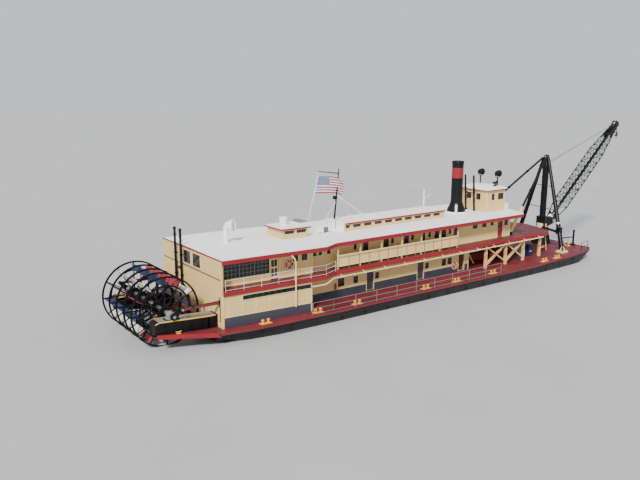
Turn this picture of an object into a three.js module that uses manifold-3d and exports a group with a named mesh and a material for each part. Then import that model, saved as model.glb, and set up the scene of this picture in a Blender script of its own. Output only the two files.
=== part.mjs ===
// Sternwheel snagboat: a flat steel hull with a two-storey deckhouse, a paddle wheel at the stern
// and a derrick at the bow.
// Sizes are written in metres of the full-size boat. x runs forward from the aft wall of the
// deckhouse, y runs to port, and z runs up from the main deck amidships.
// The model is built at half size, in millimetres, with its origin on the flat bottom amidships.

import * as THREE from 'three';
import { mergeVertices } from 'three/addons/utils/BufferGeometryUtils.js';
import Module from 'manifold-3d';

const wasm = await Module();
wasm.setup();

// Model scale and the place of the origin
const MODEL_SCALE = 0.5;
const MILLIMETRES = 1000;
const MIDSHIPS = 22;
const HULL_DEPTH = 1.83;

// Gap left between pieces that touch
const GAP = 0.001;

// Levels
const UPPER_DECK = 2.84;
const ROOF = 5.26;
const FASCIA = 0.34;
const WALL = 0.12;

// Sheer: how far the lines of the boat rise, [x, rise] with straight runs between
const HOUSE_SHEER = [[-10, 0.32], [9.66, 0], [70, 0]];
const DECK_SHEER = [[-10, 0.32], [9.66, 0], [36, 0], [60, 0.6]];

const LEVEL = [[-100, 0], [100, 0]];

// Half widths
const HALF_BEAM = 6.32;
const HALF_AFT = 5.29;
const HALF_FORWARD = 4.6;

// Places along the boat
const TRANSOM = -0.5;
const JOG_AFT = 9.66;
const JOG_FORWARD = 11.1;
const ENGINE_ROOM_END = 8.08;
const LOWER_CABIN_END = 28.9;
const UPPER_CABIN_SPLIT = 9;
const UPPER_CABIN_END = 34.95;
const DECKHOUSE_SIDE = 5.17;
const LOWER_SIDE = 3.25;
const UPPER_SIDE_AFT = 3.95;
const UPPER_SIDE = 3.4;

// Paddle wheel
const WHEEL = { x: -3.56, z: 1.63, radius: 2.68, half: 3.0, arms: 12, frames: 5 };
const SHAFT_RADIUS = 0.17;
const CRANK_RADIUS = 0.75;
const CRANK_Y = 4.5;
const PITMAN_LENGTH = 6;
const PITMAN_Y = 4.68;

// Derrick
const MAST = { x: 45.35, foot: 2.3, shoulder: 9.2, top: 9.95, radius: 0.36, topRadius: 0.18 };
const APEX = 10.45;
const BOOM_FOOT = { x: 46.7, z: 2.8 };
const BOOM_TIP = { x: 59.13, z: 13.85 };

// Paint, [colour, roughness, metalness]
const PAINT = {
  black: [0x17181a, 0.5, 0.2],
  white: [0xe9e8e3, 0.6, 0],
  cream: [0xd9c48f, 0.65, 0],
  red: [0xa31f2b, 0.5, 0],
  deck: [0x8f303a, 0.7, 0],
  grey: [0x525964, 0.6, 0.1],
  steel: [0x8d9196, 0.4, 0.8],
  cloth: [0xb9a9ad, 0.9, 0],
};

// Height of a sheer line at x
function rise(line, x) {
  for (let i = 1; i < line.length; i++) {
    const [xa, za] = line[i - 1];
    const [xb, zb] = line[i];
    if (x <= xb) return za + (zb - za) * (x - xa) / (xb - xa);
  }
  return line[line.length - 1][1];
}

// The x values from x0 to x1 where a sheer line bends, with both ends
function knots(line, x0, x1) {
  const inside = line.map(([x]) => x).filter((x) => x > x0 + 0.05 && x < x1 - 0.05);
  return [x0, ...inside, x1];
}

// Solids from closed geometry, and back
function toSolid(geometry) {
  let plain = geometry.clone();
  plain.deleteAttribute('normal');
  plain.deleteAttribute('uv');
  plain = mergeVertices(plain, 1e-5);
  return new wasm.Manifold(new wasm.Mesh({
    numProp: 3,
    vertProperties: new Float32Array(plain.attributes.position.array),
    triVerts: new Uint32Array(plain.index.array),
  }));
}

function toGeometry(solid) {
  const mesh = solid.getMesh();
  const geometry = new THREE.BufferGeometry();
  geometry.setAttribute('position', new THREE.BufferAttribute(new Float32Array(mesh.vertProperties), 3));
  geometry.setIndex(new THREE.BufferAttribute(new Uint32Array(mesh.triVerts), 1));
  return geometry;
}

const join = (solids) => solids.reduce((sum, solid) => sum.add(solid));
const cut = (solid, tools) => tools.reduce((left, tool) => left.subtract(tool), solid);

// A closed skin over rings of points, each ring convex and with the same number of points
function loft(rings) {
  const count = rings[0].length;
  const points = rings.flat();
  const faces = [];
  for (let r = 0; r + 1 < rings.length; r++) {
    for (let i = 0; i < count; i++) {
      const a = r * count + i;
      const b = r * count + (i + 1) % count;
      faces.push(a, b, b + count, a, b + count, a + count);
    }
  }
  const last = (rings.length - 1) * count;
  for (let i = 1; i + 1 < count; i++) {
    faces.push(0, i + 1, i);
    faces.push(last, last + i, last + i + 1);
  }
  let volume = 0;
  for (let f = 0; f < faces.length; f += 3) {
    const [a, b, c] = [points[faces[f]], points[faces[f + 1]], points[faces[f + 2]]];
    volume += a.dot(new THREE.Vector3().crossVectors(b, c));
  }
  if (volume < 0) {
    for (let f = 0; f < faces.length; f += 3) [faces[f], faces[f + 1]] = [faces[f + 1], faces[f]];
  }
  const geometry = new THREE.BufferGeometry();
  const array = new Float32Array(points.flatMap((p) => [p.x, p.y, p.z]));
  geometry.setAttribute('position', new THREE.BufferAttribute(array, 3));
  geometry.setIndex(faces);
  return toSolid(geometry);
}

const at = (x, y, z) => new THREE.Vector3(x, y, z);

// A block between two x, two y and two z, which follows a sheer line
function block(x0, x1, y0, y1, z0, z1, line = HOUSE_SHEER) {
  return loft(knots(line, x0, x1).map((x) => {
    const lift = rise(line, x);
    return [at(x, y0, z0 + lift), at(x, y1, z0 + lift), at(x, y1, z1 + lift), at(x, y0, z1 + lift)];
  }));
}

// A slab that is alike on both sides, from stations [x, half width]
function slab(stations, z0, z1, line = HOUSE_SHEER) {
  return loft(stations.map(([x, half]) => {
    const lift = rise(line, x);
    return [at(x, -half, z0 + lift), at(x, half, z0 + lift), at(x, half, z1 + lift), at(x, -half, z1 + lift)];
  }));
}

// A slab whose top rises to the centreline
function crowned(stations, z0, z1, crown) {
  return loft(stations.map(([x, half]) => {
    const lift = rise(HOUSE_SHEER, x);
    const middle = z1 + lift + crown * half / HALF_AFT;
    return [
      at(x, -half, z0 + lift), at(x, half, z0 + lift), at(x, half, z1 + lift), at(x, 0, middle),
      at(x, -half, z1 + lift),
    ];
  }));
}

// A square bar between two points, wide across and deep upward
function bar(from, to, wide, deep) {
  const along = at(0, 0, 0).subVectors(to, from).normalize();
  const up = Math.abs(along.z) > 0.95 ? at(1, 0, 0) : at(0, 0, 1);
  const side = at(0, 0, 0).crossVectors(up, along).normalize().multiplyScalar(wide / 2);
  const top = at(0, 0, 0).crossVectors(along, side).normalize().multiplyScalar(deep / 2);
  const ring = (p) => [[-1, -1], [1, -1], [1, 1], [-1, 1]].map(
    ([s, t]) => p.clone().addScaledVector(side, s).addScaledVector(top, t));
  return loft([ring(from), ring(to)]);
}

// A round bar between two points, which may taper
function rod(from, to, radius, sides = 12, endRadius = radius) {
  const length = from.distanceTo(to);
  const geometry = new THREE.CylinderGeometry(endRadius, radius, length, sides);
  const along = at(0, 0, 0).subVectors(to, from).normalize();
  const turn = new THREE.Quaternion().setFromUnitVectors(at(0, 1, 0), along);
  geometry.applyQuaternion(turn);
  geometry.translate((from.x + to.x) / 2, (from.y + to.y) / 2, (from.z + to.z) / 2);
  return toSolid(geometry);
}

// A turned piece on an upright axis, from a profile of [radius, z]
function turned(profile, x, y, sides = 16) {
  const points = profile.map(([r, z]) => new THREE.Vector2(r, z));
  const geometry = new THREE.LatheGeometry(points, sides);
  geometry.rotateX(Math.PI / 2);
  geometry.translate(x, y, 0);
  return toSolid(geometry);
}

const boat = new THREE.Group();

function piece(name, solid, paint) {
  const [colour, roughness, metalness] = paint;
  const material = new THREE.MeshStandardMaterial({ color: colour, roughness, metalness });
  const mesh = new THREE.Mesh(toGeometry(solid), material);
  mesh.name = name;
  boat.add(mesh);
}

const SIDES = [['port', 1], ['starboard', -1]];

// Hull with the rudder carrier on its transom, stations [x, half width, bottom]
const DECK_UNDER = -0.12;
const HULL_STATIONS = [
  [TRANSOM, 5.3, -0.75],
  [4.5, 6.0, -HULL_DEPTH],
  [10, 6.15, -HULL_DEPTH],
  [36, 6.15, -HULL_DEPTH],
  [40.5, 6.05, -HULL_DEPTH],
  [44.5, 5.85, -1.15],
  [46.9, 5.5, -0.2],
];

function hull() {
  const body = loft(HULL_STATIONS.map(([x, half, bottom]) => {
    const top = rise(DECK_SHEER, x) + 0.2;
    const bilge = Math.min(0.35, (top - bottom) * 0.4);
    return [
      at(x, -half, top), at(x, -half, bottom + bilge), at(x, -half + bilge, bottom),
      at(x, half - bilge, bottom), at(x, half, bottom + bilge), at(x, half, top),
    ];
  }));
  const carrier = block(TRANSOM - 0.2, TRANSOM + 0.2, -3.1, 3.1, -0.5, -0.2, LEVEL);
  return cut(join([body, carrier]), [block(-5, 55, -8, 8, DECK_UNDER - GAP, 3, DECK_SHEER)]);
}

// Main deck, stations [x, half width]
const DECK_STATIONS = [
  [-0.7, 6.0], [2, HALF_BEAM], [9.66, HALF_BEAM], [36, HALF_BEAM], [41, 6.2], [44.5, 5.95], [46.6, 5.65],
  [47.3, 5.2],
];

// The deck's horns beside the wheel beams, [x, outer y, top]
const GUARD_STATIONS = [[TRANSOM - 0.02, 5.9, 0.14], [-2.6, 5.1, 0.28], [-4.9, 4.52, 0.48]];

const CAPSTAN = { x: 43.6, y: -1.6 };

function mainDeck() {
  const parts = [slab(DECK_STATIONS, DECK_UNDER, 0, DECK_SHEER)];
  for (const [, side] of SIDES) {
    const near = side * (BEAM.outer + 2 * GAP);
    parts.push(loft(GUARD_STATIONS.map(([x, outer, top]) => [
      at(x, near, top - 0.26), at(x, side * outer, top - 0.26), at(x, side * outer, top), at(x, near, top),
    ])));
  }
  const foot = rise(DECK_SHEER, CAPSTAN.x);
  parts.push(turned([
    [0, foot - 0.05], [0.42, foot - 0.05], [0.42, foot + 0.1], [0.26, foot + 0.2], [0.22, foot + 0.55],
    [0.34, foot + 0.75], [0.34, foot + 0.85], [0, foot + 0.9],
  ], CAPSTAN.x, CAPSTAN.y, 14));
  const step = rise(DECK_SHEER, MAST.x);
  const stepTop = MAST.foot - 0.21;
  parts.push(turned([[0, step - 0.05], [1.15, step - 0.05], [0.7, stepTop], [0, stepTop]], MAST.x, 0, 16));
  return join(parts);
}

// Wheel beams: a boxed timber on each side of the wheel, from the aft wall to past the shaft
const BEAM = { inner: 3.42, outer: 4.42, aft: -5.0, topAtWall: 1.0, topAft: 1.4, underAft: 0.25 };

function wheelBeam(side) {
  const ring = (x, z0, z1) => [
    at(x, side * BEAM.inner, z0), at(x, side * BEAM.outer, z0),
    at(x, side * BEAM.outer, z1), at(x, side * BEAM.inner, z1),
  ];
  const lift = rise(HOUSE_SHEER, 0);
  const deckEnd = DECK_STATIONS[0][0];
  const box = loft([
    ring(deckEnd - GAP, DECK_UNDER, BEAM.topAtWall + lift),
    ring(-4.7, BEAM.underAft, BEAM.topAft),
    ring(BEAM.aft, BEAM.underAft + 0.3, BEAM.topAft - 0.12),
  ]);
  const root = block(deckEnd - 0.1, -GAP, side * BEAM.inner, side * BEAM.outer, GAP, BEAM.topAtWall);
  const bearing = block(WHEEL.x - 0.4, WHEEL.x + 0.4, side * (BEAM.inner + 0.25), side * (BEAM.outer - 0.15),
    1.1, 1.9, LEVEL);
  const bore = rod(at(WHEEL.x, side * 3, WHEEL.z), at(WHEEL.x, side * 5, WHEEL.z), SHAFT_RADIUS + 0.015, 16);
  return cut(join([box, root, bearing]), [bore]);
}

// A flat ring about the wheel's axis
function wheelRing(outer, inner, y, thick) {
  const profile = [[inner, -thick / 2], [outer, -thick / 2], [outer, thick / 2], [inner, thick / 2],
    [inner, -thick / 2]];
  const geometry = new THREE.LatheGeometry(profile.map(([r, h]) => new THREE.Vector2(r, h)), WHEEL.arms * 3);
  geometry.translate(WHEEL.x, 0, 0);
  geometry.translate(0, y, WHEEL.z);
  return toSolid(geometry);
}

// A point at a radius and an angle about the wheel's axis
function onWheel(radius, angle, y) {
  return at(WHEEL.x + radius * Math.cos(angle), y, WHEEL.z + radius * Math.sin(angle));
}

const CRANK_ANGLE = { port: Math.PI * 0.75, starboard: Math.PI * 0.25 };

// The wheel: frames of hub, arms and rims, with a board across them at each arm
function paddleWheel() {
  const parts = [];
  for (let f = 0; f < WHEEL.frames; f++) {
    const y = -WHEEL.half + 2 * WHEEL.half * f / (WHEEL.frames - 1);
    parts.push(rod(at(WHEEL.x, y - 0.14, WHEEL.z), at(WHEEL.x, y + 0.14, WHEEL.z), 0.45, 16));
    parts.push(wheelRing(WHEEL.radius, WHEEL.radius - 0.12, y, 0.06));
    if (f % 2 === 0) parts.push(wheelRing(2.02, 1.9, y, 0.06));
    for (let a = 0; a < WHEEL.arms; a++) {
      const angle = a * 2 * Math.PI / WHEEL.arms;
      parts.push(bar(onWheel(0.3, angle, y), onWheel(WHEEL.radius - 0.03, angle, y), 0.1, 0.08));
    }
  }
  for (let a = 0; a < WHEEL.arms; a++) {
    const angle = a * 2 * Math.PI / WHEEL.arms;
    const shift = 0.06;
    const inner = onWheel(1.95, angle, 0);
    const outer = onWheel(2.5, angle, 0);
    const sideways = at(-Math.sin(angle) * shift, 0, Math.cos(angle) * shift);
    const half = WHEEL.half + 0.05;
    const ring = (y) => [
      at(inner.x, y, inner.z), at(outer.x, y, outer.z),
      at(outer.x + sideways.x, y, outer.z + sideways.z), at(inner.x + sideways.x, y, inner.z + sideways.z),
    ];
    parts.push(loft([ring(-half), ring(half)]));
  }
  const bore = rod(at(WHEEL.x, -4, WHEEL.z), at(WHEEL.x, 4, WHEEL.z), SHAFT_RADIUS + GAP, 16);
  return cut(join(parts), [bore]);
}

// The wheel's shaft with a crank and pin on each end
function wheelShaft() {
  const end = CRANK_Y + 0.12;
  const parts = [rod(at(WHEEL.x, -end, WHEEL.z), at(WHEEL.x, end, WHEEL.z), SHAFT_RADIUS, 16)];
  for (const [name, side] of SIDES) {
    const angle = CRANK_ANGLE[name];
    const middle = side * (CRANK_Y + 0.06);
    parts.push(bar(onWheel(-0.2, angle, middle), onWheel(CRANK_RADIUS + 0.14, angle, middle), 0.12, 0.3));
    const pin = onWheel(CRANK_RADIUS, angle, middle);
    parts.push(rod(pin, at(pin.x, side * (PITMAN_Y + 0.26), pin.z), 0.07, 12));
  }
  return join(parts);
}

// Pitman: the long rod from the crank pin to the engine's crosshead
function pitman(name, side) {
  const pin = onWheel(CRANK_RADIUS, CRANK_ANGLE[name], side * PITMAN_Y);
  const y0 = side * PITMAN_Y;
  const y1 = side * (PITMAN_Y + 0.22);
  const middle = (y0 + y1) / 2;
  const eye = rod(at(pin.x, y0, pin.z), at(pin.x, y1, pin.z), 0.16, 16);
  const arm = bar(at(pin.x, middle, pin.z), at(pin.x + PITMAN_LENGTH, middle, pin.z), 0.18, 0.2);
  const bore = rod(at(pin.x, y0 - side * 0.1, pin.z), at(pin.x, y1 + side * 0.1, pin.z), 0.085, 12);
  return cut(join([eye, arm]), [bore]);
}

// Rudders hung on the transom, y of each stock
const RUDDERS = [['rudder_port', 2.7], ['rudder_center', 0], ['rudder_starboard', -2.7]];
const RUDDER = { stock: -0.86, fore: -0.62, aft: -2.15, top: -0.95, under: -1.78, stockTop: 0.5 };

function rudder(y) {
  const blade = block(RUDDER.aft, RUDDER.fore, y - 0.05, y + 0.05, RUDDER.under, RUDDER.top, LEVEL);
  const stock = rod(at(RUDDER.stock, y, RUDDER.under + 0.1), at(RUDDER.stock, y, RUDDER.stockTop), 0.07, 12);
  return join([blade, stock]);
}

// Openings in a wall that runs along the boat: [x, bottom, width, height]
function sideOpenings(list, y, line = HOUSE_SHEER) {
  return list.map(([x, z, wide, high]) => (
    block(x - wide / 2, x + wide / 2, y - 0.4, y + 0.4, z, z + high, line)));
}

// The deck solid raised by a gap, taken out of the feet of what stands on it
const deckClearance = () => slab(DECK_STATIONS, -0.5, GAP, DECK_SHEER);

const LOWER_TOP = UPPER_DECK - FASCIA - GAP;
const UPPER_TOP = ROOF - FASCIA - GAP;

// Aft wall of the deckhouse, both storeys high
const AFT_WINDOWS = { y: [0.57, -1.14], wide: 1.32, sill: 3.97, head: 4.84 };

function aftWall() {
  const wall = block(0, WALL, -DECKHOUSE_SIDE, DECKHOUSE_SIDE, GAP, UPPER_TOP);
  const { wide, sill, head } = AFT_WINDOWS;
  const tools = AFT_WINDOWS.y.map((y) => block(-0.2, 0.4, y - wide / 2, y + wide / 2, sill, head));
  for (const [, side] of SIDES) {
    const middle = side * (PITMAN_Y + 0.11);
    tools.push(block(-0.2, 0.4, middle - 0.2, middle + 0.2, 0.5, 2.6, LEVEL));
  }
  return cut(wall, tools);
}

// Engine room side wall, with a row of louvres high up
const LOUVRES = [[3.9, 2.0, 5.6, 0.3]];

function engineRoomWall(side) {
  const outer = side * DECKHOUSE_SIDE;
  const wall = block(WALL + GAP, ENGINE_ROOM_END, outer - side * WALL, outer, 0, LOWER_TOP);
  return cut(wall, [...sideOpenings(LOUVRES, outer), deckClearance()]);
}

// A wall across the boat, between two y, with doorways and windows: [y, bottom, width, height]
function crossWall(x, half, floor, top, openings) {
  const wall = block(x, x + WALL, -half, half, floor, top);
  return cut(wall, openings.map(([y, z, wide, high]) => (
    block(x - 0.3, x + WALL + 0.3, y - wide / 2, y + wide / 2, z, z + high))));
}

function engineBulkhead() {
  const wall = crossWall(ENGINE_ROOM_END + GAP, DECKHOUSE_SIDE, 0, LOWER_TOP, [[0, 0.12, 0.9, 1.85]]);
  return cut(wall, [deckClearance()]);
}

// Engine blocks, one at the forward end of each pitman
const ENGINE = { from: 3.65, to: 7.2, inner: 4.2, outer: 4.98, high: 1.5 };

function engine(side) {
  const solid = block(ENGINE.from, ENGINE.to, side * ENGINE.inner, side * ENGINE.outer, 0, ENGINE.high);
  return cut(solid, [deckClearance()]);
}

// Lower cabin walls, with openings for doors and windows: [x, bottom, width, height]
const DOOR = { wide: 0.8, high: 1.65 };
const LOWER_SILL = 0.1;
const LOWER_DOORS = [16, 22.3];
const LOWER_WINDOWS = [
  [12.68, 0.93, 0.74, 0.76], [14.33, 0.97, 0.57, 0.66], [16.83, 1.0, 0.5, 0.62], [23.16, 0.97, 0.5, 0.62],
  [25.48, 0.95, 0.62, 0.7], [26.27, 0.95, 0.62, 0.7], [27.97, LOWER_SILL, 0.8, DOOR.high],
];
const LOWER_CABIN_START = ENGINE_ROOM_END + WALL + 2 * GAP;

function doorOpenings(list, y, floor) {
  return sideOpenings(list.map((x) => [x, floor, DOOR.wide, DOOR.high]), y);
}

function lowerCabinWall(side) {
  const outer = side * LOWER_SIDE;
  const wall = block(LOWER_CABIN_START, LOWER_CABIN_END, outer - side * WALL, outer, 0, LOWER_TOP);
  return cut(wall, [
    deckClearance(), ...sideOpenings(LOWER_WINDOWS, outer), ...doorOpenings(LOWER_DOORS, outer, LOWER_SILL),
  ]);
}

function lowerCabinFront() {
  const wall = crossWall(LOWER_CABIN_END + GAP, LOWER_SIDE, 0, LOWER_TOP, [[0, LOWER_SILL, 1.8, 1.9]]);
  return cut(wall, [deckClearance()]);
}

// A door leaf in its opening, on a wall that runs along the boat
function doorLeaf(x, y, floor) {
  const side = Math.sign(y);
  const half = DOOR.wide / 2 - 0.015;
  const lift = rise(HOUSE_SHEER, x);
  const z0 = floor + lift + 0.02;
  const [inner, outer] = [y - side * (WALL - 0.02), y - side * 0.02];
  return block(x - half, x + half, inner, outer, z0, z0 + DOOR.high - 0.04, LEVEL);
}

// The boiler under the stack, and the hoisting winch ahead of it
const BOILER = { from: 29.6, to: 33.6, half: 1.5, high: 2.2 };

function boiler() {
  const solid = block(BOILER.from, BOILER.to, -BOILER.half, BOILER.half, 0, BOILER.high);
  return cut(solid, [deckClearance()]);
}

const WINCH = { x: 37, half: 1.6, drumRadius: 0.5, z: 1.05 };

function winch() {
  const { x, half, drumRadius, z } = WINCH;
  const parts = [block(x - 1.7, x + 1.7, -half, half, 0, 0.3)];
  for (const dx of [-0.8, 0.8]) {
    parts.push(rod(at(x + dx, -half + 0.1, z), at(x + dx, half - 0.1, z), 0.14, 12));
    parts.push(rod(at(x + dx, -1.1, z), at(x + dx, 1.1, z), drumRadius, 16));
    for (const y of [-1.15, 0, 1.15]) {
      parts.push(rod(at(x + dx, y - 0.05, z), at(x + dx, y + 0.05, z), drumRadius + 0.16, 16));
    }
  }
  for (const [, side] of SIDES) {
    const y = side * (half - 0.25);
    parts.push(block(x - 1.3, x + 1.3, y - 0.08, y + 0.08, 0.25, z + 0.2));
  }
  return cut(join(parts), [deckClearance()]);
}

// Trusses between the main deck and the upper deck, ahead of the cabin
const TRUSS = { y: 3.9, posts: [30.9, 34, 36.9, 39.7], post: 0.24, braced: 2, thin: 0.13, thick: 0.26, chord: 0.16 };

function truss(side) {
  const y = side * TRUSS.y;
  const half = TRUSS.post / 2;
  const parts = TRUSS.posts.map((x) => block(x - half, x + half, y - half, y + half, 0, LOWER_TOP));
  const [first, last] = [TRUSS.posts[0], TRUSS.posts[TRUSS.posts.length - 1]];
  const chord = TRUSS.chord;
  parts.push(block(first, last, y - chord / 2, y + chord / 2, LOWER_TOP - chord, LOWER_TOP));
  for (let i = 0; i < TRUSS.braced; i++) {
    const [xa, xb] = [TRUSS.posts[i], TRUSS.posts[i + 1]];
    parts.push(bar(at(xa, y, 0.3), at(xb, y, LOWER_TOP - 0.25), TRUSS.thin, TRUSS.thick));
    parts.push(bar(at(xa, y, LOWER_TOP - 0.25), at(xb, y, 0.3), TRUSS.thin, TRUSS.thin));
  }
  return cut(join(parts), [deckClearance()]);
}

// Upper deck, stations [x, half width]
const UPPER_DECK_STATIONS = [
  [WALL + GAP, HALF_AFT], [JOG_AFT, HALF_AFT], [JOG_FORWARD, HALF_FORWARD], [40.25, HALF_FORWARD],
  [40.85, 4.15], [41.65, 1.9], [42.1, 0.5],
];

// Upper cabin walls, with windows [x, bottom, width, height]
const UPPER_SILL = UPPER_DECK + 0.08;
const UPPER_DOORS = [5.38];
const GALLERY_WINDOWS = [[2.88, 3.42, 4.1, 1.3], [7.4, 4.05, 0.55, 0.55], [8.3, 4.05, 0.6, 0.55]];
const SMALL = [0.38, 0.5];
const LARGE = [0.65, 0.9];
const UPPER_WINDOWS = [
  [9.6, 4.1, ...LARGE], [10.3, 4.1, ...SMALL], [11.2, 4.1, ...SMALL],
  [14.09, 4.1, ...SMALL], [15.29, 3.75, ...LARGE], [17.71, 3.75, ...LARGE], [18.46, 4.1, ...SMALL],
  [20.21, 3.75, ...LARGE], [20.97, 4.1, ...SMALL], [22.31, 3.75, ...LARGE], [23.22, 4.1, ...SMALL],
  [24.19, 3.75, ...LARGE], [25.13, 3.75, ...LARGE], [25.97, 4.1, ...SMALL], [26.85, 3.75, ...LARGE],
  [29.62, 4.2, 0.75, 0.5], [31, 4.2, 0.7, 0.5], [32.2, 4.25, 0.5, 0.45], [34.42, 4.0, 0.6, 0.65],
].map(([x, z, wide, high]) => [x, z, wide, Math.min(high, UPPER_TOP - 0.2 - z)]);
const FORWARD_DOORS = [33.5];
const UPPER_CABIN_START = UPPER_CABIN_SPLIT + WALL + 2 * GAP;

function galleryWall(side) {
  const outer = side * UPPER_SIDE_AFT;
  const inner = outer - side * WALL;
  const wall = block(WALL + GAP, UPPER_CABIN_SPLIT, inner, outer, UPPER_DECK + GAP, UPPER_TOP);
  return cut(wall, [
    ...sideOpenings(GALLERY_WINDOWS, outer), ...doorOpenings(UPPER_DOORS, outer, UPPER_SILL),
  ]);
}

function upperBulkhead() {
  return crossWall(UPPER_CABIN_SPLIT + GAP, UPPER_SIDE_AFT, UPPER_DECK + GAP, UPPER_TOP,
    [[0, UPPER_SILL, 0.9, 1.85]]);
}

function upperCabinWall(side) {
  const outer = side * UPPER_SIDE;
  const inner = outer - side * WALL;
  const wall = block(UPPER_CABIN_START, UPPER_CABIN_END, inner, outer, UPPER_DECK + GAP, UPPER_TOP);
  return cut(wall, [
    ...sideOpenings(UPPER_WINDOWS, outer), ...doorOpenings(FORWARD_DOORS, outer, UPPER_SILL),
  ]);
}

function upperCabinFront() {
  const windows = [-2.2, 0, 2.2].map((y) => [y, 3.75, 0.9, 0.9]);
  return crossWall(UPPER_CABIN_END + GAP, UPPER_SIDE, UPPER_DECK + GAP, UPPER_TOP, windows);
}

// Bulwark panels along the edge of the upper deck
const BULWARK = { from: 11.5, to: 26.3, y: 4.3, foot: 0.26, high: 1.22, thick: 0.06 };

function bulwark(side) {
  const y = side * BULWARK.y;
  const floor = UPPER_DECK + GAP;
  const inner = y - side * BULWARK.thick;
  const { foot, high } = BULWARK;
  const parts = [block(BULWARK.from, BULWARK.to, inner, y, UPPER_DECK + foot, UPPER_DECK + high)];
  const bays = 6;
  for (let i = 0; i <= bays; i++) {
    const x = BULWARK.from + 0.06 + (BULWARK.to - BULWARK.from - 0.12) * i / bays;
    parts.push(block(x - 0.05, x + 0.05, y - side * 0.12, y - side * 0.02, floor, UPPER_TOP));
  }
  return join(parts);
}

// Roof, stations [x, half width]
const ROOF_STATIONS = [
  [0, HALF_AFT], [JOG_AFT, HALF_AFT], [JOG_FORWARD, HALF_FORWARD], [35.75, HALF_FORWARD],
  [36.3, 4.0], [36.9, 2.2], [37.15, 0.7],
];

const ROOF_CROWN = 0.06;

// The roof raised by a gap, taken out of the feet of what stands on it
const roofClearance = () => crowned(ROOF_STATIONS, ROOF - 1, ROOF + GAP, ROOF_CROWN);

// A low house on the roof: walls with a row of windows and an overhanging lid
function roofHouse(x0, x1, half, high, overhang, windows) {
  const floor = ROOF;
  const shell = block(x0, x1, -half, half, floor, floor + high);
  const room = block(x0 + 0.08, x1 - 0.08, -half + 0.08, half - 0.08, floor - 0.1, floor + high - 0.06);
  const lid = block(x0 - overhang, x1 + overhang, -half - overhang, half + overhang, floor + high - 0.05,
    floor + high + LID_TOP);
  const tools = [room, roofClearance()];
  const [sill, head] = [floor + high - 0.42, floor + high - 0.14];
  for (const [x, wide] of windows) {
    tools.push(block(x - wide / 2, x + wide / 2, -half - 0.2, half + 0.2, sill, head));
  }
  return join([cut(shell, tools), lid]);
}

const LID_TOP = 0.14;
const SKYLIGHT = { from: 7.97, to: 10.56, half: 1.2, high: 0.9, overhang: 0.22, windows: [8.62, 9.91] };
const MUSHROOM = { x: 8.97, y: 0.2, trunk: 0.31, cap: 0.37, high: 0.72 };
const CLERESTORY = { from: 14.55, to: 27.3, half: 1.3, high: 0.73, overhang: 0.15 };
const GROUPS = { count: 10, first: 14.72, pitch: 1.28, wide: 1 };

// The skylight house, with a mushroom ventilator on its lid
function skylight() {
  const { x, y, trunk, cap, high } = MUSHROOM;
  const z = ROOF + SKYLIGHT.high + LID_TOP - 0.05;
  const top = z + 0.05 + rise(HOUSE_SHEER, x) + high;
  const vent = turned([
    [0, z], [trunk, z], [trunk, top - 0.25], [cap, top - 0.25], [cap, top - 0.12], [cap * 0.5, top - 0.02],
    [0, top],
  ], x, y, 16);
  const windows = SKYLIGHT.windows.map((middle) => [middle, 0.9]);
  const { from, to, half, overhang } = SKYLIGHT;
  return join([roofHouse(from, to, half, SKYLIGHT.high, overhang, windows), vent]);
}

// The clerestory, with a housing and its duct standing aft of it and a curb between them
const HOUSING = { from: 11.75, to: 13, starboard: -0.95, port: 1.4, high: 0.75 };
const DUCT = { from: 12.2, to: 12.8, port: 3.6, high: 0.72 };
const CURB = { starboard: 0.3, port: 0.6, high: 0.1 };

function clerestory() {
  const windows = [];
  for (let i = 0; i < GROUPS.count; i++) {
    const middle = GROUPS.first + GROUPS.pitch * i;
    const aft = Math.max(middle - GROUPS.wide / 2, CLERESTORY.from + 0.1);
    const fore = middle + GROUPS.wide / 2;
    windows.push([(aft + fore) / 2, fore - aft]);
  }
  const { from, to, half, high, overhang } = CLERESTORY;
  const house = roofHouse(from, to, half, high, overhang, windows);
  const { starboard, port } = HOUSING;
  const housing = block(HOUSING.from, HOUSING.to, starboard, port, ROOF, ROOF + HOUSING.high);
  const duct = block(DUCT.from, DUCT.to, port - 0.1, DUCT.port, ROOF, ROOF + DUCT.high);
  const curb = block(HOUSING.to - 0.05, from + 0.05, CURB.starboard, CURB.port, ROOF, ROOF + CURB.high);
  return join([house, cut(join([housing, duct, curb]), [roofClearance()])]);
}

// Pilothouse
const PILOTHOUSE = { from: 33.1, to: 35.95, half: 1.8, top: 7.55, overhang: 0.22 };
const PILOTHOUSE_WINDOWS = {
  sides: [[34.08, 0.54], [35.3, 0.95]],
  front: [[-1.1, 0.85], [0, 0.85], [1.1, 0.85]],
  back: [[-0.65, 0.66], [0.65, 0.66]],
  sill: 6.5,
  head: 7.2,
};
const LIGHTS = { x: 35.3, y: [-1.24, 1.08], z: 9.2, radius: 0.37 };
const HORN = { x: 34.65, y: -1.5, high: 0.75, bell: 0.2 };

function pilothouseWalls() {
  const { from, to, half, top } = PILOTHOUSE;
  const shell = block(from, to, -half, half, ROOF, top);
  const room = block(from + WALL, to - WALL, -half + WALL, half - WALL, ROOF - 1, top + 1);
  const tools = [room, roofClearance()];
  const { sides, front, back, sill, head } = PILOTHOUSE_WINDOWS;
  for (const [x, wide] of sides) {
    tools.push(block(x - wide / 2, x + wide / 2, -half - 0.2, half + 0.2, sill, head));
  }
  for (const [y, wide] of front) {
    tools.push(block(to - 0.4, to + 0.4, y - wide / 2, y + wide / 2, sill, head));
  }
  for (const [y, wide] of back) {
    tools.push(block(from - 0.4, from + 0.4, y - wide / 2, y + wide / 2, sill, head));
  }
  return cut(shell, tools);
}

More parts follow.
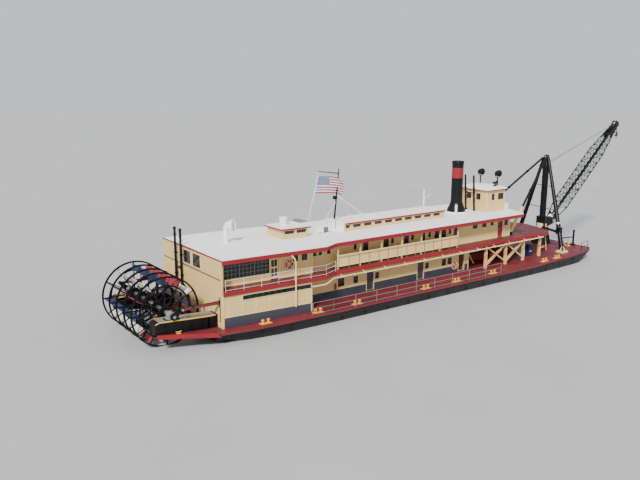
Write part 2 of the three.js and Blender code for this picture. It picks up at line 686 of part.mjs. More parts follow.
// The pilothouse roof with its two searchlights and the horn
function pilothouseRoof() {
  const { from, to, half, top, overhang } = PILOTHOUSE;
  const lid = (x0, x1, y, z) => [at(x0, -y, z), at(x1, -y, z), at(x1, y, z), at(x0, y, z)];
  const parts = [loft([
    lid(from - overhang, to + overhang, half + overhang, top + GAP),
    lid(from - overhang, to + overhang, half + overhang, top + 0.14),
    lid(from + 0.5, to - 0.5, half - 0.6, top + 0.42),
  ])];
  const { x, z, radius } = LIGHTS;
  for (const y of LIGHTS.y) {
    parts.push(rod(at(x, y, top + 0.05), at(x, y, z), 0.07, 10));
    parts.push(rod(at(x - 0.3, y, z), at(x + 0.3, y, z), radius * 0.75, 14, radius));
  }
  const hornZ = top + HORN.high;
  parts.push(rod(at(HORN.x, HORN.y, top + 0.05), at(HORN.x, HORN.y, hornZ), 0.08, 10));
  parts.push(rod(at(HORN.x - 0.35, HORN.y, hornZ), at(HORN.x + 0.35, HORN.y, hornZ), 0.07, 12, HORN.bell));
  return join(parts);
}

// Two tall steam pipes up the pilothouse's aft wall, raked aft and tied by a bracket
const STEAM_PIPES = { x: 32.88, y: [0.83, -0.33], rake: 0.3, top: 9.08, radius: 0.1, tie: 7.2 };

function steamPipes() {
  const { x, rake, top, radius, tie } = STEAM_PIPES;
  const [ya, yb] = STEAM_PIPES.y;
  const parts = [ya, yb].map((y) => rod(at(x, y, ROOF), at(x - rake, y, top), radius, 10));
  const tieX = x - rake * (tie - ROOF) / (top - ROOF);
  parts.push(block(tieX - 0.05, tieX + 0.05, yb, ya, tie, tie + 0.1, LEVEL));
  return cut(join(parts), [roofClearance()]);
}

// Stack with its flared base on a curb
const STACK = { x: 30.45, top: 10.7, radius: 0.59, base: 0.96, curb: 0.2 };

function stack() {
  const { radius, base, curb, top } = STACK;
  const foot = ROOF + curb;
  return cut(turned([
    [0, ROOF], [base + 0.04, ROOF], [base + 0.04, foot], [base, foot], [base, foot + 0.15],
    [radius + 0.05, 6.4], [radius, 6.5], [radius, 10.4], [radius + 0.04, 10.4], [radius + 0.04, top],
    [radius - 0.08, top], [radius - 0.08, 6.0], [0, 6.0],
  ], STACK.x, 0, 20), [roofClearance()]);
}

// Cowl ventilator: a slender trunk, bent over, with a wide mouth turned forward and to starboard
const COWL = { x: 3.4, y: 0.35, trunk: 0.2, bendZ: 6.45, neck: 0.3, mouth: 0.52 };
const COWL_MOUTH = { x: 3.84, y: -0.18, z: 6.9 };

function cowlVent() {
  const { x, y, trunk, bendZ, neck, mouth } = COWL;
  const throat = at(x, y, bendZ + 0.4);
  const rim = at(COWL_MOUTH.x, COWL_MOUTH.y, COWL_MOUTH.z);
  const along = at(0, 0, 0).subVectors(rim, throat).normalize();
  const back = throat.clone().addScaledVector(along, -0.25);
  const inside = throat.clone().addScaledVector(along, -0.05);
  const beyond = rim.clone().addScaledVector(along, 0.02);
  const pipe = rod(at(x, y, ROOF), at(x, y, bendZ), trunk, 16);
  const bend = rod(at(x, y, bendZ - 0.1), throat, trunk, 16, neck);
  const bell = rod(back, rim, neck * 0.8, 16, mouth);
  const hollow = rod(inside, beyond, neck * 0.5, 16, mouth - 0.04);
  return cut(join([pipe, bend, bell]), [hollow, roofClearance()]);
}

// Flagmast with its gaff, and the halyard from the gaff's end down to the housing
const FLAGMAST = { x: 14.08, y: -0.25, rake: 0.6, top: 10.86, gaffZ: 10.45 };
const HALYARD = {
  topX: 12.38, topY: -0.3, top: 10.78, footX: 12.25, footY: 1.15, foot: ROOF + HOUSING.high + GAP,
  radius: 0.035,
};

function flagmast() {
  const { x, y, rake, top, gaffZ } = FLAGMAST;
  const pole = rod(at(x, y, ROOF), at(x + rake, y, top), 0.09, 10, 0.05);
  const base = rod(at(x, y, ROOF), at(x, y, ROOF + 0.2), 0.2, 10);
  const halyardTop = onHalyard(HALYARD.top);
  const gaff = rod(at(x + rake * 0.9, y, gaffZ), halyardTop, 0.05, 8);
  const halyard = rod(halyardTop, onHalyard(HALYARD.foot), HALYARD.radius, 8);
  const below = block(HOUSING.from, HOUSING.to, HOUSING.starboard, HOUSING.port, ROOF, HALYARD.foot, LEVEL);
  return cut(join([pole, base, gaff, halyard]), [below, roofClearance()]);
}

// The halyard's point at a height
function onHalyard(z) {
  const { topX, topY, top, footX, footY, foot } = HALYARD;
  const down = (top - z) / (top - foot);
  return at(topX + (footX - topX) * down, topY + (footY - topY) * down, z);
}

// The flag, its hoist along the halyard
const FLAG = { fore: 15.1, top: 10.35, under: 8.75, half: 0.02 };

function flag() {
  const { fore, top, under, half } = FLAG;
  const ring = (z) => {
    const hoist = onHalyard(z);
    const aft = hoist.x + HALYARD.radius + 0.02;
    return [
      at(aft, hoist.y - half, z), at(fore, hoist.y - half, z), at(fore, hoist.y + half, z),
      at(aft, hoist.y + half, z),
    ];
  };
  return loft([ring(under), ring(top)]);
}

// Steam exhaust pipes up the aft wall
const EXHAUST = { y: [1.25, 2.3], x: -0.22, foot: 2.2, top: 6.85, radius: 0.1 };

function exhaustPipes() {
  const { x, foot, top, radius } = EXHAUST;
  const parts = EXHAUST.y.map((y) => rod(at(x, y, foot), at(x, y, top), radius, 10));
  parts.push(block(x - 0.04, x + 0.04, EXHAUST.y[0], EXHAUST.y[1], 3.4, 3.48));
  parts.push(block(x, -GAP, 1.7, 1.85, 3.4, 3.48));
  return join(parts);
}

// Derrick: A-frame legs, back stays, mast and boom
const LEG_FEET = { port: { x: 44.97, y: 3.2 }, starboard: { x: 43, y: -4.55 } };
const LEG = { headX: 45.3, headY: 0.25, radius: 0.26, headRadius: 0.17 };
const STAY_FOOT = { x: 35.4, y: 3.1 };
const STAY = { headX: 45.18, headY: 0.16, radius: 0.12 };

// A leg of the A-frame, without its shoe, grown on all sides
function legRod(name, grow) {
  const { x, y } = LEG_FEET[name];
  const foot = at(x, y, rise(DECK_SHEER, x) + 0.15);
  const head = at(LEG.headX, Math.sign(y) * LEG.headY, APEX);
  const along = at(0, 0, 0).subVectors(head, foot).normalize().multiplyScalar(grow);
  return rod(foot.sub(along), head.add(along), LEG.radius + grow, 12, LEG.headRadius + grow);
}

function aFrameLeg(name) {
  const { x, y } = LEG_FEET[name];
  const shoe = block(x - 0.5, x + 0.5, y - 0.45, y + 0.45, GAP, 0.22, DECK_SHEER);
  return cut(join([legRod(name, 0), shoe]), [headBlock(GAP)]);
}

// The block at the head of the derrick, where the mast's top pin turns
const HEAD = { aft: 0.22, fore: 0.24, half: 0.19 };

function headBlock(grow) {
  const [aft, fore] = [MAST.x - HEAD.aft - grow, MAST.x + HEAD.fore + grow];
  const half = HEAD.half + grow;
  return block(aft, fore, -half, half, MAST.top + 0.06 - grow, APEX + 0.15 + grow, LEVEL);
}

const HEAD_PIN = 0.1;

function aFrameHead() {
  const socket = rod(at(MAST.x, 0, MAST.top - 0.2), at(MAST.x, 0, MAST.top + 0.4), HEAD_PIN + 0.015, 12);
  return cut(headBlock(0), [socket]);
}

// A back stay, from the head of the derrick down to the upper deck ahead of the cabin
function backStay(side) {
  const foot = at(STAY_FOOT.x, side * STAY_FOOT.y, UPPER_DECK);
  const stay = rod(foot, at(STAY.headX, side * STAY.headY, APEX), STAY.radius, 10);
  const shoe = block(foot.x - 0.25, foot.x + 0.35, foot.y - 0.25, foot.y + 0.25, foot.z - 0.1, foot.z + 0.12);
  const deck = slab(UPPER_DECK_STATIONS, UPPER_DECK - 1, UPPER_DECK + GAP);
  const legs = SIDES.map(([name]) => legRod(name, 2 * GAP));
  return cut(join([stay, shoe]), [headBlock(GAP), deck, ...legs]);
}

// The mast turns on its step, with brackets that carry the boom's heel
const HEEL = { half: 0.5, cheek: 0.12, under: 2.5, top: 3.1 };

function mast() {
  const parts = [rod(at(MAST.x, 0, MAST.top - 0.1), at(MAST.x, 0, MAST.top + 0.3), HEAD_PIN, 12)];
  parts.push(rod(at(MAST.x, 0, MAST.foot), at(MAST.x, 0, MAST.shoulder), MAST.radius, 16));
  parts.push(rod(at(MAST.x, 0, MAST.shoulder), at(MAST.x, 0, MAST.top), MAST.radius, 16, MAST.topRadius));
  parts.push(rod(at(MAST.x, 0, MAST.foot - 0.2), at(MAST.x, 0, MAST.foot + 0.3), 0.6, 16));
  for (const [, side] of SIDES) {
    const ring = (x, z0, z1) => [
      at(x, side * HEEL.half, z0), at(x, side * (HEEL.half + HEEL.cheek), z0),
      at(x, side * (HEEL.half + HEEL.cheek), z1), at(x, side * HEEL.half, z1),
    ];
    parts.push(loft([
      ring(MAST.x - 0.3, HEEL.under - 0.3, HEEL.top + 0.3), ring(BOOM_FOOT.x + 0.2, HEEL.under, HEEL.top),
    ]));
  }
  const band = HEEL.half + 0.05;
  parts.push(block(MAST.x - 0.4, MAST.x + 0.4, -band, band, HEEL.under - 0.3, HEEL.top + 0.3, LEVEL));
  return join(parts);
}

// A point on the boom: s along it from the foot, y to port, t above its middle
const BOOM_LENGTH = Math.hypot(BOOM_TIP.x - BOOM_FOOT.x, BOOM_TIP.z - BOOM_FOOT.z);

function onBoom(s, y, t) {
  const cosine = (BOOM_TIP.x - BOOM_FOOT.x) / BOOM_LENGTH;
  const sine = (BOOM_TIP.z - BOOM_FOOT.z) / BOOM_LENGTH;
  return at(BOOM_FOOT.x + s * cosine - t * sine, y, BOOM_FOOT.z + s * sine + t * cosine);
}

const HOOK_PIN = { s: BOOM_LENGTH + 0.1, t: -0.4 };

// The lattice boom: four chords, with frames and diagonals between them
// Stations [s, half width, half depth]
const BOOM_STATIONS = [
  [0.1, 0.36, 0.12], [2.6, 0.62, 0.6], [11.5, 0.62, 0.6], [BOOM_LENGTH - 0.1, 0.24, 0.2],
];
const BOOM_BAYS = 12;
const BOOM_HEAD = { sheave: 0.3, half: 0.26, box: 0.4 };

// Half width and half depth of the boom at s
function boomSection(s) {
  for (let i = 1; i < BOOM_STATIONS.length; i++) {
    const [sa, ya, ta] = BOOM_STATIONS[i - 1];
    const [sb, yb, tb] = BOOM_STATIONS[i];
    const part = (s - sa) / (sb - sa);
    if (s <= sb) return [ya + (yb - ya) * part, ta + (tb - ta) * part];
  }
  return BOOM_STATIONS[BOOM_STATIONS.length - 1].slice(1);
}

function boom() {
  const parts = [];
  for (let i = 0; i + 1 < BOOM_STATIONS.length; i++) {
    const [sa, ya, ta] = BOOM_STATIONS[i];
    const [sb, yb, tb] = BOOM_STATIONS[i + 1];
    for (const [p, q] of [[-1, -1], [1, -1], [1, 1], [-1, 1]]) {
      parts.push(bar(onBoom(sa, p * ya, q * ta), onBoom(sb, p * yb, q * tb), 0.11, 0.11));
    }
  }
  const from = BOOM_STATIONS[1][0];
  const to = BOOM_LENGTH - 1.2;
  const pitch = (to - from) / BOOM_BAYS;
  for (let i = 0; i < BOOM_BAYS; i++) {
    const sa = from + pitch * i;
    const sb = sa + pitch;
    const [wa, da] = boomSection(sa);
    const [wb, db] = boomSection(sb);
    const flip = i % 2 === 0 ? 1 : -1;
    for (const p of [-1, 1]) {
      parts.push(bar(onBoom(sa, p * wa, flip * da), onBoom(sb, p * wb, -flip * db), 0.07, 0.07));
      parts.push(bar(onBoom(sa, flip * wa, p * da), onBoom(sb, -flip * wb, p * db), 0.07, 0.07));
    }
  }
  for (const s of [from, (from + to) / 2, to]) {
    const [wide, deep] = boomSection(s);
    for (const p of [-1, 1]) {
      parts.push(bar(onBoom(s, p * wide, -deep), onBoom(s, p * wide, deep), 0.08, 0.08));
      parts.push(bar(onBoom(s, -wide, p * deep), onBoom(s, wide, p * deep), 0.08, 0.08));
    }
  }
  const { sheave, half, box } = BOOM_HEAD;
  parts.push(rod(onBoom(0, -0.46, 0), onBoom(0, 0.46, 0), 0.16, 12));
  parts.push(rod(onBoom(BOOM_LENGTH, -half, 0), onBoom(BOOM_LENGTH, half, 0), sheave, 16));
  parts.push(bar(onBoom(BOOM_LENGTH - 0.6, -half, 0), onBoom(BOOM_LENGTH - 0.6, half, 0), box, box));
  for (const y of [-0.17, 0.17]) {
    const tang = onBoom(HOOK_PIN.s + 0.02, y, HOOK_PIN.t - 0.1);
    parts.push(bar(onBoom(BOOM_LENGTH - 0.1, y, 0), tang, 0.06, 0.16));
  }
  return join(parts);
}

// Hook block that hangs at the boom's tip
function hookBlock() {
  const pin = onBoom(HOOK_PIN.s, 0, HOOK_PIN.t);
  const parts = [
    rod(at(pin.x, -0.13, pin.z), at(pin.x, 0.13, pin.z), 0.06, 10),
    rod(pin, at(pin.x, 0, pin.z - 0.9), 0.05, 8),
    block(pin.x - 0.2, pin.x + 0.2, -0.12, 0.12, pin.z - 1.3, pin.z - 0.8, LEVEL),
    rod(at(pin.x, 0, pin.z - 1.6), at(pin.x, 0, pin.z - 1.2), 0.05, 8),
  ];
  return join(parts);
}

piece('hull', hull(), PAINT.black);
piece('main_deck', mainDeck(), PAINT.deck);
for (const [name, side] of SIDES) piece(`wheel_beam_${name}`, wheelBeam(side), PAINT.grey);
piece('paddle_wheel', paddleWheel(), PAINT.black);
piece('wheel_shaft', wheelShaft(), PAINT.steel);
for (const [name, side] of SIDES) piece(`pitman_${name}`, pitman(name, side), PAINT.black);
for (const [name, y] of RUDDERS) piece(name, rudder(y), PAINT.black);
piece('aft_wall', aftWall(), PAINT.cream);
piece('engine_bulkhead', engineBulkhead(), PAINT.cream);
piece('lower_cabin_front', lowerCabinFront(), PAINT.cream);
for (const [name, side] of SIDES) {
  piece(`engine_room_${name}`, engineRoomWall(side), PAINT.cream);
  piece(`engine_${name}`, engine(side), PAINT.grey);
  piece(`lower_cabin_${name}`, lowerCabinWall(side), PAINT.cream);
  LOWER_DOORS.forEach((x, i) => {
    piece(`lower_door_${name}_${i + 1}`, doorLeaf(x, side * LOWER_SIDE, LOWER_SILL), PAINT.grey);
  });
  UPPER_DOORS.forEach((x) => {
    piece(`gallery_door_${name}`, doorLeaf(x, side * UPPER_SIDE_AFT, UPPER_SILL), PAINT.grey);
  });
  FORWARD_DOORS.forEach((x) => {
    piece(`upper_door_${name}`, doorLeaf(x, side * UPPER_SIDE, UPPER_SILL), PAINT.red);
  });
  piece(`bulwark_${name}`, bulwark(side), PAINT.cream);
  piece(`truss_${name}`, truss(side), PAINT.cream);
  piece(`gallery_${name}`, galleryWall(side), PAINT.cream);
  piece(`upper_cabin_${name}`, upperCabinWall(side), PAINT.cream);
}
piece('boiler', boiler(), PAINT.grey);
piece('winch', winch(), PAINT.red);
piece('upper_deck', slab(UPPER_DECK_STATIONS, UPPER_DECK - FASCIA, UPPER_DECK), PAINT.deck);
piece('upper_bulkhead', upperBulkhead(), PAINT.cream);
piece('upper_cabin_front', upperCabinFront(), PAINT.cream);
piece('roof', crowned(ROOF_STATIONS, ROOF - FASCIA, ROOF, ROOF_CROWN), PAINT.white);
piece('skylight', skylight(), PAINT.cream);
piece('clerestory', clerestory(), PAINT.cream);
piece('pilothouse', pilothouseWalls(), PAINT.cream);
piece('pilothouse_roof', pilothouseRoof(), PAINT.white);
piece('stack', stack(), PAINT.black);
piece('steam_pipes', steamPipes(), PAINT.black);
piece('cowl_vent', cowlVent(), PAINT.white);
piece('flagmast', flagmast(), PAINT.black);
piece('flag', flag(), PAINT.cloth);
piece('exhaust_pipes', exhaustPipes(), PAINT.black);
for (const [name, side] of SIDES) {
  piece(`a_frame_leg_${name}`, aFrameLeg(name), PAINT.black);
  piece(`back_stay_${name}`, backStay(side), PAINT.black);
}
piece('a_frame_head', aFrameHead(), PAINT.black);
piece('mast', mast(), PAINT.black);
piece('boom', boom(), PAINT.black);
piece('hook_block', hookBlock(), PAINT.black);

boat.scale.setScalar(MODEL_SCALE * MILLIMETRES);
boat.position.set(-MIDSHIPS * MODEL_SCALE * MILLIMETRES, 0, HULL_DEPTH * MODEL_SCALE * MILLIMETRES);

export default boat;
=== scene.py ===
"""Looks of a sternwheel snagboat: a river work boat with a paddle wheel aft and a derrick at the bow.

Sizes are in metres of the full-size boat, as x forward from the aft wall, y to port and z up from the
main deck amidships. The model is half that size, and Form.piece() converts.
"""

import math

import bmesh
import bpy
from mathutils import Matrix, Vector


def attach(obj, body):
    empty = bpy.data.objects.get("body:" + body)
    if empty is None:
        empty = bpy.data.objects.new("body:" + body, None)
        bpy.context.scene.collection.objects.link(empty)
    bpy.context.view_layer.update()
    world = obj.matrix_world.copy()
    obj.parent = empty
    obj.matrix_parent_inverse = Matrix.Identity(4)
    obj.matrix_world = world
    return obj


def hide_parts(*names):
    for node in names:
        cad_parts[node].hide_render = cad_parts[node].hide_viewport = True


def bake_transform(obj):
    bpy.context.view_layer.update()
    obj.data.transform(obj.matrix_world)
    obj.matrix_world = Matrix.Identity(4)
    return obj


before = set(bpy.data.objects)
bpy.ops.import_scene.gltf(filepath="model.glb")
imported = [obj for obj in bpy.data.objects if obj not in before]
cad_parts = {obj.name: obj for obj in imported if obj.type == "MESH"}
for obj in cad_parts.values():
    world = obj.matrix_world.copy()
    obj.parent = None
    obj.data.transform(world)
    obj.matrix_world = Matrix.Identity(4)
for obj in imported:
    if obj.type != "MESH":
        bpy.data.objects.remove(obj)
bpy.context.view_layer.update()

# Model scale and origin
SCALE = 0.5
MIDSHIPS = 22
HULL_DEPTH = 1.83
WATERLINE = -0.95

# Levels and sheer lines
UPPER_DECK = 2.84
ROOF = 5.26
FASCIA = 0.34
WALL = 0.12
HOUSE_SHEER = [(-10, 0.32), (9.66, 0), (70, 0)]
DECK_SHEER = [(-10, 0.32), (9.66, 0), (36, 0), (60, 0.6)]
LEVEL = [(-100, 0), (100, 0)]
LOWER_TOP = UPPER_DECK - FASCIA
UPPER_TOP = ROOF - FASCIA

# Half widths, and places along the boat
HALF_BEAM = 6.32
HALF_AFT = 5.29
HALF_FORWARD = 4.6
TRANSOM = -0.5
JOG_AFT = 9.66
JOG_FORWARD = 11.1
ENGINE_ROOM_END = 8.08
LOWER_CABIN_END = 28.9
UPPER_CABIN_SPLIT = 9
UPPER_CABIN_END = 34.95
DECKHOUSE_SIDE = 5.17
LOWER_SIDE = 3.25
UPPER_SIDE_AFT = 3.95
UPPER_SIDE = 3.4
SIDES = [("port", 1), ("starboard", -1)]
FORE, PORT, UP = (1, 0, 0), (0, 1, 0), (0, 0, 1)


def at_place(table, x):
    """The values of a table of stations at x: straight between its rows, and held after its last."""
    for (xa, *a), (xb, *b) in zip(table, table[1:]):
        if x <= xb:
            t = (x - xa) / (xb - xa)
            return [p + (q - p) * t for p, q in zip(a, b)]
    return table[-1][1:]


def rise(line, x):
    """How far a sheer line lifts what stands at x."""
    return at_place(line, x)[0]


def knots(line, x0, x1):
    """Both ends, and the places between them where a sheer line bends."""
    margin = 0.02
    return [x0] + [x for x, _ in line if x0 + margin < x < x1 - margin] + [x1]


def spans(low, high, holes):
    """The stretches from low to high that no hole covers."""
    free = []
    start = low
    for a, b in sorted(holes):
        if b <= start or a >= high:
            continue
        if a > start:
            free.append((start, a))
        start = max(start, b)
    if start < high:
        free.append((start, high))
    return free


def even(first, last, count):
    """Evenly spaced places, with both ends."""
    return [first + (last - first) * i / (count - 1) for i in range(count)]


def upward(height):
    return Vector((0, 0, height))


def heading(turn):
    """A level unit vector, turned from forward towards port."""
    return Vector((math.cos(turn), math.sin(turn), 0))


def section(x, y0, y1, z0, z1):
    """The four corners of an upright section across the boat."""
    return [(x, y0, z0), (x, y1, z0), (x, y1, z1), (x, y0, z1)]


def band(radius, at, half, out, edge=0.005):
    """Profile points of a raised band round a turned part."""
    raised = radius + out
    return [(radius, at - half), (raised, at - half + edge), (raised, at + half - edge),
            (radius, at + half)]


def to_model(point):
    """A point of the full-size boat in the model's frame."""
    x, y, z = point
    return ((x - MIDSHIPS) * SCALE, y * SCALE, (z + HULL_DEPTH) * SCALE)


class Form:
    """Gathers the closed solids of one piece. Each face keeps the number of its paint."""

    def __init__(self):
        self.points = []
        self.faces = []
        self.paints = []

    def add(self, points, faces, paint=0):
        first = len(self.points)
        self.points += [tuple(p) for p in points]
        self.faces += [[first + i for i in face] for face in faces]
        self.paints += [paint] * len(faces)

    def loft(self, rings, paint=0, closed=False):
        """A skin over rings of points; closed joins the last ring to the first and leaves no caps."""
        count = len(rings[0])
        points = [p for ring in rings for p in ring]
        faces = []
        for r in range(len(rings) if closed else len(rings) - 1):
            here = r * count
            there = (r + 1) % len(rings) * count
            for i in range(count):
                j = (i + 1) % count
                faces.append([here + i, here + j, there + j, there + i])
        if not closed:
            faces.append(list(range(count))[::-1])
            faces.append([(len(rings) - 1) * count + i for i in range(count)])
        self.add(points, faces, paint)

    def block(self, x0, x1, y0, y1, z0, z1, paint=0, line=HOUSE_SHEER):
        """A block along the boat, which follows a sheer line."""
        places = knots(line, min(x0, x1), max(x0, x1))
        self.loft([section(x, y0, y1, z0 + rise(line, x), z1 + rise(line, x)) for x in places], paint)

    def slab(self, stations, z0, z1, paint=0, line=HOUSE_SHEER):
        """A slab that is alike on both sides, from stations of x and half width."""
        self.loft([section(x, -half, half, z0 + rise(line, x), z1 + rise(line, x)) for x, half in stations],
                  paint)

    def extrude(self, outline, y0, y1, paint=0):
        """A plate across the boat, from its outline of x and z."""
        self.loft([[(x, y, z) for x, z in outline] for y in (y0, y1)], paint)

    def bar(self, start, end, wide, deep, paint=0):
        """A square bar between two points."""
        a, b = Vector(start), Vector(end)
        along = (b - a).normalized()
        up = Vector((1, 0, 0)) if abs(along.z) > 0.95 else upward(1)
        side = up.cross(along).normalized() * wide / 2
        top = along.cross(side).normalized() * deep / 2
        ring = [-side - top, side - top, side + top, -side + top]
        self.loft([[p + q for q in ring] for p in (a, b)], paint)

    def rod(self, start, end, radius, sides=16, end_radius=None, paint=0):
        """A round bar between two points, which may taper."""
        last = radius if end_radius is None else end_radius
        self.turned([(radius, 0), (last, (Vector(end) - Vector(start)).length)], start,
                    Vector(end) - Vector(start), sides, paint)

    def turned(self, profile, base, axis, sides=24, paint=0, closed=False):
        """A turned solid about an axis, from a profile of radius and distance along the axis."""
        along = Vector(axis).normalized()
        other = Vector((1, 0, 0)) if abs(along.x) < 0.9 else Vector((0, 1, 0))
        u = along.cross(other).normalized()
        v = along.cross(u)
        rings = []
        for radius, distance in profile:
            centre = Vector(base) + along * distance
            rings.append([centre + (u * math.cos(t) + v * math.sin(t)) * radius
                          for t in (2 * math.pi * i / sides for i in range(sides))])
        self.loft(rings, paint, closed)

    def ring(self, centre, axis, outer, inner, thick, sides=36, paint=0):
        """A flat ring about an axis."""
        half = thick / 2
        profile = [(inner, -half), (outer, -half), (outer, half), (inner, half)]
        self.turned(profile, centre, axis, sides, paint, closed=True)

    def tube(self, path, radius, sides=10, paint=0, closed=False):
        """A round tube along points. radius may be one number or one for each point."""
        pts = [Vector(p) for p in path]
        radii = radius if isinstance(radius, (list, tuple)) else [radius] * len(pts)
        rings = []
        side = None
        for i, p in enumerate(pts):
            before = pts[i - 1] if i > 0 or closed else p
            after = pts[(i + 1) % len(pts)] if i + 1 < len(pts) or closed else p
            along = (after - before).normalized()
            if side is None:
                other = upward(1) if abs(along.z) < 0.9 else Vector((1, 0, 0))
                side = along.cross(other).normalized()
            side = (side - along * side.dot(along)).normalized()
            up = along.cross(side)
            rings.append([p + (side * math.cos(t) + up * math.sin(t)) * radii[i]
                          for t in (2 * math.pi * k / sides for k in range(sides))])
        self.loft(rings, paint, closed)

    def ball(self, centre, radius, paint=0, sides=12):
        """A round knob."""
        steps = 6
        profile = [(radius * math.sin(math.pi * max(0.05, min(0.95, i / steps))),
                    -radius * math.cos(math.pi * i / steps)) for i in range(steps + 1)]
        self.turned(profile, centre, UP, sides, paint)

    def piece(self, name, body, slot, *paints, bevel=0, sharp=32):
        """Makes the object, in the model's frame, riding on a body."""
        mesh = bpy.data.meshes.new(name)
        mesh.from_pydata([to_model(p) for p in self.points], [], self.faces)
        for paint in paints:
            mesh.materials.append(paint)
        mesh.polygons.foreach_set("material_index", self.paints)
        work = bmesh.new()
        work.from_mesh(mesh)
        bmesh.ops.recalc_face_normals(work, faces=work.faces)
        work.to_mesh(mesh)
        work.free()
        mesh.shade_smooth()
        mesh.set_sharp_from_angle(angle=math.radians(sharp))
        obj = bpy.data.objects.new(name, mesh)
        bpy.context.scene.collection.objects.link(obj)
        if bevel:
            edge = obj.modifiers.new("edges", "BEVEL")
            edge.width = bevel * SCALE
            edge.segments = 2
            edge.limit_method = "ANGLE"
            edge.angle_limit = math.radians(40)
            edge.harden_normals = True
        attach(obj, body)
        return obj


class Paint:
    """A procedural material, with short calls for the nodes that feed its shader."""

    def __init__(self, name, roughness=0.5, metallic=0.0, coat=0.0, sheen=0.0, specular=0.5):
        self.material = bpy.data.materials.new(name)
        self.material.use_nodes = True
        tree = self.material.node_tree
        self.nodes, self.links = tree.nodes, tree.links
        self.shader = self.nodes["Principled BSDF"]
        values = {"Roughness": roughness, "Metallic": metallic, "Coat Weight": coat, "Sheen Weight": sheen,
                  "Specular IOR Level": specular}
        for socket, value in values.items():
            self.shader.inputs[socket].default_value = value
        self.where = self.nodes.new("ShaderNodeTexCoord").outputs["Object"]

    def feed(self, socket, value):
        """Links a node's output to a socket, or sets a number, vector or colour there."""
        if isinstance(value, bpy.types.NodeSocket):
            self.links.new(value, socket)
        elif hasattr(value, "__len__") and len(value) == 3 and socket.type == "RGBA":
            socket.default_value = (*value, 1)
        else:
            socket.default_value = value

    def node(self, kind, inputs, **settings):
        """The outputs of a new node with its settings and inputs."""
        node = self.nodes.new(kind)
        for name, value in settings.items():
            setattr(node, name, value)
        for socket, value in inputs.items():
            self.feed(node.inputs[socket], value)
        return node.outputs

    def mapped(self, stretch=(1, 1, 1), turn=(0, 0, 0)):
        """The place on the surface, stretched, or turned by degrees."""
        inputs = {"Vector": self.where, "Scale": stretch, "Rotation": [math.radians(a) for a in turn]}
        return self.node("ShaderNodeMapping", inputs)["Vector"]

    def noise(self, scale, detail=4, stretch=(1, 1, 1), rough=0.55):
        inputs = {"Vector": self.mapped(stretch), "Scale": scale, "Detail": detail, "Roughness": rough}
        return self.node("ShaderNodeTexNoise", inputs)["Fac"]

    def ramp(self, value, low, high):
        """0 below low, 1 above high, smooth between."""
        inputs = {"Value": value, "From Min": low, "From Max": high}
        return self.node("ShaderNodeMapRange", inputs, interpolation_type="SMOOTHSTEP")["Result"]

    def spread(self, value, low, high):
        """A noise value, spread from low to high."""
        inputs = {"Value": value, "From Min": 0.3, "From Max": 0.7, "To Min": low, "To Max": high}
        return self.node("ShaderNodeMapRange", inputs)["Result"]

    def math(self, kind, a, b):
        return self.node("ShaderNodeMath", {0: a, 1: b}, operation=kind)[0]

    def mix(self, factor, a, b, blend="MIX"):
        return self.node("ShaderNodeMix", {0: factor, 6: a, 7: b}, data_type="RGBA", blend_type=blend)[2]

    def mottle(self, scale, detail, a, b):
        """Soft patches between two colours."""
        return self.mix(self.spread(self.noise(scale, detail), 0, 1), a, b)

    def gloss(self, scale, detail, low, high):
        """A roughness that drifts between two values."""
        return self.spread(self.noise(scale, detail), low, high)

    def part(self, vector, axis):
        return self.node("ShaderNodeSeparateXYZ", {0: vector})[axis]

    def normal(self, axis):
        """The surface normal's part along an axis."""
        return self.part(self.node("ShaderNodeNewGeometry", {})["True Normal"], axis)

    def plates(self, vector, wide, high, seam, offset=0.5):
        """1 on the plates or boards and 0 in the seams between them."""
        inputs = {"Vector": vector, "Color1": (0.9, 0.9, 0.9), "Color2": (1, 1, 1), "Mortar": (0, 0, 0),
                  "Scale": 1, "Mortar Size": seam, "Brick Width": wide, "Row Height": high}
        outputs = self.node("ShaderNodeTexBrick", inputs, offset=offset)
        return outputs["Color"], outputs["Fac"]

    def bump(self, height, distance, strength=1.0):
        inputs = {"Height": height, "Distance": distance, "Strength": strength}
        before = self.shader.inputs["Normal"].links
        if before:
            inputs["Normal"] = before[0].from_socket
        self.feed(self.shader.inputs["Normal"], self.node("ShaderNodeBump", inputs)["Normal"])

    def groove(self, seam, depth):
        """Sinks the seams."""
        self.bump(self.math("SUBTRACT", 1.0, seam), depth)

    def finish(self, colour, roughness=None):
        self.feed(self.shader.inputs["Base Color"], colour)
        if roughness is not None:
            self.feed(self.shader.inputs["Roughness"], roughness)
        return self.material


# Colours, linear
BLACK = (0.0035, 0.0036, 0.0042)
MAROON = (0.16, 0.014, 0.022)
RED = (0.25, 0.006, 0.013)
WHITE = (0.90, 0.89, 0.86)
CREAM = (0.70, 0.50, 0.21)
SLATE = (0.04, 0.045, 0.062)
YELLOW = (0.80, 0.42, 0.03)
ORANGE = (0.62, 0.09, 0.02)
GREY = (0.20, 0.20, 0.21)
NAVY = (0.012, 0.022, 0.10)
RUST = (0.16, 0.05, 0.02)
SASH = (0.085, 0.035, 0.03)
DIRT = (0.12, 0.10, 0.075)


def scaled(colour, by):
    return [min(1, c * by) for c in colour]


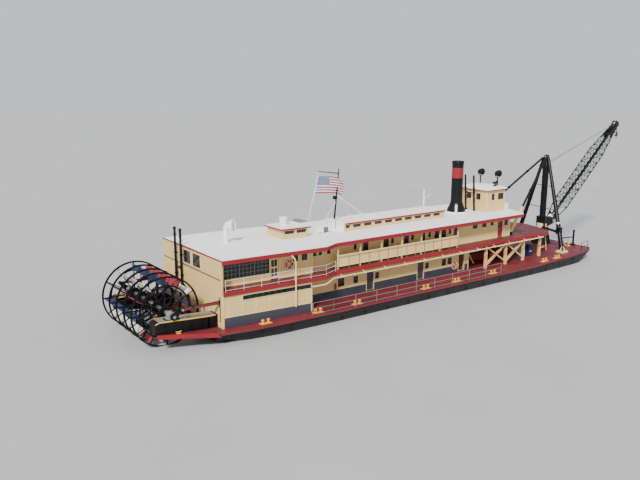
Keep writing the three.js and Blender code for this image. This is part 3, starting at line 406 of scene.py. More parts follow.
def painted(name, colour, roughness=0.45, fade=0.14, dirt=0.25, chips=0.0, shine=0.5):
    """Weathered paint: patches that fade, streaks of dirt that run down, and rusty chips."""
    paint = Paint(name, specular=shine)
    shade = paint.mottle(0.9, 5, scaled(colour, 1 - fade), scaled(colour, 1 + fade))
    streaks = paint.noise(7, 6, (1, 1, 0.12), 0.6)
    grime = paint.math("MULTIPLY", paint.ramp(streaks, 0.5, 0.8), dirt)
    shade = paint.mix(grime, shade, [0.35 * c + 0.65 * d for c, d in zip(colour, DIRT)])
    gloss = paint.gloss(4, 6, roughness - 0.09, roughness + 0.12)
    if chips:
        spots = paint.math("MULTIPLY", paint.ramp(paint.noise(38, 5), 0.66, 0.72),
                           paint.ramp(paint.noise(1.7, 3), 0.62 - chips, 0.75 - chips))
        shade = paint.mix(spots, shade, RUST)
        gloss = paint.math("MAXIMUM", gloss, paint.math("MULTIPLY", spots, 0.85))
        paint.groove(spots, 0.001)
    paint.bump(paint.noise(60, 3), 0.0006)
    return paint.finish(shade, gloss)


def deck_paint():
    """Steel deck, painted maroon: seams between plates, foot-worn faded paint and dried puddles."""
    paint = Paint("deck_maroon")
    plate, seam = paint.plates(paint.where, 1.2, 0.75, 0.006)
    base = paint.mottle(0.55, 6, (0.12, 0.010, 0.017), (0.19, 0.022, 0.030))
    base = paint.mix(1.0, base, plate, "MULTIPLY")
    worn = paint.math("MULTIPLY", paint.ramp(paint.noise(3.1, 7, (0.5, 1, 1)), 0.55, 0.75), 0.35)
    base = paint.mix(worn, base, (0.26, 0.07, 0.07))
    stains = paint.math("MULTIPLY", paint.ramp(paint.noise(1.6, 5), 0.58, 0.7), 0.4)
    base = paint.mix(stains, base, (0.05, 0.008, 0.010))
    base = paint.mix(seam, base, (0.045, 0.009, 0.011))
    paint.groove(seam, 0.003)
    paint.bump(paint.noise(90, 3), 0.0008)
    return paint.finish(base, paint.gloss(2.2, 5, 0.42, 0.68))


def edged(paint, top, seam, depth):
    """A deck's or roof's own colour above, red at the edge and cream below, with its seams sunk."""
    above = paint.ramp(paint.normal(2), 0.3, 0.5)
    below = paint.ramp(paint.math("MULTIPLY", paint.normal(2), -1), 0.5, 0.7)
    edge = paint.mix(below, paint.mottle(1.2, 5, scaled(RED, 0.85), scaled(RED, 1.12)), scaled(CREAM, 0.9))
    paint.groove(paint.math("MULTIPLY", seam, above), depth)
    return paint.mix(above, edge, top)


def roof_paint():
    """White roof: canvas in long widths under thick paint, with grey wash marks."""
    paint = Paint("roof_white")
    _, seam = paint.plates(paint.where, 3.0, 0.62, 0.008, 0.37)
    base = paint.mottle(0.5, 6, (0.88, 0.87, 0.84), (0.95, 0.945, 0.93))
    wash = paint.math("MULTIPLY", paint.ramp(paint.noise(2.4, 7, (1, 0.5, 1)), 0.52, 0.78), 0.16)
    base = paint.mix(wash, base, (0.50, 0.49, 0.46))
    base = paint.mix(paint.math("MULTIPLY", seam, 0.45), base, (0.55, 0.54, 0.5))
    shade = edged(paint, base, seam, 0.003)
    paint.bump(paint.noise(30, 4), 0.0015)
    return paint.finish(shade, paint.gloss(3, 4, 0.5, 0.72))


def upper_deck_paint():
    """The upper deck: maroon canvas on top, red fascia at the edge, cream underside."""
    paint = Paint("upper_deck_paint")
    board, seam = paint.plates(paint.where, 2.4, 0.07, 0.0035, 0.41)
    base = paint.mottle(0.7, 6, (0.11, 0.011, 0.018), (0.18, 0.026, 0.032))
    base = paint.mix(1.0, base, board, "MULTIPLY")
    base = paint.mix(paint.math("MULTIPLY", seam, 0.6), base, (0.07, 0.014, 0.018))
    return paint.finish(edged(paint, base, seam, 0.002), paint.gloss(3, 4, 0.45, 0.68))


def hull_paint():
    """Black hull: plate seams, rust that runs from them, and slime below the waterline."""
    paint = Paint("hull_black")
    _, seam = paint.plates(paint.mapped(turn=(90, 0, 0)), 1.6, 0.42, 0.006)
    base = paint.mottle(1.1, 5, (0.003, 0.003, 0.004), (0.010, 0.010, 0.011))
    runs = paint.math("MULTIPLY", paint.ramp(paint.noise(9, 6, (1, 1, 0.1)), 0.57, 0.8), 0.5)
    base = paint.mix(runs, base, (0.035, 0.016, 0.010))
    water = to_model((0, 0, WATERLINE))[2]
    height = paint.part(paint.where, 2)
    wet = paint.ramp(paint.math("ADD", height, paint.math("MULTIPLY", paint.noise(3, 4), 0.08)),
                     water + 0.12, water - 0.02)
    base = paint.mix(paint.math("MULTIPLY", wet, 0.7), base, (0.035, 0.04, 0.022))
    red_lead = paint.ramp(height, water - 0.12, water - 0.14)
    base = paint.mix(red_lead, base, (0.14, 0.02, 0.018))
    paint.groove(seam, 0.003)
    paint.bump(paint.noise(40, 4), 0.001)
    return paint.finish(base, paint.gloss(4, 5, 0.34, 0.6))


def cloth(name, colour, dots=False):
    """Bunting: a plain weave with a soft sheen, and for one field rows of small white dots."""
    paint = Paint(name, roughness=0.8, sheen=0.3)
    weave = paint.math("MULTIPLY", paint.noise(260, 2, (1, 1, 6)), paint.noise(260, 2, (6, 1, 1)))
    shade = paint.mottle(3, 4, scaled(colour, 0.86), colour)
    if dots:
        pitch = 0.066
        waves = [paint.math("SINE",
                            paint.math("MULTIPLY", paint.part(paint.where, axis), 2 * math.pi / pitch), 0)
                 for axis in (0, 2)]
        spots = paint.ramp(paint.math("MULTIPLY", *waves), 0.5, 0.62)
        shade = paint.mix(spots, shade, (0.78, 0.78, 0.76))
    paint.bump(weave, 0.0006)
    return paint.finish(shade)


def glass():
    """Window glass, opaque and nearly black: its dark colour is painted shade for the dark rooms behind it.
    A little uneven.
    """
    paint = Paint("window_glass_painted_shade", roughness=0.06, coat=0.1, specular=0.3)
    # Nearly black: painted shade for the dark rooms and openings behind the glass.
    shade = paint.mottle(1.3, 3, (0.008, 0.009, 0.012), (0.026, 0.03, 0.036))
    paint.bump(paint.noise(5, 2), 0.002, 0.4)
    return paint.finish(shade, paint.gloss(9, 3, 0.04, 0.14))


def metal(name, colour, roughness=0.35):
    """Bare worked metal with fine scratches and some oil."""
    paint = Paint(name, metallic=0.9)
    shade = paint.mottle(5, 5, scaled(colour, 0.7), colour)
    paint.bump(paint.noise(120, 3, (1, 6, 1)), 0.0005)
    return paint.finish(shade, paint.gloss(14, 5, roughness - 0.1, roughness + 0.2))


def rope():
    """Rough brown rope."""
    paint = Paint("rope")
    shade = paint.mix(paint.noise(40, 4), (0.05, 0.04, 0.03), (0.14, 0.11, 0.07))
    paint.bump(paint.noise(150, 3), 0.002)
    return paint.finish(shade, 0.85)


BLACK_PAINT = painted("black_paint", BLACK, 0.42, 0.3, 0.05, 0.015, shine=0.25)
HULL = hull_paint()
DECK = deck_paint()
UPPER_DECK_PAINT = upper_deck_paint()
ROOF_PAINT = roof_paint()
MAROON_PAINT = painted("maroon_paint", MAROON, 0.5, 0.15, 0.3, 0.06)
RED_PAINT = painted("red_paint", RED, 0.42, 0.12, 0.2, 0.02)
CREAM_PAINT = painted("cream_paint", CREAM, 0.55, 0.06, 0.22, 0.0)
CREAM_TRIM = painted("cream_trim", (0.78, 0.60, 0.29), 0.5, 0.05, 0.12)
SEAM_PAINT = painted("seam_paint", (0.22, 0.15, 0.08), 0.6, 0.1, 0.2)
RED_BRIGHT = painted("red_bright", (0.40, 0.016, 0.010), 0.45, 0.1, 0.1)
YELLOW_CREAM = painted("yellow_cream", (0.85, 0.55, 0.13), 0.5, 0.06, 0.12)
WHITE_PAINT = painted("white_paint", WHITE, 0.5, 0.05, 0.22)
SLATE_PAINT = painted("slate_paint", SLATE, 0.5, 0.15, 0.25, 0.03)
YELLOW_PAINT = painted("yellow_paint", YELLOW, 0.45, 0.1, 0.2, 0.05)
ORANGE_PAINT = painted("orange_paint", ORANGE, 0.5, 0.1, 0.1)
GREY_PAINT = painted("grey_paint", GREY, 0.45, 0.1, 0.2, 0.03)
NAVY_PAINT = painted("navy_paint", NAVY, 0.45, 0.15, 0.2, 0.03)
SASH_PAINT = painted("sash_paint", SASH, 0.45, 0.15, 0.15)
STEEL = metal("steel", (0.42, 0.43, 0.44))
BRASS = metal("brass", (0.72, 0.45, 0.16), 0.25)
ROPE = rope()
GLASS = glass()
BLUE_BOARD = painted("blue_board", (0.012, 0.024, 0.085), 0.5, 0.2, 0.2, 0.08)
WHITE_BOARD = painted("white_board", (0.72, 0.71, 0.68), 0.55, 0.1, 0.4, 0.08)
RED_BOARD = painted("red_board", (0.27, 0.018, 0.028), 0.5, 0.15, 0.3, 0.08)
RUST_PAINT = painted("rust_paint", (0.03, 0.018, 0.012), 0.8, 0.3, 0.3)
RED_CLOTH = cloth("red_cloth", (0.40, 0.025, 0.035))
WHITE_CLOTH = cloth("white_cloth", (0.88, 0.86, 0.86))
BLUE_CLOTH = cloth("blue_cloth", (0.055, 0.10, 0.24), dots=True)


# Hull

# Stations of x, half width and bottom
HULL_STATIONS = [
    (TRANSOM, 5.3, -0.75), (4.5, 6.0, -HULL_DEPTH), (10, 6.15, -HULL_DEPTH), (36, 6.15, -HULL_DEPTH),
    (40.5, 6.05, -HULL_DEPTH), (44.5, 5.85, -1.15), (46.9, 5.5, -0.2),
]
DECK_UNDER = -0.12


def hull_section(x, out):
    """The hull's side at x, from bilge to deck, moved out by a little."""
    half, bottom = at_place(HULL_STATIONS, x)
    top = rise(DECK_SHEER, x) + DECK_UNDER - 0.01
    bilge = min(0.35, (top + 0.32 - bottom) * 0.4)
    return half + out, bottom + bilge, top


def hull_straps():
    """Riveted butt straps, lap edges and the half-round fender below the deck."""
    form = Form()
    thick = 0.022
    for _, side in SIDES:
        for x in even(0.6, 45.6, 19):
            rings = []
            for dx in (-0.09, 0.09):
                y, low, high = hull_section(x + dx, 0)
                rings.append(section(x + dx, side * (y - 0.02), side * (y + thick), low, high))
            form.loft(rings)
            for dx in (-0.05, 0.05):
                y, low, high = hull_section(x + dx, thick)
                for z in even(low + 0.08, high - 0.08, 12):
                    form.rod((x + dx, side * (y - 0.01), z), (x + dx, side * (y + 0.014), z), 0.02, 6,
                             0.012)
        lap = []
        fender = []
        for x in [s[0] for s in HULL_STATIONS[:-1]] + [46.4]:
            y, low, high = hull_section(x, 0)
            middle = (low + high) / 2 + 0.12
            lap.append(section(x, side * (y - 0.02), side * (y + thick), middle - 0.06, middle + 0.06))
            fender.append([(x, side * (y + 0.11 * math.sin(t) - 0.01), high - 0.12 + 0.1 * math.cos(t))
                           for t in (math.pi * k / 6 for k in range(7))])
        form.loft(lap)
        form.loft(fender)
    form.piece("hull_straps", "boat", "black_paint", HULL)


# Main deck

DECK_STATIONS = [(-0.7, 6.0), (2, HALF_BEAM), (9.66, HALF_BEAM), (36, HALF_BEAM), (41, 6.2), (44.5, 5.95),
                 (46.6, 5.65), (47.3, 5.2)]
BEAM = {"inner": 3.42, "outer": 4.42, "aft": -5.0, "at_wall": 1.0, "top_aft": 1.4, "under_aft": 0.25}
# Horns of the deck beside the wheel, as x, outer y and top
HORN_STATIONS = [(TRANSOM - 0.02, 5.9, 0.14), (-2.6, 5.1, 0.28), (-4.9, 4.52, 0.48)]
MAST_X = 45.35
MAST_FOOT = 2.3
CAPSTAN = (45.4, 2.2)
BITT_PLACES = [3.4, 8.4, 12.5, 20.6, 24.7, 29.9, 38.2, 40.4]


def deck_half(x):
    """Half width of the main deck at x."""
    return at_place(DECK_STATIONS, x)[0]


def main_deck():
    """Deck plates with a toe bar at the edge, raised butt straps, and the horns beside the wheel."""
    form = Form()
    form.slab(DECK_STATIONS, DECK_UNDER, 0, line=DECK_SHEER)
    strap = 0.012
    for x in even(1.2, 46.2, 21):
        half = deck_half(x) - 0.12
        form.block(x - 0.06, x + 0.06, -half, half, -0.02, strap, line=DECK_SHEER)
    for _, side in SIDES:
        rings = []
        for x in [-0.6] + [s[0] for s in DECK_STATIONS[1:]]:
            y = side * deck_half(x)
            z = rise(DECK_SHEER, x)
            rings.append(section(x, y - side * 0.06, y + side * 0.015, z - 0.16, z + 0.045))
        form.loft(rings, 1)
        near = side * (BEAM["outer"] + 0.002)
        form.loft([section(x, near, side * outer, top - 0.26, top) for x, outer, top in HORN_STATIONS])
        form.loft([section(x, side * (outer - 0.02), side * (outer + 0.03), top - 0.3, top + 0.03)
                   for x, outer, top in HORN_STATIONS], 2)
    form.block(47.26, 47.33, -5.2, 5.2, DECK_UNDER - 0.04, 0.045, 1, DECK_SHEER)
    deck = form.piece("main_deck_plates", "boat", "deck_paint", DECK, MAROON_PAINT, RED_PAINT)
    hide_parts("main_deck")


def mast_step():
    """Cone that carries the mast, with ribs and bolted rings."""
    form = Form()
    step = rise(DECK_SHEER, MAST_X)
    top = MAST_FOOT - 0.21
    base = Vector((MAST_X, 0, 0))
    form.turned([(1.15, step - 0.05), (1.15, step + 0.05), (1.0, step + 0.07), (0.7, top - 0.12),
                 (0.76, top - 0.1), (0.76, top - 0.01), (0.3, top)], base, UP, 40)
    for i in range(10):
        turn = math.pi * i / 5
        out = heading(turn)
        form.bar(base + out * 1.06 + upward(step + 0.02), base + out * 0.72 + upward(top - 0.15), 0.05,
                 0.16)
        for more in (0.16, 0.48):
            foot = base + heading(turn + more) * 1.08
            form.rod(foot + upward(step + 0.04), foot + upward(step + 0.1), 0.03, 6)
    form.piece("mast_step", "boat", "black_paint", BLACK_PAINT, bevel=0.008)


def bitts():
    """Pairs of mooring bitts on base plates along the side decks, and at the bow."""
    form = Form()
    places = [(x, side * 5.75, 1) for x in BITT_PLACES for _, side in SIDES]
    places += [(46.2, 2.9, 0), (46.2, -2.9, 0)]
    for x, y, along in places:
        z = rise(DECK_SHEER, x)
        dx, dy = (0.5, 0.2) if along else (0.2, 0.5)
        form.block(x - dx, x + dx, y - dy, y + dy, -0.01, 0.045, line=DECK_SHEER)
        for s in (-0.25, 0.25):
            at = (x + s * along, y + s * (1 - along), z)
            form.turned([(0.14, 0.03), (0.12, 0.06), (0.095, 0.09), (0.095, 0.24), (0.13, 0.27),
                         (0.135, 0.31), (0.1, 0.34), (0.04, 0.35)], at, UP, 20)
        for sx in (-1, 1):
            for sy in (-1, 1):
                at = Vector((x + sx * (dx - 0.06), y + sy * (dy - 0.06), z))
                form.rod(at + upward(0.03), at + upward(0.07), 0.022, 6)
    form.piece("bitts", "boat", "yellow_paint", YELLOW_PAINT)


def capstan():
    """Capstan on the foredeck, with whelps and black bar sockets."""
    form = Form()
    x, y = CAPSTAN
    at = Vector((x, y, rise(DECK_SHEER, x)))
    form.turned([(0.42, -0.02), (0.42, 0.07), (0.38, 0.1), (0.3, 0.12), (0.26, 0.2), (0.21, 0.34),
                 (0.2, 0.46), (0.24, 0.58), (0.3, 0.64), (0.34, 0.68), (0.34, 0.84), (0.3, 0.88),
                 (0.1, 0.9), (0.02, 0.9)], at, UP, 32)
    for i in range(8):
        out = heading(math.pi * i / 4)
        form.bar(at + out * 0.25 + upward(0.16), at + out * 0.235 + upward(0.6), 0.04, 0.05)
        form.bar(at + out * 0.3 + upward(0.76), at + out * 0.345 + upward(0.76), 0.07, 0.09, 1)
    form.piece("capstan", "boat", "yellow_paint", ORANGE_PAINT, BLACK_PAINT)


# Rails

def rail_run(form, points, heights, radius, pitch, paint=0):
    """Pipe rails over a run of deck points, with posts at an even pitch."""
    for high in heights:
        form.tube([(x, y, z + high) for x, y, z in points], radius, 8, paint)
    for a, b in zip(points, points[1:]):
        length = (Vector(b) - Vector(a)).length
        steps = max(1, round(length / pitch))
        for i in range(steps + 1):
            p = Vector(a).lerp(Vector(b), i / steps)
            form.rod(p - upward(0.02), p + upward(heights[-1]), radius * 1.1, 8, paint=paint)
            form.turned([(radius * 2.6, 0), (radius * 2.2, 0.025), (radius * 1.2, 0.035)], p, UP, 8, paint)


def deck_rails():
    """Grey pipe rail along the edge of the main deck."""
    form = Form()
    for _, side in SIDES:
        edge = side * (HALF_BEAM - 0.14)
        points = [(x, edge, rise(DECK_SHEER, x)) for x in knots(DECK_SHEER, 7.6, 30.6)]
        rail_run(form, points, (0.14, 0.58, 1.04), 0.02, 2.3)
    points = [(x, -deck_half(x) + 0.2, rise(DECK_SHEER, x)) for x in (44.9, 46.5)]
    for run in (points, [(x, -y, z) for x, y, z in points]):
        rail_run(form, run, (0.5, 0.98), 0.03, 1.1, paint=1)
    form.piece("deck_rails", "boat", "grey_paint", GREY_PAINT, BLACK_PAINT)


def upper_rails():
    """Light pipe rails and stanchions at the edge of the upper deck, where there is no bulwark."""
    form = Form()
    for _, side in SIDES:
        aft = side * (HALF_AFT - 0.07)
        fore = side * (HALF_FORWARD - 0.07)
        points = [(x, aft, UPPER_DECK + rise(HOUSE_SHEER, x)) for x in (0.3, 4.98, JOG_AFT - 0.05)]
        points.append((JOG_FORWARD, fore, UPPER_DECK))
        rail_run(form, points, (0.12, 0.5, 0.87), 0.011, 1.4)
    form.piece("upper_rails", "boat", "white_paint", WHITE_PAINT)


BULWARK = {"from": 11.5, "to": 26.3, "y": 4.3, "foot": 0.26, "high": 1.22}


def bulwark_trim(name, side):
    """Seams, feet, a handrail line and a cap on the panels of the upper deck's bulwark."""
    form = Form()
    seam, cap = range(2)
    b = BULWARK
    wall = Wall(form, side, side * b["y"])
    foot, top = UPPER_DECK + b["foot"], UPPER_DECK + b["high"]
    for i, x in enumerate(even(b["from"] + 0.1, b["to"] - 0.1, 14)):
        w = 0.02 if i % 2 else 0.026
        wall.box(x - w, x + w, UPPER_DECK, top - 0.04, -0.01, 0.03, seam)
    wall.box(b["from"], b["to"], top - 0.2, top - 0.17, -0.01, 0.045, seam)
    wall.box(b["from"], b["to"], foot - 0.02, foot + 0.05, -0.02, 0.025, cap)
    wall.box(b["from"] - 0.01, b["to"] + 0.01, top - 0.05, top + 0.012, -0.07, 0.04, cap)
    for x in (b["from"] + 0.03, b["to"] - 0.03):
        wall.box(x - 0.035, x + 0.035, foot, top, -0.065, 0.035, cap)
    form.piece(f"bulwark_trim_{name}", "boat", "cream_paint", SEAM_PAINT, CREAM_TRIM)


def life_ring(form, x, y, z, side, paint):
    """A life ring on a wall, with four bands and its grab line."""
    band = 2
    form.turned([(0.3 + 0.075 * math.cos(t), 0.075 * math.sin(t))
                 for t in (math.pi * k / 5 for k in range(10))], (x, y, z), (0, side, 0), 36, paint,
                closed=True)
    for k in range(4):
        t = math.pi * (0.25 + 0.5 * k)
        at = Vector((x + 0.3 * math.cos(t), y, z + 0.3 * math.sin(t)))
        along = Vector((-math.sin(t), 0, math.cos(t)))
        form.rod(at - along * 0.025, at + along * 0.025, 0.08, 14, paint=band)
    grab = [(x + 0.4 * math.cos(t), y + side * 0.03, z + 0.4 * math.sin(t))
            for t in (2 * math.pi * k / 24 for k in range(24))]
    form.tube(grab, 0.014, 6, band, closed=True)
    form.rod((x, y, z + 0.36), (x, y - side * 0.09, z + 0.42), 0.02, 8, paint=band)


# Places on the walls, as x and z
UPPER_RING = (6.75, 3.95)
LOWER_RING = (26.87, 0.77)
EXTINGUISHER = (12.0, 0.8)


def life_rings():
    """Life rings by the gallery and by the forward end of the lower cabin, and an extinguisher."""
    form = Form()
    red, orange, white = range(3)
    for _, side in SIDES:
        x, z = UPPER_RING
        life_ring(form, x, side * (UPPER_SIDE_AFT + 0.12), z, side, red)
        x, z = LOWER_RING
        life_ring(form, x, side * (LOWER_SIDE + 0.12), z + rise(HOUSE_SHEER, x), side, orange)
        x, z = EXTINGUISHER
        y = side * (LOWER_SIDE + 0.13)
        form.turned([(0.05, 0), (0.09, 0.03), (0.09, 0.42), (0.05, 0.5), (0.02, 0.56)], (x, y, z), UP,
                    16, red)
        y0, y1 = sorted([y, y - side * 0.14])
        form.block(x - 0.03, x + 0.03, y0, y1, z + 0.2, z + 0.28, white, LEVEL)
    form.piece("life_rings", "boat", "red_paint", RED_BRIGHT, ORANGE_PAINT, WHITE_PAINT)


PIPE_Z = 2.37


def fender_pipes():
    """The cream pipe that runs below the edge of the upper deck, on brackets."""
    form = Form()
    for _, side in SIDES:
        path = [(8.1, side * 5.42, 2.17), (9.4, side * 5.42, 2.15), (9.75, side * 5.36, 2.24),
                (10.6, side * 4.95, PIPE_Z), (11.2, side * 4.9, PIPE_Z), (20, side * 4.9, PIPE_Z),
                (29, side * 4.9, PIPE_Z + 0.04), (38.9, side * 4.9, PIPE_Z + 0.12)]
        form.tube(path, 0.062, 12)
        for x in even(11.6, 38.4, 12):
            z = PIPE_Z + max(0, (x - 20) * 0.006)
            form.bar((x, side * 4.88, z), (x, side * 4.55, z + 0.16), 0.05, 0.05)
            form.ring((x, side * 4.9, z), FORE, 0.09, 0.055, 0.08, 16)
        x = 8.1
        form.bar((x, side * 5.42, 2.17), (x, side * 5.15, 2.2), 0.06, 0.06)
    form.piece("fender_pipes", "boat", "cream_paint", CREAM_TRIM)


DOWNSPOUT = {"x": 6.47, "y": 5.42, "radius": 0.058, "foot": 0.78, "clips": (1.1, 2.0, 3.1)}


def downspouts():
    """Cream pipes from the roof's edge down past the upper deck."""
    form = Form()
    pipe = DOWNSPOUT
    for _, side in SIDES:
        x, y = pipe["x"], side * pipe["y"]
        form.tube([(6.2, side * 5.24, 4.98), (6.24, side * 5.36, 4.9), (6.36, y, 4.72), (6.45, y, 4.5),
                   (x, y, 4.2), (x, y, pipe["foot"])], pipe["radius"], 12)
        for z in pipe["clips"]:
            form.ring((x, y, z), UP, 0.085, 0.05, 0.05, 16)
            form.bar((x, y, z), (x, side * (DECKHOUSE_SIDE - 0.01), z), 0.04, 0.04)
    form.piece("downspouts", "boat", "cream_paint", CREAM_TRIM)


# Walls

# Openings: (x of the middle, bottom, width, height)
DOOR_WIDE = 0.8
DOOR_HIGH = 1.65
LOWER_SILL = 0.1
UPPER_SILL = 2.92
AFT_WINDOWS = [0.57, -1.14]
PITMAN_SLOTS = [4.79, -4.79]
LOUVRES = [(3.9, 2.0, 5.6, 0.3)]
LOUVRE_BAND = (4.95, 2.01, 6.4, 0.34)
LOWER_DOORS = [16, 22.3]
LOWER_WINDOWS = [
    (12.68, 0.93, 0.74, 0.76), (14.33, 0.97, 0.57, 0.66), (16.83, 1.0, 0.5, 0.62), (23.16, 0.97, 0.5, 0.62),
    (25.48, 0.95, 0.62, 0.7), (26.27, 0.95, 0.62, 0.7),
]
LOWER_PASSAGE = (27.97, LOWER_SILL, 0.8, DOOR_HIGH)
GALLERY_SCREEN = (2.88, 3.42, 4.1, 1.3)
GALLERY_WINDOWS = [(7.4, 4.05, 0.55, 0.55), (8.3, 4.05, 0.6, 0.55)]
GALLERY_DOOR = 5.38
FORWARD_DOOR = 33.5
HEAD = 4.719
SMALL = (0.38, 0.5)
LARGE = (0.65, 0.9)
# x of the middle and bottom of the upper cabin's windows, small ones and large ones
SMALL_WINDOWS = [(10.3, 4.1), (11.2, 4.1), (14.09, 4.1), (18.46, 4.1), (20.97, 4.1), (23.22, 4.1),
                 (25.97, 4.1)]
LARGE_WINDOWS = [(9.6, 4.1), (15.29, 3.75), (17.71, 3.75), (20.21, 3.75), (22.31, 3.75), (24.19, 3.75),
                 (25.13, 3.75), (26.85, 3.75)]
FORWARD_WINDOWS = [(29.62, 4.2, 0.75, 0.5), (31, 4.2, 0.7, 0.5), (32.2, 4.25, 0.5, 0.45),
                   (34.42, 4.0, 0.6, 0.65)]
WAINSCOT = [(0, 0.93), (9.66, 0.72), (28.9, 0.72)]


def clipped(x, z, wide, high):
    """A window that ends below the head of the wall."""
    return x, z, wide, min(high, HEAD - z)


UPPER_WINDOWS = sorted([clipped(x, z, *SMALL) for x, z in SMALL_WINDOWS]
                       + [clipped(x, z, *LARGE) for x, z in LARGE_WINDOWS]
                       + [clipped(*w) for w in FORWARD_WINDOWS])


def door_opening(x, sill):
    return x, sill, DOOR_WIDE, DOOR_HIGH


# The paints of every wall's trim
TRIM, BOARD, DARK, PANE, SLATE_TRIM, RED_TRIM, PALE_TRIM = range(7)
WALL_PAINTS = [CREAM_TRIM, CREAM_PAINT, SASH_PAINT, GLASS, SLATE_PAINT, RED_PAINT, GREY_PAINT]


class Wall:
    """A flat wall face to trim: along the boat, or across it. u runs along the wall, n out of it."""

    def __init__(self, form, out, face, line=HOUSE_SHEER, across=False):
        self.form = form
        self.out = out
        self.face = face
        self.line = line
        self.across = across

    def box(self, u0, u1, z0, z1, n0, n1, paint=0):
        """A box on the wall, from n0 to n1 out of its face."""
        a, b = self.face + self.out * n0, self.face + self.out * n1
        if self.across:
            self.form.block(min(a, b), max(a, b), u0, u1, z0, z1, paint, self.line)
        else:
            self.form.block(u0, u1, min(a, b), max(a, b), z0, z1, paint, self.line)

    def clapboards(self, u0, u1, z0, z1, pitch, holes, paint=0, lip=0.026):
        """Level boards, each a little thicker at its foot."""
        rows = max(1, round((z1 - z0) / pitch))
        step = (z1 - z0) / rows
        for r in range(rows):
            low, high = z0 + r * step, z0 + (r + 1) * step
            hidden = [(x - w / 2 - 0.005, x + w / 2 + 0.005) for x, z, w, h in holes if z < high - 0.01
                      and z + h > low + 0.01]
            for a, b in spans(u0, u1, hidden):
                if b - a > 0.02:
                    self.board(a, b, low, high, paint, lip)

    def board(self, a, b, low, high, paint, lip=0.026):
        rings = []
        for u in (knots(self.line, a, b) if not self.across else [a, b]):
            lift = rise(self.line, self.face if self.across else u)
            shape = [(-0.01, low), (lip, low), (lip, low + 0.012), (0.008, high - 0.002), (-0.01, high)]
            rings.append([(self.face + self.out * n, u, z + lift) if self.across
                          else (u, self.face + self.out * n, z + lift) for n, z in shape])
        self.form.loft(rings, paint)

    def battens(self, u0, u1, z0, z1, pitch, wide, holes, paint=0, thick=0.02):
        """Upright battens over the joints of the boards."""
        count = max(1, round((u1 - u0) / pitch))
        for i in range(count + 1):
            u = u0 + (u1 - u0) * i / count
            hidden = [(z - 0.002, z + h + 0.002) for x, z, w, h in holes if abs(x - u) < w / 2 + wide]
            for a, b in spans(z0, z1, hidden):
                if b - a > 0.03:
                    self.box(u - wide / 2, u + wide / 2, a, b, -0.005, thick, paint)

    def casing(self, x, z, wide, high, trim=0.075, thick=0.035):
        """A frame round an opening, with a drip cap above and a sill below."""
        l, r, t = x - wide / 2, x + wide / 2, z + high
        self.box(l - trim, l + 0.004, z - 0.004, t + 0.004, -0.02, thick, TRIM)
        self.box(r - 0.004, r + trim, z - 0.004, t + 0.004, -0.02, thick, TRIM)
        self.box(l - trim - 0.02, r + trim + 0.02, t, t + trim, -0.02, thick + 0.012, TRIM)
        self.box(l - trim - 0.03, r + trim + 0.03, z - 0.055, z, -0.02, thick + 0.03, TRIM)

    def sash(self, x, z, wide, high, mullions=0, rails=0, back=0.045):
        """Glass in a sash set back in the opening, with mullions and rails over it."""
        l, r, t = x - wide / 2, x + wide / 2, z + high
        bar = 0.045
        n0, n1 = -back - 0.03, -back + 0.01
        self.box(l - 0.01, r + 0.01, z - 0.01, t + 0.01, -back - 0.02, -back - 0.008, PANE)
        self.box(l, l + bar, z, t, n0, n1, DARK)
        self.box(r - bar, r, z, t, n0, n1, DARK)
        self.box(l + bar, r - bar, t - bar, t, n0, n1, DARK)
        self.box(l + bar, r - bar, z, z + bar * 1.3, n0, n1, DARK)
        for i in range(mullions):
            u = l + wide * (i + 1) / (mullions + 1)
            self.box(u - 0.018, u + 0.018, z + bar, t - bar, n0, n1, DARK)
        for i in range(rails):
            v = z + high * (i + 1) / (rails + 1)
            self.box(l + bar, r - bar, v - 0.02, v + 0.02, n0, n1 - 0.004, DARK)


def aft_wall_trim():
    """Boards, battens, windows, corner posts and the casings round the slots of the aft wall."""
    form = Form()
    wall = Wall(form, -1, 0, across=True)
    sill, head, wide = 3.97, 5.02, 1.3
    windows = [(y, sill, wide, head - sill) for y in AFT_WINDOWS]
    slots = [(y, 0.5 - rise(HOUSE_SHEER, 0), 0.4, 2.1) for y in PITMAN_SLOTS]
    seam, edge = 3.745, ROOF - 0.09
    beams = [(side * 3.92, -0.2, 1.04, 1.22) for _, side in SIDES]
    framed = [(y, z - 0.06, w + 0.17, h + 0.2) for y, z, w, h in windows]
    wall.battens(-5.05, 5.05, 0.06, seam - 0.03, 0.42, 0.08, slots + beams, BOARD, 0.04)
    wall.clapboards(-5.16, 5.16, seam + 0.03, UPPER_TOP, 0.24, framed, BOARD, 0.014)
    for a, b in spans(-HALF_AFT, HALF_AFT,
                      [(y - w / 2 - 0.08, y + w / 2 + 0.08) for y, _, w, _ in windows]):
        wall.box(a, b, UPPER_TOP, edge, -0.01, 0.016, BOARD)
    wall.box(-HALF_AFT, HALF_AFT, head + 0.1, edge, 0.0, 0.017, BOARD)
    wall.box(-HALF_AFT - 0.01, HALF_AFT + 0.01, edge, ROOF + 0.012, -0.01, 0.03, RED_TRIM)
    # A dark batten across the wall at the seam: partly a brown band, partly painted shade for the shadow
    # line under it.
    wall.box(-5.16, 5.16, seam - 0.035, seam + 0.035, -0.01, 0.04, DARK)
    for _, side in SIDES:
        y = side * 5.1
        wall.box(min(y, y + side * 0.1), max(y, y + side * 0.1), 0.01, UPPER_TOP, -0.02, 0.045, BOARD)
    for y, z, w, h in windows:
        wall.casing(y, z, w, h, 0.07, 0.045)
        wall.sash(y, z, w, h, mullions=1, rails=1, back=-0.022)
    for y, z, w, h in slots:
        wall.casing(y, z, w, h, 0.06, 0.03)
    form.piece("aft_wall_trim", "boat", "cream_paint", *WALL_PAINTS)


def corners(wall, x0, x1, z0, z1, wide=0.11):
    """Posts at both ends of a wall."""
    for x in (x0 + 0.05, x1 - 0.05):
        wall.box(x - wide / 2, x + wide / 2, z0, z1, -0.01, 0.05, TRIM)


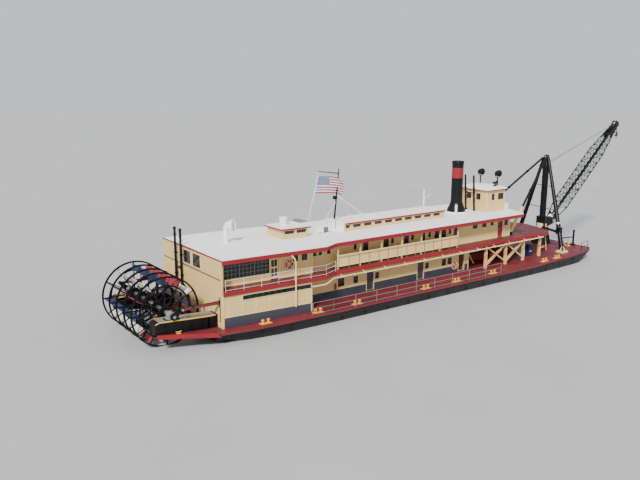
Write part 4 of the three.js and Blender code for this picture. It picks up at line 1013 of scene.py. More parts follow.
def upright_boards(wall, x0, x1, pitch, thick, door_x, windows):
    """An upper storey's side: battens, base and head boards, corner posts and the door's frame."""
    low, top = UPPER_DECK + 0.01, UPPER_TOP
    door = door_opening(door_x, UPPER_SILL)
    holes = [(x, z - 0.06, w + 0.1, h + 0.14) for x, z, w, h in windows + [door]]
    wall.battens(x0 + 0.06, x1 - 0.06, low, top, pitch, 0.04, holes, BOARD, thick)
    for a, b in ((x0, door_x - 0.48), (door_x + 0.48, x1)):
        wall.box(a, b, low, low + 0.1, -0.01, 0.03, TRIM)
    wall.box(x0, x1, top - 0.08, top - 0.004, -0.01, 0.03, TRIM)
    corners(wall, x0, x1, low, top)
    door_frame(wall, *door)


def engine_room_trim(name, side):
    """Engine room side: slate wainscot, smooth boards, and a long louvre under the deck's edge."""
    form = Form()
    wall = Wall(form, side, side * DECKHOUSE_SIDE)
    x0, x1 = 0.02, ENGINE_ROOM_END + 0.11
    low, high = WAINSCOT[0][1] - 0.1, WAINSCOT[1][1]
    for paint, thick, under, over in ((SLATE_TRIM, 0.028, None, 0), (TRIM, 0.05, 0, 0.06)):
        rings = []
        for x, edge in ((x0, low), (x1, high)):
            lift = rise(HOUSE_SHEER, x)
            foot = 0.01 if under is None else edge + under
            inner, outer = wall.face - side * 0.01, wall.face + side * thick
            rings.append(section(x, inner, outer, lift + foot, lift + edge + over))
        form.loft(rings, paint)
    wall.battens(x0 + 0.5, x1 - 0.4, high + 0.12, 2.42, 1.24, 0.07, LOUVRES + [LOUVRE_BAND], TRIM, 0.022)
    corners(wall, x0, x1, 0.01, LOWER_TOP - 0.02)
    wall.box(x0, x1, 0.012, 0.1, -0.01, 0.045, SLATE_TRIM)
    x, z, w, h = LOUVRE_BAND
    a, b, edge = x - w / 2, x + w / 2, 0.04
    # A sheet of dark glass behind the louvre: painted shade in the opening.
    wall.box(a, b, z, z + h, -0.008, 0.006, PANE)
    wall.box(LOUVRES[0][0] - LOUVRES[0][2] / 2 - 0.03, a, z - edge, z + h + edge, -0.01, 0.012, BOARD)
    for u0, u1, v0, v1 in ((a - edge, b + edge, z - edge, z), (a - edge, b + edge, z + h, z + h + edge),
                           (a - edge, a, z, z + h), (b, b + edge, z, z + h)):
        wall.box(u0, u1, v0, v1, -0.01, 0.05, TRIM)
    # The blades in the same dark glass: painted shade in the opening.
    louvre_blades(Wall(form, side, side * (DECKHOUSE_SIDE + 0.05)), x, z, w, h, 6, PANE)
    for u in even(a, b, 12)[1:-1]:
        wall.box(u - 0.012, u + 0.012, z, z + h, 0.0, 0.047, SLATE_TRIM)
    form.piece(f"engine_room_trim_{name}", "boat", "cream_paint", *WALL_PAINTS)


def louvre_blades(wall, x, z, wide, high, count, paint):
    """Slanted blades across an opening in a wall along the boat."""
    pitch = high / count
    for i in range(count):
        low = z + pitch * (i + 0.15)
        rings = []
        for u in knots(wall.line, x - wide / 2, x + wide / 2):
            lift = rise(wall.line, u)
            shape = [(-0.005, low), (-0.005, low + 0.014), (-0.075, low + pitch * 0.85 + 0.014),
                       (-0.075, low + pitch * 0.85)]
            rings.append([(u, wall.face + wall.out * n, v + lift) for n, v in shape])
        wall.form.loft(rings, paint)


def lower_cabin_trim(name, side):
    """Lower cabin side: slate wainscot under level boards, windows with casings, door frames."""
    form = Form()
    wall = Wall(form, side, side * LOWER_SIDE)
    x0, x1 = ENGINE_ROOM_END + 0.13, LOWER_CABIN_END + 0.11
    doors = [door_opening(x, LOWER_SILL) for x in LOWER_DOORS] + [LOWER_PASSAGE]
    holes = LOWER_WINDOWS + doors
    rail = 0.72
    framed = [(x, z - 0.06, w + 0.15, h + 0.14) for x, z, w, h in holes]
    for a, b in spans(x0, x1, [(x - w / 2 - 0.07, x + w / 2 + 0.07) for x, _, w, _ in doors]):
        wall.box(a, b, 0.01, rail, -0.01, 0.022, SLATE_TRIM)
        wall.box(a, b, rail, rail + 0.05, -0.01, 0.045, TRIM)
        wall.battens(a + 0.1, b - 0.1, 0.1, rail, 0.62, 0.06, [], SLATE_TRIM, 0.036)
        wall.box(a, b, 0.01, 0.1, -0.01, 0.04, SLATE_TRIM)
    wall.clapboards(x0, x1, rail + 0.05, LOWER_TOP - 0.06, 0.13, framed, BOARD)
    wall.box(x0, x1, LOWER_TOP - 0.07, LOWER_TOP - 0.004, -0.01, 0.045, TRIM)
    corners(wall, x0, x1, 0.01, LOWER_TOP - 0.06, 0.12)
    for x, z, w, h in LOWER_WINDOWS:
        wall.casing(x, z, w, h)
        wall.sash(x, z, w, h, mullions=int(w >= 0.6), rails=1)
    for x, z, w, h in doors:
        door_frame(wall, x, z, w, h)
    form.piece(f"lower_cabin_trim_{name}", "boat", "cream_paint", *WALL_PAINTS)


def door_frame(wall, x, z, wide, high):
    """Posts and head round a doorway, with a sill plate."""
    trim = 0.065
    l, r, t = x - wide / 2, x + wide / 2, z + high
    wall.box(l - trim, l - 0.002, z - 0.08, t + 0.004, -0.02, 0.04, TRIM)
    wall.box(r + 0.002, r + trim, z - 0.08, t + 0.004, -0.02, 0.04, TRIM)
    wall.box(l - trim - 0.015, r + trim + 0.015, t + 0.002, t + trim, -0.02, 0.05, TRIM)
    wall.box(l - 0.01, r + 0.01, z - 0.075, z - 0.012, -0.1, 0.055, SLATE_TRIM)


def gallery_trim(name, side):
    """Gallery side: upright boards, a long gridded screen, two windows and the door's frame."""
    form = Form()
    wall = Wall(form, side, side * UPPER_SIDE_AFT)
    upright_boards(wall, WALL + 0.01, UPPER_CABIN_SPLIT + 0.11, 0.21, 0.012, GALLERY_DOOR,
                   GALLERY_WINDOWS + [GALLERY_SCREEN])
    x, z, w, h = GALLERY_SCREEN
    a, b = x - w / 2, x + w / 2
    wall.casing(x, z, w, h, 0.03, 0.01)
    # Dark glass behind the screen's grid: painted shade for the room behind.
    wall.box(a - 0.01, b + 0.01, z - 0.01, z + h + 0.01, -0.1, -0.09, PANE)
    for count, half, n0, n1 in ((13, 0.02, -0.06, -0.03), (4, 0.03, -0.09, 0.0)):
        for u in even(a, b, count)[1:-1]:
            wall.box(u - half, u + half, z, z + h, n0, n1, PALE_TRIM)
    for v in even(z, z + h, 5)[1:-1]:
        wall.box(a, b, v - 0.02, v + 0.02, -0.055, -0.025, PALE_TRIM)
    for window in GALLERY_WINDOWS:
        wall.casing(*window, 0.055)
        wall.sash(*window, mullions=1)
    form.piece(f"gallery_trim_{name}", "boat", "cream_paint", *WALL_PAINTS)


def upper_cabin_trim(name, side):
    """Upper cabin side: upright boards, large windows with a mullion, small ones, the door's frame."""
    form = Form()
    wall = Wall(form, side, side * UPPER_SIDE)
    upright_boards(wall, UPPER_CABIN_SPLIT + 0.13, UPPER_CABIN_END + 0.11, 0.2, 0.016, FORWARD_DOOR,
                   UPPER_WINDOWS)
    for x, z, w, h in UPPER_WINDOWS:
        wall.casing(x, z, w, h, 0.05)
        wall.sash(x, z, w, h, mullions=int(w > 0.45), rails=int(w > 0.6 and h > 0.6))
    form.piece(f"upper_cabin_trim_{name}", "boat", "cream_paint", *WALL_PAINTS)


def front_trim():
    """Fronts of both cabins: boards, windows and the wide doorway of the lower one."""
    form = Form()
    lower = Wall(form, 1, LOWER_CABIN_END + 0.001 + WALL, across=True)
    doorway = (0, LOWER_SILL, 1.8, 1.9)
    lower.clapboards(-LOWER_SIDE + 0.1, LOWER_SIDE - 0.1, 0.77, LOWER_TOP - 0.06, 0.13,
                     [(0, LOWER_SILL - 0.06, 1.96, 2.04)], BOARD)
    for a, b in ((-LOWER_SIDE, -0.97), (0.97, LOWER_SIDE)):
        lower.box(a, b, 0.01, 0.72, -0.01, 0.022, SLATE_TRIM)
        lower.box(a, b, 0.72, 0.77, -0.01, 0.045, TRIM)
    door_frame(lower, *doorway)
    upper = Wall(form, 1, UPPER_CABIN_END + 0.001 + WALL, across=True)
    windows = [clipped(y, 3.75, 0.9, 0.9) for y in (-2.2, 0, 2.2)]
    upper.battens(-UPPER_SIDE + 0.1, UPPER_SIDE - 0.1, UPPER_DECK + 0.01, UPPER_TOP, 0.2, 0.04,
                  [(y, z - 0.06, w + 0.1, h + 0.14) for y, z, w, h in windows], BOARD, 0.016)
    for window in windows:
        upper.casing(*window)
        upper.sash(*window, mullions=1, rails=1)
    bulkhead = Wall(form, -1, UPPER_CABIN_SPLIT + 0.001, across=True)
    door_frame(bulkhead, 0, UPPER_SILL, 0.9, 1.77)
    engine = Wall(form, 1, ENGINE_ROOM_END + 0.001 + WALL, across=True)
    for side in (-1, 1):
        a, b = sorted([side * (LOWER_SIDE + 0.05), side * (DECKHOUSE_SIDE - 0.02)])
        engine.clapboards(a, b, 0.77, LOWER_TOP - 0.02, 0.13, [], BOARD)
        engine.box(a, b, 0.01, 0.72, -0.01, 0.022, SLATE_TRIM)
        engine.box(a, b, 0.72, 0.77, -0.01, 0.045, TRIM)
    form.piece("front_trim", "boat", "cream_paint", *WALL_PAINTS)


# Doors

def door(name, body, x, y, floor, leaf_paint, panel_paint, glazed):
    """A panelled door leaf with rails and stiles, knob and hinges, in place of the plain one."""
    form = Form()
    side = 1 if y > 0 else -1
    half = DOOR_WIDE / 2 - 0.017
    z0 = floor + rise(HOUSE_SHEER, x) + 0.022
    z1 = z0 + DOOR_HIGH - 0.044
    outer, inner = y - side * 0.022, y - side * (WALL - 0.022)

    def part(u0, u1, v0, v1, n0, n1, paint=0):
        a, b = sorted([n0, n1])
        form.block(u0, u1, a, b, v0, v1, paint, LEVEL)

    middle = z0 + 0.86
    stile = 0.11
    for u0, u1 in ((x - half, x - half + stile), (x + half - stile, x + half)):
        part(u0, u1, z0, z1, inner, outer)
    for v0, v1 in ((z0, z0 + 0.16), (middle - 0.07, middle + 0.07), (z1 - 0.11, z1)):
        part(x - half + stile, x + half - stile, v0, v1, inner, outer)
    part(x - 0.04, x + 0.04, z0 + 0.16, middle - 0.07, inner, outer)
    back, front = inner + side * 0.02, outer - side * 0.02
    part(x - half + stile - 0.01, x + half - stile + 0.01, z0 + 0.15, middle - 0.06, back, front, 1)
    part(x - half + stile - 0.01, x + half - stile + 0.01, middle + 0.06, z1 - 0.1, back, front,
         2 if glazed else 1)
    if glazed:
        part(x - 0.015, x + 0.015, middle + 0.07, z1 - 0.11, inner, outer)
    knob = (x - half + 0.055, outer, z0 + 0.82)
    for out in (side, -side):
        base = (knob[0], outer if out == side else inner, knob[2])
        form.turned([(0.028, 0), (0.028, 0.006), (0.01, 0.008)], base, (0, out, 0), 12, 3)
    for z in (z0 + 0.2, z0 + 0.8, z1 - 0.2):
        form.rod((x + half - 0.006, outer - side * 0.004, z - 0.05),
                 (x + half - 0.006, outer - side * 0.004, z + 0.05), 0.011, 8, paint=3)
    leaf = form.piece(name + "_leaf", body, "grey_paint", leaf_paint, panel_paint, GLASS, BRASS)
    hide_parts(name)


def doors():
    """The eight hinged doors: two pairs below, a pair in the gallery and a red pair forward."""
    for name, side in SIDES:
        for i, x in enumerate(LOWER_DOORS):
            node = f"lower_door_{name}_{i + 1}"
            door(node, node, x, side * LOWER_SIDE, LOWER_SILL, SLATE_PAINT, SLATE_PAINT, False)
        node = f"gallery_door_{name}"
        door(node, node, GALLERY_DOOR, side * UPPER_SIDE_AFT, UPPER_SILL, CREAM_TRIM, SLATE_PAINT, True)
        node = f"upper_door_{name}"
        door(node, node, FORWARD_DOOR, side * UPPER_SIDE, UPPER_SILL, RED_PAINT, RED_PAINT, True)


# Paddle wheel and what drives it

WHEEL = {"x": -3.56, "z": 1.63, "radius": 2.68, "half": 3.0, "arms": 12, "frames": 5}
RIM_HALF = 0.06
INNER_RIM = 1.96
SHAFT_RADIUS = 0.17
CRANK_RADIUS = 0.75
CRANK_Y = 4.56
CRANK_ANGLE = {"port": math.pi * 0.75, "starboard": math.pi * 0.25}
PITMAN_Y = 4.79
PITMAN_LENGTH = 6


def on_wheel(radius, angle, y, shift=0.0):
    """A point at a radius and an angle about the wheel's axis, moved sideways by shift."""
    return (WHEEL["x"] + radius * math.cos(angle) - shift * math.sin(angle), y,
            WHEEL["z"] + radius * math.sin(angle) + shift * math.cos(angle))


def paddle_wheel():
    """Five frames of hub, arms and rims, with boards in blue, white and red across them."""
    form = Form()
    iron, blue, white, red = range(4)
    x, z = WHEEL["x"], WHEEL["z"]
    step = 2 * math.pi / WHEEL["arms"]
    frames = even(-WHEEL["half"], WHEEL["half"], WHEEL["frames"])
    outer_rim = WHEEL["radius"] - RIM_HALF
    for f, y in enumerate(frames):
        rims = (outer_rim,) if f % 2 else (outer_rim, INNER_RIM)
        form.turned([(SHAFT_RADIUS + 0.004, -0.14), (0.27, -0.14), (0.27, -0.07), (0.47, -0.06),
                     (0.47, 0.06), (0.27, 0.07), (0.27, 0.14), (SHAFT_RADIUS + 0.004, 0.14)],
                    (x, y, z), PORT, 36, iron, closed=True)
        for radius in rims:
            for dy in (-0.055, 0.055):
                form.ring((x, y + dy, z), PORT, radius + RIM_HALF, radius - RIM_HALF, 0.018, 72,
                          iron)
        for a in range(WHEEL["arms"]):
            angle = a * step
            form.bar(on_wheel(0.28, angle, y), on_wheel(2.66, angle, y), 0.09, 0.075, iron)
            for radius in (0.36, 0.43) + rims:
                p = on_wheel(radius, angle, y)
                form.rod((p[0], y - 0.08, p[2]), (p[0], y + 0.08, p[2]), 0.018, 6, paint=iron)
    half = WHEEL["half"] + 0.05
    for a in range(WHEEL["arms"]):
        angle = a * step
        paint = (blue, white, red)[a % 3]
        for r0, r1 in ((1.95, 2.218), (2.228, 2.5)):
            ring = [on_wheel(r0, angle, 0, 0.042), on_wheel(r1, angle, 0, 0.042),
                    on_wheel(r1, angle, 0, 0.085), on_wheel(r0, angle, 0, 0.085)]
            form.extrude([(x, z) for x, _, z in ring], -half, half, paint)
        for y in frames:
            for radius in (2.02, 2.15, 2.3, 2.43):
                form.rod(on_wheel(radius, angle, y, 0.08), on_wheel(radius, angle, y, 0.1), 0.022, 6,
                         paint=iron)
            form.bar(on_wheel(1.97, angle, y, 0.088), on_wheel(2.48, angle, y, 0.088), 0.055, 0.012, iron)
    wheel = form.piece("paddle_wheel_built", "paddle_wheel", "black_paint", BLACK_PAINT, BLUE_BOARD,
                       WHITE_BOARD, RED_BOARD)
    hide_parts("paddle_wheel")


def wheel_shaft():
    """Shaft with collars at the frames and bearings, and a crank with its pin on each end."""
    form = Form()
    steel, iron = range(2)
    x, z = WHEEL["x"], WHEEL["z"]
    r = SHAFT_RADIUS
    profile = [(r * 0.6, -4.66), (r * 0.9, -4.63)]
    for y in (-3.9, -3.2, -2.25, -0.75, 0.75, 2.25, 3.2, 3.9):
        profile += band(r, y, 0.05, 0.012)
    profile += [(r * 0.9, 4.63), (r * 0.6, 4.66)]
    form.turned(profile, (x, 0, z), PORT, 28, steel)
    for name, side in SIDES:
        angle = CRANK_ANGLE[name]
        web = []
        for radius, wide in ((-0.26, 0.1), (-0.2, 0.19), (0, 0.27), (0.25, 0.2), (0.5, 0.16),
                             (CRANK_RADIUS, 0.17), (CRANK_RADIUS + 0.1, 0.13), (CRANK_RADIUS + 0.15, 0.07)):
            web.append([on_wheel(radius, angle, side * (CRANK_Y + 0.06), -wide),
                        on_wheel(radius, angle, side * (CRANK_Y + 0.06), wide),
                        on_wheel(radius, angle, side * (CRANK_Y - 0.06), wide),
                        on_wheel(radius, angle, side * (CRANK_Y - 0.06), -wide)])
        form.loft(web, iron)
        pin = on_wheel(CRANK_RADIUS, angle, side * CRANK_Y)
        form.turned([(0.11, 0.04), (0.11, 0.075), (0.07, 0.08), (0.07, 0.36), (0.1, 0.36), (0.1, 0.385),
                     (0.03, 0.39)], pin, (0, side, 0), 16, steel)
        form.turned([(0.24, 0.05), (0.24, 0.075), (0.2, 0.085), (0.12, 0.09)], (x, side * CRANK_Y, z),
                    (0, side, 0), 24, iron)
    shaft = form.piece("wheel_shaft_built", "paddle_wheel", "steel", STEEL, BLACK_PAINT)
    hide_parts("wheel_shaft")


def pitman(name, side):
    """Timber pitman between iron straps, with bolts and bands, and a strapped brass at the crank."""
    form = Form()
    wood, iron, brass, steel = range(4)
    px, _, pz = on_wheel(CRANK_RADIUS, CRANK_ANGLE[name], 0)
    y = side * PITMAN_Y
    end = px + PITMAN_LENGTH
    form.turned([(0.088, -0.1), (0.16, -0.1), (0.165, -0.09), (0.165, 0.09), (0.16, 0.1), (0.088, 0.1)],
                (px, y, pz), PORT, 28, iron, closed=True)
    form.ring((px, y, pz), PORT, 0.1, 0.076, 0.216, 24, brass)
    form.loft([section(x, y - w, y + w, pz - h, pz + h)
               for x, w, h in ((px + 0.15, 0.07, 0.075), (px + 0.6, 0.07, 0.08), (px + 3, 0.075, 0.115),
                               (end - 0.6, 0.07, 0.085), (end - 0.02, 0.07, 0.08))], wood)
    for s in (-1, 1):
        form.loft([section(x, y - 0.06, y + 0.06, pz + s * h, pz + s * (h + 0.018))
                   for x, h in ((px + 0.12, 0.078), (px + 0.6, 0.08), (px + 3, 0.115), (end - 0.6, 0.085),
                                (end - 0.05, 0.08))], iron)
    for x in (px + 0.3, px + 0.55, px + 1.4, px + 2.3, px + 3.6, px + 4.6, end - 0.55, end - 0.3):
        form.rod((x, y, pz - 0.135), (x, y, pz + 0.135), 0.022, 6, paint=steel)
    for x in (px + 0.85, px + 3, end - 0.9):
        deep = 0.125 if x == px + 3 else 0.1
        form.loft([section(x + dx, y - 0.09, y + 0.09, pz - deep - 0.02, pz + deep + 0.02)
                   for dx in (-0.05, 0.05)], iron)
    rod = form.piece(f"pitman_{name}_built", f"pitman_{name}", "black_paint", MAROON_PAINT, BLACK_PAINT,
                     BRASS, STEEL, bevel=0.004)
    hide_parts(f"pitman_{name}")


def wheel_beam(name, side):
    """Plated wheel beam with flanges, stiffeners, a yellow edge line and the shaft's bearing."""
    form = Form()
    black, grey, yellow, steel = range(4)
    inner, outer = side * BEAM["inner"], side * BEAM["outer"]
    wall_top = BEAM["at_wall"] + rise(HOUSE_SHEER, 0)
    stations = [(-0.702, DECK_UNDER, wall_top), (-4.7, BEAM["under_aft"], BEAM["top_aft"]),
                (BEAM["aft"], BEAM["under_aft"] + 0.3, BEAM["top_aft"] - 0.12)]

    def levels(x):
        return at_place(stations[::-1], x)

    form.loft([section(x, inner, outer, u, t) for x, u, t in stations], black)
    form.block(-0.8, -0.002, inner, outer, 0.002, BEAM["at_wall"], black)
    xs = [-0.2] + [x for x, _, _ in stations]
    for y, out in ((inner, -side), (outer, side)):
        top = []
        line = []
        foot = []
        for x in xs:
            low, high = levels(x) if x < -0.7 else (None, BEAM["at_wall"] + rise(HOUSE_SHEER, x))
            top.append(section(x, y - out * 0.02, y + out * 0.05, high - 0.05, high + 0.005))
            line.append(section(x, y + out * 0.045, y + out * 0.062, high - 0.055, high + 0.03))
            if low is not None:
                foot.append(section(x, y - out * 0.02, y + out * 0.05, low - 0.005, low + 0.05))
        form.loft(top, black)
        form.loft(line, yellow)
        form.loft(foot, black)
        for x in (-1.3, -2.1, -2.9, -4.2):
            low, high = levels(x)
            form.loft([[(x - 0.03, y - out * 0.01, z), (x + 0.03, y - out * 0.01, z),
                        (x + 0.03, y + out * 0.045, z), (x - 0.03, y + out * 0.045, z)]
                       for z in (low + 0.04, high - 0.04)], black)
            for dx in (-0.1, 0.1):
                for z in even(low + 0.14, high - 0.14, 6):
                    form.rod((x + dx, y, z), (x + dx, y + out * 0.016, z), 0.018, 6, paint=black)
    plate = []
    for x in xs[:-1]:
        _, high = levels(x) if x < -0.7 else (None, BEAM["at_wall"] + rise(HOUSE_SHEER, x))
        plate.append(section(x, inner + side * 0.01, outer - side * 0.01, high - 0.02, high + 0.012))
    form.loft(plate, grey)
    x, z = WHEEL["x"], WHEEL["z"]
    y0, y1 = sorted([side * (BEAM["inner"] + 0.25), side * (BEAM["outer"] - 0.15)])
    middle = (y0 + y1) / 2
    _, seat = levels(x)
    form.block(x - 0.55, x + 0.55, y0 - 0.04, y1 + 0.04, seat - 0.02, seat + 0.06, black, LEVEL)
    profile = [(0.4, seat + 0.03), (0.4, seat + 0.12), (0.27, seat + 0.2), (0.27, z + 0.1), (0.21, z + 0.2),
               (0.1, z + 0.26)]
    outline = [(x + a, b) for a, b in profile] + [(x - a, b) for a, b in reversed(profile)]
    form.extrude(outline, y0, y1, grey)
    for y in (y0, y1):
        out = -1 if y == y0 else 1
        form.turned([(SHAFT_RADIUS + 0.016, 0), (0.24, 0), (0.24, 0.03), (SHAFT_RADIUS + 0.016, 0.035)],
                    (x, y, z), (0, out, 0), 28, steel, closed=True)
    for dx in (-0.33, 0.33):
        for y in (y0 + 0.1, y1 - 0.1):
            form.rod((x + dx, y, seat + 0.1), (x + dx, y, seat + 0.2), 0.035, 6, paint=steel)
    form.turned([(0.05, 0), (0.05, 0.06), (0.03, 0.08), (0.03, 0.12), (0.045, 0.14), (0.02, 0.16)],
                (x, middle, z + 0.25), UP, 12, steel)
    beam = form.piece(f"wheel_beam_{name}_built", "boat", "grey_paint", BLACK_PAINT, GREY_PAINT,
                      YELLOW_PAINT, STEEL)
    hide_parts(f"wheel_beam_{name}")


def stern_fittings():
    """Yellow cleats on the horns of the deck."""
    form = Form()
    for _, side in SIDES:
        at = Vector((-3.3, side * 4.62, 0.34))
        form.bar(at + Vector((-0.16, 0, 0.02)), at + Vector((0.16, 0, 0.02)), 0.14, 0.05)
        for s in (-1, 1):
            form.rod(at + Vector((s * 0.08, 0, 0)), at + Vector((s * 0.08, 0, 0.14)), 0.03, 10)
            form.tube([at + upward(0.15), at + Vector((s * 0.12, 0, 0.155)),
                       at + Vector((s * 0.24, 0, 0.19))], [0.035, 0.032, 0.018], 10)
    form.piece("stern_cleats", "boat", "yellow_paint", YELLOW_PAINT)


RUDDERS = [("rudder_port", 2.7), ("rudder_center", 0), ("rudder_starboard", -2.7)]


def rudder(name, y):
    """Riveted rudder blade with straps, on its stock, with a tiller head."""
    form = Form()
    iron, steel = range(2)
    aft, fore, top, under, stock = -2.15, -0.62, -0.95, -1.78, -0.86
    form.loft([section(x, y - w, y + w, under, top)
               for x, w in ((aft, 0.014), (stock, 0.03), (fore, 0.02))], iron)
    for z in (under + 0.14, (under + top) / 2, top - 0.14):
        form.loft([section(x, y - w, y + w, z - 0.05, z + 0.05)
                   for x, w in ((aft + 0.15, 0.026), (stock, 0.05), (fore, 0.035))], iron)
        for x in even(aft + 0.3, stock - 0.2, 5):
            form.rod((x, y - 0.05, z), (x, y + 0.05, z), 0.018, 6, paint=iron)
    form.turned([(0.05, under + 0.05), (0.07, under + 0.1), (0.07, 0.3), (0.085, 0.32), (0.085, 0.4),
                 (0.055, 0.44), (0.055, 0.5)], (stock, y, 0), UP, 20, steel)
    form.ring((stock, y, -0.14), UP, 0.12, 0.06, 0.05, 24, iron)
    blade = form.piece(name + "_built", name, "black_paint", HULL, BLACK_PAINT)
    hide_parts(name)


# Engines, boiler and winch

def engine_trim(name, side):
    """Cylinder heads, cylinder bands, a steam chest and a pipe on the engine block."""
    form = Form()
    paint, steel = range(2)
    y = side * 4.59
    for x in (4.1, 6.9):
        form.turned([(0.36, 0), (0.4, 0.01), (0.4, 0.06), (0.34, 0.1), (0.1, 0.13)], (x, y, 1.0),
                    (1 if x > 5 else -1, 0, 0), 28, paint)
    form.rod((4.0, y, 1.0), (7.0, y, 1.0), 0.37, 28, paint=paint)
    form.rod((4.6, y, 1.45), (6.4, y, 1.45), 0.17, 20, paint=paint)
    for x in even(4.3, 6.7, 5):
        form.ring((x, y, 1.0), FORE, 0.385, 0.35, 0.04, 28, steel)
    form.tube([(5.5, y, 1.55), (5.5, y, 2.1), (5.6, y - side * 0.1, 2.25), (5.9, y - side * 0.3, 2.3)],
              0.09, 14, paint)
    form.piece(f"engine_trim_{name}", "boat", "grey_paint", RED_PAINT, STEEL)


BOILER = {"from": 29.6, "to": 33.6, "half": 1.5}


def boiler_built():
    """Horizontal boiler in a lagged drum on saddles, with its furnace front and doors."""
    form = Form()
    lag, iron, steel, red = range(4)
    x0, x1, half = BOILER["from"], BOILER["to"], BOILER["half"]
    form.block(x0 + 0.02, x1 - 0.02, -half + 0.05, half - 0.05, 0.005, 0.95, red)
    for s in (-1, 1):
        y = s * 0.72
        form.turned([(0.3, x0 + 0.12), (0.62, x0 + 0.14), (0.66, x0 + 0.2), (0.66, x1 - 0.2),
                     (0.62, x1 - 0.14), (0.3, x1 - 0.12)], (0, y, 1.5), FORE, 40, lag)
        for x in even(x0 + 0.5, x1 - 0.5, 5):
            form.ring((x, y, 1.5), FORE, 0.675, 0.64, 0.06, 40, steel)
        for x in (x0 + 0.6, x1 - 0.6):
            form.block(x - 0.1, x + 0.1, y - 0.55, y + 0.55, 0.9, 1.1, iron)
        form.block(x1 - 0.03, x1 + 0.02, y - 0.34, y + 0.34, 0.22, 0.8, iron)
        form.rod((x1 + 0.02, y - 0.12, 0.5), (x1 + 0.05, y + 0.12, 0.5), 0.02, 8, paint=steel)
        form.turned([(0.14, 0), (0.14, 0.05), (0.1, 0.06)], (x1 - 0.12, y, 1.5), FORE, 20, iron)
    form.rod((x0 + 0.9, 0, 1.6), (x0 + 0.9, 0, 2.46), 0.34, 24, paint=iron)
    for z in (0.93, 0.04):
        form.block(x0 - 0.01, x1 + 0.01, -half, half, z, z + 0.05, iron)
    form.tube([(x0 + 2.2, -0.7, 2.1), (x0 + 2.2, -0.7, 2.3), (x0 + 2.3, -0.5, 2.4), (x0 + 2.6, 0, 2.42),
               (x0 + 2.8, 0, 2.45)], 0.07, 12, lag)
    boiler = form.piece("boiler_built", "boat", "grey_paint", WHITE_PAINT, BLACK_PAINT, STEEL, RED_PAINT)
    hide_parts("boiler")


WINCH = {"x": 37, "half": 1.6, "drum": 0.5, "z": 1.05}


def winch_built():
    """Two-drum hoisting winch: bed, side frames, drums wound with wire, gears and two levers."""
    form = Form()
    red, wire, steel, iron = range(4)
    x, half, drum, z = WINCH["x"], WINCH["half"], WINCH["drum"], WINCH["z"]
    for s in (-1, 1):
        form.block(x - 1.7, x + 1.7, s * half - s * 0.22, s * half, 0.004, 0.3, red)
        form.block(x + s * 1.7, x + s * 1.5, -half, half, 0.004, 0.28, red)
    form.block(x - 1.5, x + 1.5, -half + 0.2, half - 0.2, 0.1, 0.13, red)
    for s in (-1, 1):
        y0, y1 = sorted([s * (half - 0.33), s * (half - 0.19)])
        outline = [(-1.35, 0.27), (1.35, 0.27), (1.05, z), (0.95, z + 0.18), (0.65, z + 0.18),
                   (0.5, z - 0.2), (-0.5, z - 0.2), (-0.65, z + 0.18), (-0.95, z + 0.18), (-1.05, z)]
        form.extrude([(x + a, b) for a, b in outline], y0, y1, red)
        for dx in (-0.8, 0.8):
            form.turned([(0.24, 0), (0.24, 0.06), (0.18, 0.08), (0.15, 0.12)],
                        (x + dx, s * (half - 0.2), z), (0, s, 0), 20, steel)
    for dx in (-0.8, 0.8):
        form.rod((x + dx, -half + 0.1, z), (x + dx, half - 0.1, z), 0.12, 20, paint=steel)
        for y in (-1.15, 0, 1.15):
            form.turned([(drum + 0.16, -0.035), (drum + 0.16, 0.035), (0.3, 0.05), (0.3, -0.05)],
                        (x + dx, y, z), PORT, 40, red, closed=True)
        for y0, y1 in ((-1.1, -0.05), (0.05, 1.1)):
            turns = 22
            pitch = (y1 - y0) / turns
            profile = [(0.2, y0)]
            for i in range(turns):
                a = y0 + pitch * i
                profile += [(drum - 0.015, a + pitch * 0.08), (drum, a + pitch * 0.5),
                            (drum - 0.015, a + pitch * 0.92)]
            profile.append((0.2, y1))
            form.turned(profile, (x + dx, 0, z), PORT, 28, wire)
    gear_y = half - 0.42
    for dx, radius, teeth in ((-0.8, 0.62, 40), (0.8, 0.62, 40), (0, 0.2, 13)):
        outline = []
        for i in range(teeth):
            for k, r in ((0, radius - 0.05), (0.25, radius - 0.05), (0.35, radius), (0.65, radius),
                         (0.75, radius - 0.05)):
                t = 2 * math.pi * (i + k) / teeth
                outline.append((x + dx + r * math.cos(t), z + r * math.sin(t)))
        form.extrude(outline, gear_y - 0.05, gear_y + 0.03, iron)
    for s in (-1, 1):
        form.rod((x + s * 1.2, 0.6, 0.28), (x + s * 1.35, 0.6, 1.35), 0.03, 10, paint=steel)
        form.ball((x + s * 1.35, 0.6, 1.37), 0.05, steel)
    built = form.piece("winch_built", "boat", "red_paint", RED_PAINT, ROPE, STEEL, BLACK_PAINT)
    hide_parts("winch")


# Derrick

LEG_FEET = {1: (44.97, 3.2), -1: (43, -4.55)}
LEG = {"head_x": 45.3, "head_y": 0.25, "radius": 0.27, "head_radius": 0.175}
STAY_HEAD = (45.18, 0.16)
APEX = 10.45
MAST_TOP = 9.95
STAY_FOOT = (35.4, 3.1)
BOOM_FOOT = (46.7, 2.8)
BOOM_TIP = (59.13, 13.85)
BOOM_LENGTH = math.dist(BOOM_FOOT, BOOM_TIP)
HOOK_PIN = (BOOM_LENGTH + 0.1, -0.4)


def leg_point(side, t):
    """A point of an A-frame leg's middle line, t from 0 at the foot to 1 at the head."""
    x, y = LEG_FEET[side]
    foot = Vector((x, y, rise(DECK_SHEER, x) + 0.15))
    head = Vector((LEG["head_x"], side * LEG["head_y"], APEX))
    return foot.lerp(head, t)


